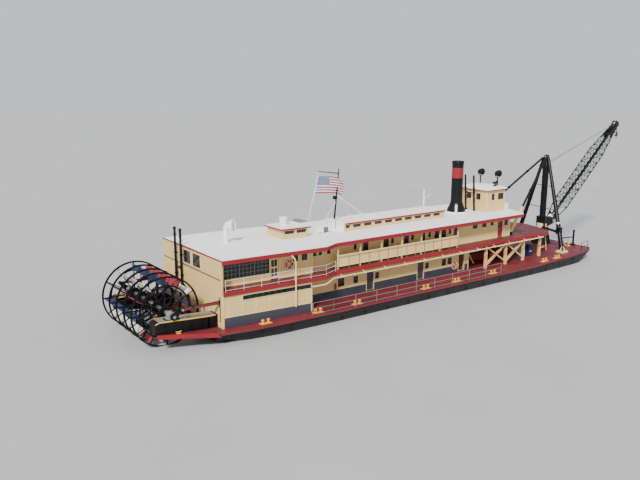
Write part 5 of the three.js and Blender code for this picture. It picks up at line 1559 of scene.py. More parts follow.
def a_frame():
    """Two legs with bands, gusseted shoes, thin ties, climbing rungs and a lamp on its arm."""
    form = Form()
    black, cream, white, steel, lens = range(5)
    for _, side in SIDES:
        a, b = leg_point(side, 0), leg_point(side, 0.985)
        along = (b - a).normalized()
        length = (b - a).length

        def radius(t):
            return LEG["radius"] + (LEG["head_radius"] - LEG["radius"]) * t

        profile = [(radius(0), 0.0)]
        for t in (0.06, 0.27, 0.5, 0.72, 0.9):
            r = radius(t)
            s = length * t
            profile += band(r, s, 0.09, 0.018)
        profile.append((radius(1), length))
        form.turned(profile, a, along, 28, black)
        x, y = LEG_FEET[side]
        form.block(x - 0.5, x + 0.5, y - 0.45, y + 0.45, 0.004, 0.2, cream, DECK_SHEER)
        deck = rise(DECK_SHEER, x)
        for dx, dy in ((1, 0), (-1, 0), (0, 1), (0, -1)):
            foot = Vector((x + dx * 0.44, y + dy * 0.4, deck + 0.2))
            near = Vector((x + dx * 0.1, y + dy * 0.1, deck + 0.2))
            half = Vector((dy, dx, 0)) * 0.02
            form.loft([[foot + half * w, near + half * w, near + half * w + upward(0.5),
                        foot + half * w + upward(0.06)] for w in (-1, 1)], cream)
        for sx in (-0.4, 0.4):
            for sy in (-0.35, 0.35):
                form.rod((x + sx, y + sy, deck + 0.18), (x + sx, y + sy, deck + 0.26), 0.04, 6, paint=steel)
    for t in (0.67, 0.42):
        form.rod(leg_point(-1, t), leg_point(1, t), 0.04, 10, paint=black)
    for i in range(25):
        t = 0.06 + 0.036 * i
        p = leg_point(1, t)
        r = 0.22 - 0.06 * t
        form.tube([p + Vector((-r, -0.13, 0)), p + Vector((-r - 0.12, -0.13, 0)),
                   p + Vector((-r - 0.12, 0.13, 0)), p + Vector((-r, 0.13, 0))], 0.013, 6, black)
    strut_top = Vector((MAST_X - 0.5, -0.45, 2.2))
    form.bar(strut_top, leg_point(-1, 0.19), 0.2, 0.24, black)
    box = leg_point(-1, 0.21)
    form.block(box.x - 0.27, box.x + 0.27, box.y - 0.24, box.y + 0.24, box.z - 0.36, box.z + 0.36, black,
               LEVEL)
    patch = leg_point(-1, 0.29)
    form.block(patch.x - 0.27, patch.x, patch.y - 0.27, patch.y, patch.z - 0.12, patch.z + 0.12, white,
               LEVEL)
    lamp = Vector((44.4, -1.75, 3.72))
    form.rod(leg_point(-1, 0.4), lamp, 0.035, 10, paint=black)
    form.turned([(0.1, 0.26), (0.24, 0.16), (0.3, 0.0), (0.3, -0.08), (0.25, -0.1)], lamp, (0.5, 0.2, 1),
                20, white)
    form.turned([(0.24, -0.09), (0.15, -0.12), (0.02, -0.13)], lamp, (0.5, 0.2, 1), 20, lens)
    frame_piece = form.piece("a_frame_built", "boat", "black_paint", BLACK_PAINT, CREAM_TRIM, WHITE_PAINT,
                             STEEL, GLASS)
    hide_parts("a_frame_leg_port", "a_frame_leg_starboard")


def a_frame_head():
    """Box head with cheeks, two sheaves and the socket of the mast's top pin."""
    form = Form()
    iron, steel = range(2)
    aft, fore = MAST_X - 0.22, MAST_X + 0.24
    z0, z1 = MAST_TOP + 0.06, APEX + 0.15
    half = 0.19
    for s in (-1, 1):
        y0, y1 = sorted([s * half, s * (half - 0.06)])
        outline = [(aft, z0 + 0.1), (aft + 0.08, z0), (fore - 0.08, z0), (fore, z0 + 0.1), (fore, z1 - 0.1),
                   (fore - 0.1, z1), (aft + 0.1, z1), (aft, z1 - 0.1)]
        form.extrude(outline, y0, y1, iron)
        for x in (aft + 0.08, fore - 0.08):
            for z in (z0 + 0.1, z1 - 0.1):
                form.rod((x, s * (half - 0.01), z), (x, s * (half + 0.02), z), 0.025, 6, paint=steel)
    for z in (z0, z1 - 0.05):
        form.ring((MAST_X, 0, z + 0.025), UP, 0.17, 0.115, 0.05, 28, iron)
    form.block(aft + 0.02, MAST_X - 0.15, -half + 0.02, half - 0.02, z0 + 0.01, z0 + 0.05, iron, LEVEL)
    form.block(aft + 0.02, fore - 0.02, -half + 0.02, half - 0.02, z1 - 0.05, z1 - 0.01, iron, LEVEL)
    form.block(MAST_X + 0.15, fore - 0.02, -half + 0.02, half - 0.02, z0 + 0.01, z0 + 0.05, iron, LEVEL)
    for y in (-0.08, 0.08):
        form.turned([(0.05, -0.03), (0.15, -0.035), (0.12, 0), (0.15, 0.035), (0.05, 0.03)],
                    (MAST_X, y, z1 - 0.26), PORT, 24, steel, closed=True)
    form.rod((MAST_X, -half - 0.02, z1 - 0.26), (MAST_X, half + 0.02, z1 - 0.26), 0.05, 14, paint=steel)
    form.turned([(0.05, 0), (0.05, 0.05), (0.07, 0.07), (0.02, 0.1)], (MAST_X, 0, z1 - 0.02), UP, 14, iron)
    head = form.piece("a_frame_head_built", "boat", "black_paint", BLACK_PAINT, STEEL)
    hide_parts("a_frame_head")


def back_stay(name, side):
    """Back stay: black tube with flanges on a pinned shoe, the starboard one cream at its foot."""
    form = Form()
    black, foot_paint, steel = range(3)
    foot = Vector((STAY_FOOT[0], side * STAY_FOOT[1], UPPER_DECK))
    head = Vector((STAY_HEAD[0], side * STAY_HEAD[1], APEX))
    along = (head - foot).normalized()
    length = (head - foot).length
    thick, r = 0.17, 0.12
    split = (ROOF + 0.1 - foot.z) / along.z
    form.turned([(0.1, 0.16), (thick, 0.2), (thick, split)], foot, along, 24, foot_paint)
    profile = [(r, split), (0.18, split), (0.18, split + 0.05), (r, split + 0.06)]
    for s in (length * 0.55, length * 0.78):
        profile += band(r, s, 0.06, 0.05, 0.01)
    form.turned(profile + [(r, length - 0.3)], foot, along, 24, black)
    form.block(foot.x - 0.25, foot.x + 0.35, foot.y - 0.25, foot.y + 0.25, 0.004 + UPPER_DECK,
               UPPER_DECK + 0.05, black)
    for dy in (-0.17, 0.17):
        outline = [(-0.2, 0.03), (0.28, 0.03), (0.26, 0.3), (0.1, 0.38), (-0.05, 0.3)]
        form.loft([[(foot.x + a, foot.y + dy + w, foot.z + b) for a, b in outline] for w in (-0.02, 0.02)],
                  black)
    pin = foot + along * 0.26
    form.rod(pin - Vector((0, 0.2, 0)), pin + Vector((0, 0.2, 0)), 0.045, 14, paint=steel)
    stay = form.piece(f"back_stay_{name}_built", "boat", "black_paint", BLACK_PAINT,
                      YELLOW_CREAM if side < 0 else BLACK_PAINT, STEEL)
    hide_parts(f"back_stay_{name}")


def mast():
    """Mast post with bands, a turning disc and the heel brackets that carry the boom."""
    form = Form()
    iron, steel, cream = range(3)
    r = 0.36
    form.turned([(0.6, MAST_FOOT - 0.2), (0.6, MAST_FOOT + 0.26), (0.56, MAST_FOOT + 0.3),
                 (0.3, MAST_FOOT + 0.3)], (MAST_X, 0, 0), UP, 40, cream)
    profile = [(0.45, MAST_FOOT + 0.2), (r, MAST_FOOT + 0.4)]
    for z in (4.2, 6.1, 8.0, 9.05):
        profile += band(r, z, 0.11, 0.02, 0.01)
    profile += [(r, 9.2), (0.19, MAST_TOP - 0.05), (0.17, MAST_TOP), (0.14, MAST_TOP),
                (0.14, MAST_TOP + 0.03), (0.1, MAST_TOP + 0.03), (0.1, MAST_TOP + 0.3)]
    form.turned(profile, (MAST_X, 0, 0), UP, 32, iron)
    under, top = 2.5, 3.1
    for side in (-1, 1):
        outline = [(MAST_X - 0.36, under - 0.3), (MAST_X + 0.3, under - 0.3), (BOOM_FOOT[0] + 0.1, under),
                   (BOOM_FOOT[0] + 0.2, under + 0.12), (BOOM_FOOT[0] + 0.2, top - 0.12),
                   (BOOM_FOOT[0] + 0.1, top), (MAST_X + 0.3, top + 0.3), (MAST_X - 0.36, top + 0.3)]
        y0, y1 = sorted([side * 0.5, side * 0.58])
        form.extrude(outline, y0, y1, iron)
        form.turned([(0.1, 0), (0.22, 0), (0.22, 0.04), (0.1, 0.05)],
                    (BOOM_FOOT[0], side * 0.58, BOOM_FOOT[1]), (0, side, 0), 24, steel, closed=True)
        for x, z in ((MAST_X - 0.2, 2.4), (MAST_X - 0.2, 3.2), (MAST_X + 0.5, 2.5), (MAST_X + 0.5, 3.15)):
            form.rod((x, side * 0.57, z), (x, side * 0.62, z), 0.03, 6, paint=steel)
        form.rod((BOOM_FOOT[0], side * 0.47, BOOM_FOOT[1]), (BOOM_FOOT[0], side * 0.63, BOOM_FOOT[1]), 0.09,
                 16, paint=steel)
    for x0, x1 in ((MAST_X - 0.4, MAST_X - 0.34), (MAST_X + 0.34, MAST_X + 0.4)):
        form.block(x0, x1, -0.5, 0.5, under - 0.28, top + 0.28, iron, LEVEL)
    for z in (under - 0.28, top + 0.22):
        form.block(MAST_X - 0.36, MAST_X + 0.36, -0.5, 0.5, z, z + 0.06, iron, LEVEL)
    post = form.piece("mast_built", "derrick_mast", "black_paint", BLACK_PAINT, STEEL, CREAM_TRIM)
    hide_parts("mast")


def on_boom(s, y, t):
    """A point on the boom: s along it from the foot, y to port, t above its middle."""
    cosine = (BOOM_TIP[0] - BOOM_FOOT[0]) / BOOM_LENGTH
    sine = (BOOM_TIP[1] - BOOM_FOOT[1]) / BOOM_LENGTH
    return Vector((BOOM_FOOT[0] + s * cosine - t * sine, y, BOOM_FOOT[1] + s * sine + t * cosine))


BOOM_STATIONS = [(0.1, 0.36, 0.12), (2.6, 0.62, 0.6), (11.5, 0.62, 0.6), (BOOM_LENGTH - 0.1, 0.24, 0.2)]
BOOM_BAYS = 17
BOOM_HEAD = {"sheave": 0.3, "half": 0.26}


def boom_size(s):
    """Half width and half depth of the boom at s."""
    return at_place(BOOM_STATIONS, s)


def boom():
    """Lattice boom: angle chords, crossed and bolted lacing, plated ends, sheaves and a foot pin."""
    form = Form()
    iron, steel = range(2)
    thick, leg = 0.03, 0.12
    shape = [(0, 0), (-leg, 0), (-leg, -thick), (-thick, -thick), (-thick, -leg), (0, -leg)]
    for a, b in zip(BOOM_STATIONS, BOOM_STATIONS[1:]):
        for p, q in ((-1, -1), (1, -1), (1, 1), (-1, 1)):
            form.loft([[on_boom(s, p * (y + 0.045 + u), q * (t + 0.045 + v)) for u, v in shape]
                       for s, y, t in (a, b)], iron)
    first, last = BOOM_STATIONS[1][0], BOOM_LENGTH - 1.2
    pitch = (last - first) / BOOM_BAYS
    places = [first + pitch * i for i in range(BOOM_BAYS + 1)]
    for i, (sa, sb) in enumerate(zip(places, places[1:])):
        (ya, ta), (yb, tb) = boom_size(sa), boom_size(sb)
        for p in (-1, 1):
            for f in ((1, -1) if i % 2 else (-1, 1)):
                lift = p * (0.03 if f > 0 else 0.012)
                form.bar(on_boom(sa, p * ya + lift, f * ta), on_boom(sb, p * yb + lift, -f * tb), 0.02,
                         0.065, iron)
            f = 1 if i % 2 else -1
            form.rod(on_boom(sa, f * ya, p * ta), on_boom(sb, -f * yb, p * tb), 0.032, 6, paint=iron)
    for s in places:
        y, t = boom_size(s)
        for p in (-1, 1):
            form.rod(on_boom(s, p * y, -t), on_boom(s, p * y, t), 0.024, 6, paint=iron)
            for q in (-1, 1):
                form.rod(on_boom(s, p * (y + 0.04), q * (t - 0.02)),
                         on_boom(s, p * (y + 0.06), q * (t - 0.02)), 0.03, 6, paint=iron)
    for s in places[::4] + [places[-1]]:
        y, t = boom_size(s)
        for p in (-1, 1):
            form.bar(on_boom(s, -y, p * t), on_boom(s, y, p * t), 0.07, 0.05, iron)
    for p in (-1, 1):
        for s0, s1 in ((0.1, 1.3), (BOOM_LENGTH - 2.3, BOOM_LENGTH - 0.1)):
            rings = []
            for s in (s0, s1):
                y, t = boom_size(s)
                rings.append([on_boom(s, p * (y + 0.02), -t - 0.04), on_boom(s, p * (y + 0.045), -t - 0.04),
                              on_boom(s, p * (y + 0.045), t + 0.04), on_boom(s, p * (y + 0.02), t + 0.04)])
            form.loft(rings, iron)
        for s in even(BOOM_LENGTH - 1.8, BOOM_LENGTH - 0.4, 7):
            y, t = boom_size(s)
            for q in (-1, 1):
                form.rod(on_boom(s, p * (y + 0.04), q * (t - 0.04)),
                         on_boom(s, p * (y + 0.06), q * (t - 0.04)), 0.022, 6, paint=iron)
        r = BOOM_HEAD["sheave"]
        outline = [(BOOM_LENGTH + r * math.cos(a), r * math.sin(a))
                   for a in even(-math.pi / 2, math.pi / 2, 17)]
        outline += [(BOOM_LENGTH - 0.4, 0.24), (BOOM_LENGTH - 0.4, -0.24)]
        y0, y1 = sorted([p * BOOM_HEAD["half"], p * (BOOM_HEAD["half"] + 0.035)])
        form.loft([[on_boom(s, y, t) for s, t in outline] for y in (y0, y1)], iron)
    form.rod(on_boom(0, -0.46, 0), on_boom(0, 0.46, 0), 0.11, 20, paint=steel)
    for p in (-1, 1):
        form.ring(on_boom(0, p * 0.39, 0), PORT, 0.16, 0.112, 0.1, 24, iron)
        form.bar(on_boom(0.0, p * 0.38, 0), on_boom(0.5, p * 0.4, 0), 0.05, 0.22, iron)
    half = BOOM_HEAD["half"]
    form.rod(on_boom(BOOM_LENGTH, -half - 0.06, 0), on_boom(BOOM_LENGTH, half + 0.06, 0), 0.06, 18,
             paint=steel)
    for y in (-0.17, 0, 0.17):
        form.turned([(0.07, -0.05), (0.28, -0.055), (0.23, 0), (0.28, 0.055), (0.07, 0.05)],
                    on_boom(BOOM_LENGTH, y, 0), PORT, 32, steel, closed=True)
    for y in (-0.24, 0.24):
        form.bar(on_boom(BOOM_LENGTH - 0.9, y, 0.2), on_boom(BOOM_LENGTH + 0.1, y, 0.44), 0.05, 0.09, iron)
        form.bar(on_boom(BOOM_LENGTH + 0.1, y, 0.44), on_boom(BOOM_LENGTH + 0.16, y, 0.1), 0.05, 0.09, iron)
    form.rod(on_boom(BOOM_LENGTH + 0.06, -0.27, 0.42), on_boom(BOOM_LENGTH + 0.06, 0.27, 0.42), 0.06, 14,
             paint=iron)
    for y in (-0.17, 0.17):
        form.bar(on_boom(BOOM_LENGTH - 0.1, y, -0.2), on_boom(HOOK_PIN[0] + 0.02, y, HOOK_PIN[1] - 0.1),
                 0.05, 0.15, iron)
    lattice = form.piece("boom_built", "derrick_boom", "black_paint", BLACK_PAINT, STEEL)
    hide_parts("boom")


def boom_ropes():
    """Topping lifts from the mast's top to the boom's head; they ride on no body, so they stay where they
    are drawn.
    """
    form = Form()
    for side in (-1, 1):
        form.rod((MAST_X + 0.2, side * 0.04, MAST_TOP - 0.35),
                 on_boom(BOOM_LENGTH - 0.35, side * 0.16, 0.24), 0.02, 8)
    ropes = form.piece("boom_ropes", "derrick_mast", "steel", ROPE)
    ropes.parent = None
    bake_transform(ropes)


def hook_block():
    """Fall block with a sheave between cheeks, hung on a link, with its hook."""
    form = Form()
    iron, steel = range(2)
    pin = on_boom(HOOK_PIN[0], 0, HOOK_PIN[1])
    x, z = pin.x, pin.z
    cheek = 0.19
    form.rod((x, -0.13, z), (x, 0.13, z), 0.055, 16, paint=steel)
    form.ring((x, 0, z), PORT, 0.1, 0.058, 0.08, 20, iron)
    form.rod((x, 0, z - 0.06), (x, 0, z - 0.86), 0.04, 12, paint=iron)
    for s in (-1, 1):
        outline = [(x + cheek * math.cos(a + turn), z - down + cheek * math.sin(a + turn))
                   for turn, down in ((0, 1.0), (math.pi, 1.12)) for a in even(0, math.pi, 9)]
        y0, y1 = sorted([s * 0.075, s * 0.11])
        form.extrude(outline, y0, y1, iron)
        form.turned([(0.05, 0), (0.05, 0.03), (0.02, 0.035)], (x, s * 0.105, z - 1.06), (0, s, 0), 12,
                    steel)
    form.turned([(0.02, -0.05), (0.17, -0.06), (0.13, 0), (0.17, 0.06), (0.02, 0.05)], (x, 0, z - 1.06),
                PORT, 28, steel)
    form.rod((x, 0, z - 1.24), (x, 0, z - 1.36), 0.045, 12, paint=iron)
    curl = [(0, 1.34), (0, 1.4)] + [(0.1 * math.sin(a), 1.48 - 0.1 * math.cos(a))
                                    for a in (0.4, 0.9, 1.4, 1.9, 2.4, 2.9, 3.4, 3.9, 4.4)]
    form.tube([(x + a, 0, z - b) for a, b in curl],
              [0.035] * 2 + [0.036, 0.038, 0.04, 0.04, 0.04, 0.036, 0.03, 0.022, 0.012], 12, iron)
    block = form.piece("hook_block_built", "hook_block", "black_paint", BLACK_PAINT, STEEL)
    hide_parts("hook_block")


# Roof

ROOF_CROWN = 0.06
ROOF_STATIONS = [(-10, HALF_AFT), (JOG_AFT, HALF_AFT), (JOG_FORWARD, HALF_FORWARD)]
LID_TOP = 0.14
SKYLIGHT = {"from": 7.97, "to": 10.56, "half": 1.2, "high": 0.9, "windows": [8.66, 9.9], "wide": 1.06}
MUSHROOM = {"x": 8.97, "y": 0.2, "high": 0.72}
CLERESTORY = {"from": 14.55, "to": 27.3, "half": 1.3, "high": 0.73, "count": 10, "first": 14.72,
              "pitch": 1.28}
HOUSING = {"from": 11.75, "to": 13, "starboard": -0.95, "port": 1.4, "high": 0.75}
DUCT = {"from": 12.2, "to": 12.8, "port": 3.6, "high": 0.72}
CURB = {"to": 14.6, "starboard": 0.3, "port": 0.6, "high": 0.1}


def roof_half(x):
    """Half width of the roof at x."""
    return at_place(ROOF_STATIONS, x)[0]


def roof_top(x, y):
    """Height of the crowned roof."""
    half = roof_half(x)
    return ROOF + rise(HOUSE_SHEER, x) + ROOF_CROWN * half / HALF_AFT * (1 - abs(y) / half)


def roof_house(form, x0, x1, half, high, overhang, groups, aft=0):
    """A low house on the roof: boarded sides, groups of small windows (from, to, panes), and a lid."""
    cream, trim, dark, glass_paint, white, red = range(6)
    head, sill = ROOF + high - 0.14, ROOF + high - 0.42
    foot, low, top = ROOF + 0.02, ROOF + high - 0.05, ROOF + high + LID_TOP
    holes = [(a, b) for a, b, _ in groups]
    for side in (-1, 1):
        def strip(a, b, z0, z1, inner, outer, paint):
            y0, y1 = sorted([side * (half + inner), side * (half + outer)])
            form.block(a, b, y0, y1, z0, z1, paint)

        strip(x0, x1, foot, sill, -0.07, 0, cream)
        strip(x0, x1, head, low, -0.07, 0, cream)
        for a, b in spans(x0, x1, holes):
            strip(a, b, sill, head, -0.07, 0, cream)
        for a in even(x0 + 0.3, x1 - 0.3, max(2, round((x1 - x0) / 0.62))):
            strip(a - 0.02, a + 0.02, foot, sill - 0.05, -0.02, 0.014, cream)
        strip(x0, x1, sill - 0.05, sill, -0.02, 0.022, trim)
        for a, b, panes in groups:
            strip(a, b, sill, head, -0.05, -0.038, glass_paint)
            bars = even(a, b, panes + 1)
            for i, u in enumerate(bars):
                inner = 0 < i < panes
                w = 0.03 if inner else 0.04
                strip(u - w, u + w, sill, head, -0.037, 0.002 if inner else 0.014, dark if inner else trim)
            strip(a, b, sill, sill + 0.035, -0.037, 0.0, dark)
            strip(a, b, head - 0.03, head, -0.037, 0.0, dark)
    for a, b in ((x0, x0 + 0.07), (x1 - 0.07, x1)):
        form.block(a, b, -half + 0.07, half - 0.07, foot, low, aft)
    a, b, w = x0 - overhang, x1 + overhang, half + max(overhang, 0.15)
    form.block(a, b, -w, w, low, low + 0.14, red)
    edge = w - 0.008
    rings = []
    for x in knots(HOUSE_SHEER, a - 0.004, b - 0.008):
        lift = rise(HOUSE_SHEER, x)
        rings.append([(x, -edge, low + 0.14 + lift), (x, edge, low + 0.14 + lift),
                      (x, edge, low + 0.16 + lift), (x, edge * 0.5, top - 0.012 + lift), (x, 0, top + lift),
                      (x, -edge * 0.5, top - 0.012 + lift), (x, -edge, low + 0.16 + lift)])
    form.loft(rings, white)
    if aft == white:
        form.block(a - 0.006, a + 0.02, -edge, edge, low - 0.002, low + 0.15, white)
    for x in even(a + 0.8, b - 0.8, max(2, round((b - a) / 1.9))):
        lift = rise(HOUSE_SHEER, x)
        form.loft([[(x + dx, -w + 0.02, low + 0.15 + lift), (x + dx, w - 0.02, low + 0.15 + lift),
                    (x + dx, w * 0.5, top + lift), (x + dx, 0, top + 0.012 + lift),
                    (x + dx, -w * 0.5, top + lift)] for dx in (-0.025, 0.025)], white)


HOUSE_PAINTS = [CREAM_PAINT, CREAM_TRIM, SASH_PAINT, GLASS, WHITE_PAINT, RED_PAINT]


def skylight():
    """Skylight house with a mushroom ventilator on its lid."""
    form = Form()
    s, m = SKYLIGHT, MUSHROOM
    groups = [(x - s["wide"] / 2, x + s["wide"] / 2, 4) for x in s["windows"]]
    roof_house(form, s["from"], s["to"], s["half"], s["high"], 0.22, groups)
    z = ROOF + s["high"] + LID_TOP - 0.02 + rise(HOUSE_SHEER, m["x"])
    top = m["high"] + 0.02
    form.turned([(0.36, 0), (0.36, 0.04), (0.31, 0.06), (0.3, top - 0.27), (0.34, top - 0.26),
                 (0.37, top - 0.24), (0.37, top - 0.1), (0.34, top - 0.04), (0.2, top - 0.01), (0.02, top)],
                (m["x"], m["y"], z), UP, 36, 4)
    form.ring((m["x"], m["y"], z + 0.22), UP, 0.325, 0.295, 0.05, 36, 1)
    house = form.piece("skylight_built", "boat", "cream_paint", *HOUSE_PAINTS)
    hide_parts("skylight")


def clerestory():
    """The long clerestory, with the ventilation housing, its duct and the curb between them."""
    form = Form()
    white, grey, dark = 4, 6, 7
    c, h, d, k = CLERESTORY, HOUSING, DUCT, CURB
    groups = []
    for i in range(c["count"]):
        middle = c["first"] + c["pitch"] * i
        groups.append((max(middle - 0.5, c["from"] + 0.1), middle + 0.5, 3 if i < 2 else 4 if i < 5 else 5))
    roof_house(form, c["from"], c["to"], c["half"], c["high"], 0.05, groups, white)
    x0, x1, y0, y1 = h["from"], h["to"], h["starboard"], h["port"]
    top = ROOF + h["high"]
    form.block(x0, x1, y0, y1, ROOF + 0.03, top - 0.02, white)
    form.block(x0 - 0.02, x1 + 0.02, y0 - 0.02, y1 + 0.02, top - 0.05, top + 0.004, white)
    form.block(x0 + 0.03, x0 + 0.72, y0 - 0.012, y0 + 0.02, ROOF + 0.1, ROOF + 0.15, dark)
    a, b, low, high = x0 + 0.68, x1 - 0.04, ROOF + 0.11, ROOF + 0.62
    # A black sheet behind the louvre blades: painted shade in the opening.
    form.block(a, b, y0 - 0.006, y0 + 0.02, low, high, dark)
    for z in even(low + 0.03, high - 0.06, 9):
        lift = rise(HOUSE_SHEER, x0)
        form.loft([[(x, y0, z + lift), (x, y0 - 0.045, z - 0.03 + lift), (x, y0 - 0.045, z - 0.016 + lift),
                    (x, y0, z + 0.014 + lift)] for x in (a, b)], grey)
    for u0, u1, z0, z1 in ((a - 0.05, a, low - 0.05, high + 0.05), (b, b + 0.05, low - 0.05, high + 0.05),
                           (a, b, low - 0.05, low), (a, b, high, high + 0.05)):
        form.block(u0, u1, y0 - 0.05, y0 + 0.02, z0, z1, white)
    d0, d1, port, duct_top = d["from"], d["to"], d["port"], ROOF + d["high"]
    form.block(d0, d1, y1 - 0.02, port, ROOF - 0.02, duct_top, grey)
    for y in even(y1 + 0.35, port - 0.1, 4):
        form.block(d0 - 0.02, d1 + 0.02, y - 0.03, y + 0.03, ROOF, duct_top + 0.015, grey)
    # A black sheet on the duct's aft end for its opening: painted shade.
    form.block(d0 - 0.012, d0 + 0.01, y1 + 0.5, port - 0.25, ROOF + 0.18, duct_top - 0.08, dark)
    form.block(13.9, 14.3, 2.7, 4.1, ROOF - 0.02, ROOF + 0.24, grey)
    form.block(13.87, 14.33, 2.67, 4.13, ROOF + 0.2, ROOF + 0.26, grey)
    form.block(x1 - 0.02, k["to"], -k["starboard"], k["port"], ROOF - 0.01, ROOF + k["high"], white)
    house = form.piece("clerestory_built", "boat", "cream_paint", *HOUSE_PAINTS, GREY_PAINT, BLACK_PAINT)
    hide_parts("clerestory")


# Pilothouse

PILOTHOUSE = {"from": 33.1, "to": 35.95, "half": 1.8, "top": 7.55, "overhang": 0.22}
# Windows: middle and width
PILOT_SIDES = [(34.08, 0.54), (35.3, 0.95)]
PILOT_FRONT = [(-1.1, 0.85), (0, 0.85), (1.1, 0.85)]
PILOT_BACK = [(-0.65, 0.66), (0.65, 0.66)]
PILOT_SILL, PILOT_HEAD = 6.5, 7.2
LIGHTS = {"x": 35.3, "y": [-1.24, 1.08], "z": 9.2, "radius": 0.36}
HORN = {"x": 34.65, "y": -1.5, "high": 0.75, "bell": 0.19}


def pilothouse_trim():
    """Boards, corner posts, casings and sashes on the four sides of the pilothouse."""
    form = Form()
    p = PILOTHOUSE
    high = PILOT_HEAD - PILOT_SILL
    faces = [
        (Wall(form, 1, p["half"]), p["from"], p["to"], PILOT_SIDES),
        (Wall(form, -1, -p["half"]), p["from"], p["to"], PILOT_SIDES),
        (Wall(form, 1, p["to"], across=True), -p["half"], p["half"], PILOT_FRONT),
        (Wall(form, -1, p["from"], across=True), -p["half"], p["half"], PILOT_BACK),
    ]
    for wall, u0, u1, windows in faces:
        foot = ROOF + 0.2
        holes = [(u, PILOT_SILL - 0.06, w + 0.1, high + 0.14) for u, w in windows]
        wall.battens(u0 + 0.1, u1 - 0.1, foot, p["top"] - 0.02, 0.18, 0.035, holes, BOARD, 0.014)
        wall.box(u0, u1, PILOT_SILL - 0.12, PILOT_SILL - 0.055, -0.01, 0.04, TRIM)
        wall.box(u0, u1, p["top"] - 0.09, p["top"] - 0.01, -0.01, 0.04, TRIM)
        wall.box(u0, u1, foot - 0.05, foot + 0.05, -0.01, 0.035, TRIM)
        for u in (u0 + 0.04, u1 - 0.04):
            wall.box(u - 0.055, u + 0.055, foot - 0.05, p["top"] - 0.01, -0.01, 0.045, TRIM)
        for u, w in windows:
            wall.casing(u, PILOT_SILL, w, high, 0.05, 0.03)
            wall.sash(u, PILOT_SILL, w, high, mullions=1)
    form.piece("pilothouse_trim", "boat", "cream_paint", *WALL_PAINTS)


def pilothouse_roof():
    """Domed pilothouse roof with a thin red edge, black along the starboard side as painted shade, two
    searchlights on posts and the horn.
    """
    form = Form()
    white, red, black, lens = range(4)
    p = PILOTHOUSE
    top = p["top"]
    x0, x1, w = p["from"] - p["overhang"], p["to"] + p["overhang"], p["half"] + p["overhang"]

    def ring(inset, z):
        a, b, half = x0 + inset, x1 - inset, w - inset
        corner = 0.12
        return [(a + corner, -half, z), (b - corner, -half, z), (b, -half + corner, z),
                (b, half - corner, z), (b - corner, half, z), (a + corner, half, z), (a, half - corner, z),
                (a, -half + corner, z)]

    form.loft([ring(0, top + 0.004), ring(0, top + 0.07)], red)
    form.loft([ring(0.006, top + 0.07), ring(0.01, top + 0.13), ring(0.14, top + 0.215),
               ring(0.34, top + 0.31), ring(0.6, top + 0.39), ring(0.9, top + 0.425)], white)
    x, z, r = LIGHTS["x"], LIGHTS["z"], LIGHTS["radius"]
    for y in LIGHTS["y"]:
        form.turned([(0.14, top + 0.1), (0.14, top + 0.42), (0.07, top + 0.47), (0.07, z - 0.45),
                     (0.1, z - 0.43), (0.1, z - 0.38)], (x, y, 0), UP, 20, black)
        for s in (-1, 1):
            form.tube([(x, y, z - 0.4), (x, y + s * 0.2, z - 0.38), (x, y + s * 0.33, z - 0.26),
                       (x, y + s * 0.34, z)], 0.03, 10, black)
            form.rod((x, y + s * 0.22, z), (x, y + s * 0.36, z), 0.04, 12, paint=black)
        form.turned([(0.06, -0.3), (0.2, -0.27), (0.27, -0.18), (r * 0.85, 0.0), (r, 0.2), (r, 0.28),
                     (r * 0.94, 0.3), (r * 0.9, 0.27)], (x, y, z), FORE, 36, black)
        form.turned([(r * 0.89, 0.262), (r * 0.6, 0.285), (0.02, 0.295)], (x, y, z), FORE, 36, lens)
        for s in (-0.5, 0, 0.5):
            h = r * math.sqrt(1 - s * s) * 0.9
            form.bar((x + 0.3, y + s * r, z - h), (x + 0.3, y + s * r, z + h), 0.015, 0.02, black)
    hx, hy, hz = HORN["x"], HORN["y"], top + HORN["high"]
    bell = HORN["bell"]
    form.turned([(0.13, top + 0.1), (0.13, top + 0.3), (0.075, top + 0.34), (0.075, hz + 0.05)],
                (hx, hy, 0), UP, 16, black)
    form.turned([(0.05, -0.34), (0.1, -0.32), (0.12, -0.1), (0.09, 0.0), (0.1, 0.1), (bell, 0.26),
                 (bell, 0.27), (bell * 0.8, 0.24), (0.05, 0.1)], (hx, hy, hz), FORE, 24, black)
    form.rod((hx - 0.3, hy, hz - 0.3), (hx + 0.3, hy, hz - 0.3), 0.05, 12, paint=black)
    # A black bar along the starboard edge of the roof, over the red: painted shade for the dark eave there.
    form.bar((x0, -w + 0.02, top + 0.03), (x1 - 0.07, -w + 0.02, top + 0.03), 0.06, 0.07, black)
    roof = form.piece("pilothouse_roof_built", "boat", "white_paint", WHITE_PAINT, RED_PAINT, BLACK_PAINT,
                      GLASS)
    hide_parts("pilothouse_roof")


LOCKER = {"from": 36.2, "to": 36.72, "starboard": -1.75, "port": -1.25, "foot": 0.06, "high": 0.66}


def roof_locker():
    """White locker with a lid and feet on the roof beside the pilothouse."""
    form = Form()
    x0, x1, y0, y1 = LOCKER["from"], LOCKER["to"], LOCKER["starboard"], LOCKER["port"]
    foot, top = ROOF + LOCKER["foot"], ROOF + LOCKER["high"]
    form.block(x0, x1, y0, y1, foot, top)
    form.block(x0 - 0.03, x1 + 0.03, y0 - 0.03, y1 + 0.03, top, top + 0.06)
    for x in (x0 + 0.06, x1 - 0.06):
        for y in (y0 + 0.06, y1 - 0.06):
            form.block(x - 0.04, x + 0.04, y - 0.04, y + 0.04, ROOF + 0.01, foot + 0.01)
    form.block(x0 + 0.2, x0 + 0.32, y0 - 0.04, y0 - 0.005, top - 0.11, top - 0.06)
    form.piece("roof_locker", "boat", "white_paint", WHITE_PAINT)


# Stack, pipes and ventilators

STACK = {"x": 30.45, "top": 10.7, "radius": 0.59}


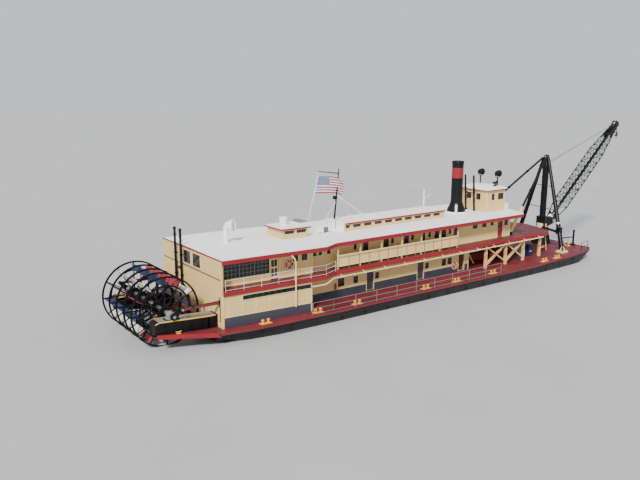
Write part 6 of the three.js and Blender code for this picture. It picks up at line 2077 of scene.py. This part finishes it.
def stack():
    """Riveted stack with a curb, a flared base, rings, a bare red band and a rolled top."""
    form = Form()
    black, red, inside, light = range(4)
    x, top, r = STACK["x"], STACK["top"], STACK["radius"]
    red_low, red_high = 8.95, 10.03

    def turn(profile, paint):
        form.turned(profile, (x, 0, 0), UP, 48, paint)

    turn([(1.0, ROOF), (1.0, ROOF + 0.17), (0.97, ROOF + 0.2), (0.9, ROOF + 0.2)], light)
    turn([(0.95, ROOF + 0.2), (0.95, ROOF + 0.34), (0.86, 5.85), (0.72, 6.15), (0.63, 6.4),
          (r + 0.03, 6.44), (r + 0.03, 6.54), (r, 6.56), (r, 7.6), (r + 0.012, 7.61), (r + 0.012, 7.69),
          (r, 7.7), (r, red_low)], black)
    turn([(r + 0.003, red_low), (r + 0.012, red_low + 0.01), (r + 0.012, red_low + 0.05),
          (r + 0.003, red_low + 0.06), (r + 0.003, red_high - 0.06), (r + 0.012, red_high - 0.05),
          (r + 0.012, red_high - 0.01), (r + 0.003, red_high)], red)
    form.turned([(r, red_high), (r, top - 0.3), (r + 0.03, top - 0.28), (r + 0.035, top - 0.03),
                 (r + 0.02, top), (r - 0.04, top), (r - 0.08, top - 0.04), (r - 0.08, red_high)], (x, 0, 0),
                UP, 48, black, closed=True)
    turn([(r - 0.03, red_high + 0.02), (r - 0.075, red_high + 0.04), (r - 0.075, red_high),
          (0.02, red_high - 0.01)], inside)
    for z in (7.65, red_low + 0.03, red_high - 0.03):
        for i in range(28):
            out = heading(2 * math.pi * i / 28)
            middle = Vector((x, 0, z))
            form.rod(middle + out * (r + 0.005), middle + out * (r + 0.028), 0.018, 6, 0.01,
                     red if z > red_low else black)
    for i in range(24):
        nut = Vector((x, 0, ROOF + 0.19)) + heading(2 * math.pi * i / 24) * 0.96
        form.rod(nut, nut + upward(0.05), 0.022, 6, paint=black)
    seam = heading(2.6)
    across = Vector((-seam.y, seam.x, 0))
    strap = [(-0.01, -0.05), (-0.01, 0.05), (0.012, 0.05), (0.012, -0.05)]
    form.loft([[Vector((x, 0, z)) + seam * (r + out) + across * u for out, u in strap]
               for z in (6.58, red_low)], black)
    built = form.piece("stack_built", "boat", "black_paint", BLACK_PAINT, RED_PAINT, RUST_PAINT,
                       WHITE_PAINT)
    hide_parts("stack")


PLATE = {"x": 29.4, "y": -1.0, "top": 6.34}
POST = {"x": 27.62, "y": 1.95, "top": 7.73, "stay": 6.61}


def stack_plate():
    """Light upright plate with a stiffened edge near the foot of the stack, and a post with its stay."""
    form = Form()
    x, y, top = PLATE["x"], PLATE["y"], PLATE["top"]
    form.block(x - 0.03, x + 0.03, y - 0.09, y + 0.11, ROOF + 0.03, top, 0, LEVEL)
    form.block(x - 0.05, x + 0.05, y + 0.09, y + 0.12, ROOF + 0.03, top, 0, LEVEL)
    form.block(x - 0.16, x + 0.16, y - 0.16, y + 0.18, ROOF + 0.01, ROOF + 0.05, 0, LEVEL)
    x, y, top, low = POST["x"], POST["y"], POST["top"], POST["stay"]
    form.turned([(0.14, ROOF + 0.02), (0.14, ROOF + 0.06), (0.095, ROOF + 0.08), (0.095, top - 0.05),
                 (0.12, top - 0.04), (0.12, top), (0.03, top + 0.03)], (x, y, 0), UP, 18)
    form.rod((x, y, low), (x + 1.04, y, low + 0.64), 0.022, 8)
    form.piece("stack_plate", "boat", "white_paint", WHITE_PAINT)


BOW_POST = {"x": 46.9, "y": -3.3, "top": 2.05, "bar": 1.26}


def bow_post():
    """Mooring post at the bow with its dark base, and the bar from the derrick's leg."""
    form = Form()
    black, grey = range(2)
    x, y, top = BOW_POST["x"], BOW_POST["y"], BOW_POST["top"]
    z = rise(DECK_SHEER, x)
    form.turned([(0.3, z - 0.01), (0.3, z + 0.12), (0.2, z + 0.16), (0.14, z + 0.3), (0.11, z + 0.34),
                 (0.11, top - 0.07), (0.15, top - 0.06), (0.15, top), (0.04, top + 0.05)], (x, y, 0), UP,
                20, black)
    leg, end = leg_point(-1, 0.13), Vector((x, y, BOW_POST["bar"]))
    form.bar(leg, end, 0.1, 0.12, black)
    for t in (0.3, 0.6):
        at = leg.lerp(end, t)
        form.rod(at, (at.x, at.y, rise(DECK_SHEER, at.x)), 0.035, 10, paint=grey)
    form.piece("bow_post", "boat", "black_paint", BLACK_PAINT, GREY_PAINT)


# Places on the foredeck, as x and y
REEL = (33.2, -2.6)
CAN = (38.1, -2.9)
CASK = (40.4, -2.0)
NAVY_LOCKER = {"from": 38.75, "to": 39.3, "starboard": -3.3, "port": -2.8, "high": 1.2}


def foredeck_gear():
    """Small gear under the upper deck's forward part: posts, braces, casks, a hose reel and lockers."""
    form = Form()
    white, cream, red, navy, orange, grey = range(6)
    deck = rise(DECK_SHEER, 35)
    for _, side in SIDES:
        form.block(28.84, 28.98, side * 3.0 - 0.07, side * 3.0 + 0.07, 0.15, LOWER_TOP + 0.01, white)
    form.bar((29.1, -2.5, LOWER_TOP), (30.7, -2.5, 0.25), 0.07, 0.09, cream)
    reel = Vector((*REEL, deck + 0.75))
    form.turned([(0.12, -0.14), (0.34, -0.14), (0.34, -0.11), (0.16, -0.1), (0.16, 0.1), (0.34, 0.11),
                 (0.34, 0.14), (0.12, 0.14)], reel, PORT, 28, red, closed=True)
    for y in (-0.19, 0.19):
        for x in (-0.22, 0.22):
            form.bar(reel + Vector((x, y, -0.74)), reel + Vector((0, y, 0)), 0.05, 0.05, red)
    form.rod(reel - Vector((0, 0.22, 0)), reel + Vector((0, 0.22, 0)), 0.04, 12, paint=grey)
    form.turned([(0.24, 0), (0.29, 0.1), (0.29, 0.7), (0.24, 0.84), (0.1, 0.88), (0.08, 1.1),
                 (0.02, 1.12)], (*CAN, deck), UP, 24, white)
    x0, x1, y0, y1 = (NAVY_LOCKER[end] for end in ("from", "to", "starboard", "port"))
    top = NAVY_LOCKER["high"]
    form.block(x0, x1, y0, y1, 0.02, top, navy, DECK_SHEER)
    form.block(x0 - 0.05, x1 + 0.05, y0 - 0.05, y1 + 0.05, top, top + 0.06, navy, DECK_SHEER)
    form.block(x0 + 0.1, x1 - 0.1, y0 - 0.03, y0 + 0.02, 0.5, 0.56, white, DECK_SHEER)
    cask = Vector((*CASK, rise(DECK_SHEER, CASK[0])))
    form.turned([(0.4, 0), (0.44, 0.08), (0.44, 0.85), (0.4, 0.93), (0.12, 0.98), (0.1, 1.05),
                 (0.02, 1.06)], cask, UP, 28, grey)
    for z in (0.3, 0.66):
        form.ring(cask + upward(z), UP, 0.46, 0.42, 0.05, 28, navy)
    form.block(39.86, 39.96, -3.75, -3.45, 0.02, 1.1, orange, DECK_SHEER)
    for _, side in SIDES:
        form.bar((39.7, side * 3.9, 0.95), (41.0, side * 3.6, 0.95), 0.07, 0.09, cream)
        form.bar((40.6, side * 3.9, LOWER_TOP - 0.02), (41.4, side * 3.6, 0.45), 0.08, 0.08, cream)
    form.piece("foredeck_gear", "boat", "white_paint", WHITE_PAINT, CREAM_TRIM, RED_BRIGHT, NAVY_PAINT,
               ORANGE_PAINT, GREY_PAINT)


STEAM_PIPES = {"x": 32.88, "y": [0.83, -0.33], "rake": 0.3, "top": 9.08, "radius": 0.1, "tie": 7.2}


def steam_pipes():
    """Two tall raked steam pipes behind the pilothouse, with collars, a tie and wall clips."""
    form = Form()
    s = STEAM_PIPES
    r = s["radius"]
    for y in s["y"]:
        foot = Vector((s["x"], y, roof_top(s["x"], y) + 0.004))
        head = Vector((s["x"] - s["rake"], y, s["top"]))
        length = (head - foot).length
        profile = [(0.18, 0.0), (0.18, 0.05), (0.12, 0.08), (r, 0.12)]
        for d in (1.25, 2.5):
            profile += band(r, d, 0.05, 0.03)
        profile += [(r, length), (r * 0.8, length), (r * 0.8, length - 0.1)]
        form.turned(profile, foot, head - foot, 24)
        at = foot.lerp(head, 0.52)
        form.bar(at, Vector((PILOTHOUSE["from"] - 0.05, y, at.z)), 0.05, 0.05)
    middle = s["x"] - s["rake"] * 0.5
    form.bar((middle, s["y"][1], s["tie"]), (middle, s["y"][0], s["tie"]), 0.07, 0.09)
    pipes = form.piece("steam_pipes_built", "boat", "black_paint", BLACK_PAINT)
    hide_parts("steam_pipes")


COWL = {"x": 3.4, "y": 0.35, "bend": 6.45}
COWL_MOUTH = (3.84, -0.18, 6.9)


def cowl_vent():
    """White cowl ventilator: collar, slender trunk, elbow and a wide hollow mouth with a rolled lip."""
    form = Form()
    x, y, bend = COWL["x"], COWL["y"], COWL["bend"]
    base = ROOF + rise(HOUSE_SHEER, x)
    form.turned([(0.34, 0.01), (0.34, 0.06), (0.24, 0.09), (0.2, 0.12), (0.2, 0.5), (0.225, 0.51),
                 (0.225, 0.57), (0.2, 0.58), (0.2, bend - base)], (x, y, base), UP, 28)
    mouth = Vector(COWL_MOUTH)
    throat = Vector((x, y, bend + 0.4))
    along = (mouth - throat).normalized()
    path = [Vector((x, y, bend - 0.05)), Vector((x, y, bend + 0.1)) + along * 0.02,
            Vector((x, y, bend + 0.24)) + along * 0.08, throat + along * 0.2, throat + along * 0.34]
    form.tube(path, [0.2, 0.22, 0.25, 0.3, 0.34], 32)
    form.turned([(0.02, -0.46), (0.26, -0.46), (0.37, -0.34), (0.46, -0.17), (0.5, -0.03), (0.53, -0.02),
                 (0.53, 0.03), (0.49, 0.03), (0.45, -0.06), (0.36, -0.24), (0.2, -0.38), (0.02, -0.41)],
                mouth, along, 40, closed=True)
    cowl = form.piece("cowl_vent_built", "boat", "white_paint", WHITE_PAINT)
    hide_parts("cowl_vent")


# Flagmast and flag

FLAGMAST = {"x": 14.08, "y": -0.25, "rake": 0.6, "top": 10.86, "gaff": 10.45}
HALYARD = {"head": (12.38, -0.3, 10.78), "foot": (12.25, 1.15, 6.011)}
FLAG = {"fore": 15.1, "top": 10.35, "under": 8.75, "stripes": 13, "canton": 0.42}


def flagmast():
    """Raked mast, white low down, with a gaff, a lantern box, its stays, and the flag's halyard."""
    form = Form()
    black, wire, white = range(3)
    x, y, rake, top = FLAGMAST["x"], FLAGMAST["y"], FLAGMAST["rake"], FLAGMAST["top"]
    base = Vector((x, y, ROOF + rise(HOUSE_SHEER, x)))
    truck = Vector((x + rake, y, top))

    def on_mast(z):
        return base.lerp(truck, (z - base.z) / (truck.z - base.z))

    form.turned([(0.2, 0.0), (0.2, 0.08), (0.13, 0.12), (0.11, 0.2)], base, UP, 20, white)
    form.rod(base + upward(0.02), on_mast(6.32), 0.088, 16, 0.082, white)
    form.rod(on_mast(6.32), truck, 0.084, 16, 0.045, black)
    form.turned([(0.045, 0), (0.06, 0.01), (0.06, 0.03), (0.02, 0.05)], truck - upward(0.05), UP, 14, black)
    head, foot = Vector(HALYARD["head"]), Vector(HALYARD["foot"])
    heel = Vector((x + rake * 0.9, y, FLAGMAST["gaff"]))
    form.rod(heel, head, 0.05, 12, 0.03, black)
    form.ball(head, 0.045, black)
    form.rod(head, foot, 0.022, 8, paint=wire)
    form.turned([(0.06, 0.0), (0.06, 0.03), (0.03, 0.05)], foot - upward(0.004), UP, 12, wire)
    stays = [(8.75, (17.4, 1.45, 6.15)), (8.6, (18.58, 1.43, 6.15)), (7.9, (12.62, -0.5, 6.03)),
             (8.5, (17.6, -1.3, 6.15))]
    for z, end in stays:
        form.rod(on_mast(z), end, 0.02, 8, paint=wire)
        form.turned([(0.06, -0.03), (0.06, 0.02), (0.03, 0.04)], end, UP, 10, wire)
    box = on_mast(8.3)
    form.block(box.x - 0.32, box.x - 0.05, box.y - 0.13, box.y + 0.13, 8.15, 8.45, black, LEVEL)
    form.ring(box, UP, 0.11, 0.06, 0.1, 20, black)
    built = form.piece("flagmast_built", "boat", "black_paint", BLACK_PAINT, WHITE_PAINT, WHITE_PAINT)
    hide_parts("flagmast")


def flag_point(u, v):
    """A point of the flying flag: u from hoist to fly, v from the under edge to the top."""
    head, foot = Vector(HALYARD["head"]), Vector(HALYARD["foot"])
    z = FLAG["under"] + (FLAG["top"] - FLAG["under"]) * v
    hoist = foot.lerp(head, (z - foot.z) / (head.z - foot.z))
    reach = (FLAG["fore"] - hoist.x) * (1 - 0.4 * v * v * u)
    loose = u * u
    wave = math.sin(8.5 * u + 2.6 * v) - math.sin(2.6 * v)
    fold = 0.06 * loose * v * math.sin(24 * u + 5 * v)
    return (hoist.x + 0.05 + reach * u + 0.5 * fold, hoist.y - 0.55 * u + (0.1 + 0.2 * v) * u * wave + fold,
            z - 0.3 * loose * u * (1 - v) - 0.22 * loose * v)


def flag():
    """The flag, a sheet that flies from its halyard: thirteen stripes and a canton of dots."""
    red, white, blue = range(3)
    columns, rows = 48, FLAG["stripes"] * 2
    points = [to_model(flag_point(i / columns, j / rows)) for j in range(rows + 1)
              for i in range(columns + 1)]
    faces, paints = [], []
    for j in range(rows):
        for i in range(columns):
            a = j * (columns + 1) + i
            faces.append([a, a + 1, a + columns + 2, a + columns + 1])
            stripe = j // 2
            if i == 0:
                paints.append(white)
            elif stripe >= 6 and i / columns < FLAG["canton"]:
                paints.append(blue)
            else:
                paints.append(white if stripe % 2 else red)
    mesh = bpy.data.meshes.new("flag_built")
    mesh.from_pydata(points, [], faces)
    for paint in (RED_CLOTH, WHITE_CLOTH, BLUE_CLOTH):
        mesh.materials.append(paint)
    mesh.polygons.foreach_set("material_index", paints)
    mesh.shade_smooth()
    obj = bpy.data.objects.new("flag_built", mesh)
    bpy.context.scene.collection.objects.link(obj)
    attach(obj, "boat")
    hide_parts("flag")


EXHAUST = {"x": -0.22, "y": (1.25, 2.3), "foot": 2.2, "top": 6.85, "radius": 0.1, "tie": 3.4}


def exhaust_pipes():
    """Two steam exhausts up the aft wall with bands, brackets, an elbow at the foot and flared ends."""
    form = Form()
    x, foot, top, r, tie = (EXHAUST[part] for part in ("x", "foot", "top", "radius", "tie"))
    for y in EXHAUST["y"]:
        profile = [(r * 0.8, foot), (r, foot + 0.02)]
        for z in (3.0, 4.7, 6.2):
            profile += band(r, z, 0.05, 0.035)
        profile += [(r, top - 0.2), (r + 0.025, top - 0.18), (r + 0.025, top - 0.01), (r * 0.8, top),
                    (r * 0.7, top - 0.04)]
        form.turned(profile, (x, y, 0), UP, 24)
        for z in (2.84, 4.54):
            form.block(x, -0.004, y - 0.03, y + 0.03, z - 0.03, z + 0.03)
    form.block(x - 0.04, x + 0.04, *EXHAUST["y"], tie, tie + 0.08)
    form.block(x, -0.004, 1.7, 1.85, tie, tie + 0.08)
    for y in EXHAUST["y"]:
        form.tube([(x, y, foot + 0.05), (x, y, foot - 0.1), (x + 0.05, y, foot - 0.2),
                   (x + 0.14, y, foot - 0.24), (-0.01, y, foot - 0.24)], r * 0.9, 16)
    built = form.piece("exhaust_pipes_built", "boat", "black_paint", BLACK_PAINT)
    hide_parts("exhaust_pipes")


# Floor, light and camera

def floor():
    """Plain pale floor at the waterline, and beyond the boat's reach."""
    mesh = bpy.data.meshes.new("floor")
    z = to_model((0, 0, WATERLINE))[2]
    reach = 400
    points = [(-reach, -reach, z), (reach, -reach, z), (reach, reach, z), (-reach, reach, z)]
    mesh.from_pydata(points, [], [(0, 1, 2, 3)])
    paint = Paint("floor_paint", roughness=0.75)
    shade = paint.mottle(0.2, 3, (0.40, 0.40, 0.40), (0.43, 0.43, 0.43))
    mesh.materials.append(paint.finish(shade))
    obj = bpy.data.objects.new("floor", mesh)
    bpy.context.scene.collection.objects.link(obj)


def light():
    """A soft sun from aft and starboard, under a pale sky."""
    sun = bpy.data.lights.new("sun", "SUN")
    sun.energy = 5.4
    sun.angle = math.radians(8)
    sun.color = (1.0, 0.97, 0.92)
    obj = bpy.data.objects.new("sun", sun)
    towards = Vector((-0.62, -0.52, 0.66)).normalized()
    obj.rotation_mode = "QUATERNION"
    obj.rotation_quaternion = towards.to_track_quat("Z", "Y")
    bpy.context.scene.collection.objects.link(obj)
    world = bpy.data.worlds.new("sky")
    world.use_nodes = True
    back = world.node_tree.nodes["Background"]
    back.inputs["Color"].default_value = (0.80, 0.86, 0.94, 1)
    back.inputs["Strength"].default_value = 0.95
    bpy.context.scene.world = world


# Camera fitted to the photo: place in full-size metres, and angles in degrees
CAMERA_PLACE = (-22.81, -48.69, 17.34)
CAMERA_YAW = 53.84
CAMERA_DOWN = 12.0
CAMERA_ROLL = 0.13
CAMERA_LENS = 38.38


def camera():
    """The camera, turned by its yaw, its dip below level and its roll."""
    yaw, down, roll = (math.radians(a) for a in (CAMERA_YAW, CAMERA_DOWN, CAMERA_ROLL))
    ahead = Vector((math.cos(yaw) * math.cos(down), math.sin(yaw) * math.cos(down), -math.sin(down)))
    right = ahead.cross(upward(1)).normalized()
    up = right.cross(ahead)
    right, up = (right * math.cos(roll) + up * math.sin(roll), up * math.cos(roll) - right * math.sin(roll))
    lens = bpy.data.cameras.new("camera")
    lens.lens = CAMERA_LENS
    lens.sensor_width = 36
    lens.clip_start = 0.1
    lens.clip_end = 1200
    obj = bpy.data.objects.new("camera", lens)
    place = Vector(to_model(CAMERA_PLACE))
    obj.matrix_world = Matrix([[right[i], up[i], -ahead[i], place[i]] for i in range(3)] + [[0, 0, 0, 1]])
    bpy.context.scene.collection.objects.link(obj)
    bpy.context.scene.camera = obj


# CAD pieces that stay as they are, and their paint
KEPT = {"hull": HULL, "upper_deck": UPPER_DECK_PAINT, "roof": ROOF_PAINT}
for node in ("aft_wall", "engine_bulkhead", "lower_cabin_front", "upper_bulkhead", "upper_cabin_front",
             "pilothouse"):
    KEPT[node] = CREAM_PAINT
for name, _ in SIDES:
    for node in ("engine_room", "lower_cabin", "bulwark", "truss", "gallery", "upper_cabin"):
        KEPT[f"{node}_{name}"] = CREAM_PAINT
    KEPT[f"engine_{name}"] = RED_PAINT


def paint_kept():
    """Paints the CAD pieces that stay."""
    for node, material in KEPT.items():
        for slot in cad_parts[node].material_slots:
            slot.material = material


DECKS_AND_ENDS = [
    paint_kept, hull_straps, main_deck, mast_step, bitts, capstan, deck_rails, upper_rails, fender_pipes,
    downspouts, aft_wall_trim, front_trim,
]
EACH_SIDE = [
    engine_room_trim, lower_cabin_trim, gallery_trim, upper_cabin_trim, wheel_beam, pitman, engine_trim,
    back_stay, bulwark_trim,
]
DOORS_AND_WHEEL = [doors, paddle_wheel, wheel_shaft, stern_fittings]
GEAR_AND_ROOF = [
    boiler_built, winch_built, a_frame, a_frame_head, mast, boom, boom_ropes, hook_block, skylight,
    clerestory, pilothouse_trim, pilothouse_roof, roof_locker, stack, stack_plate, bow_post, foredeck_gear,
    life_rings, steam_pipes, cowl_vent, flagmast, flag, exhaust_pipes, floor, light, camera,
]
for build in DECKS_AND_ENDS:
    build()
for name, side in SIDES:
    for build in EACH_SIDE:
        build(name, side)
for build in DOORS_AND_WHEEL:
    build()
for name, y in RUDDERS:
    rudder(name, y)
for build in GEAR_AND_ROOF:
    build()
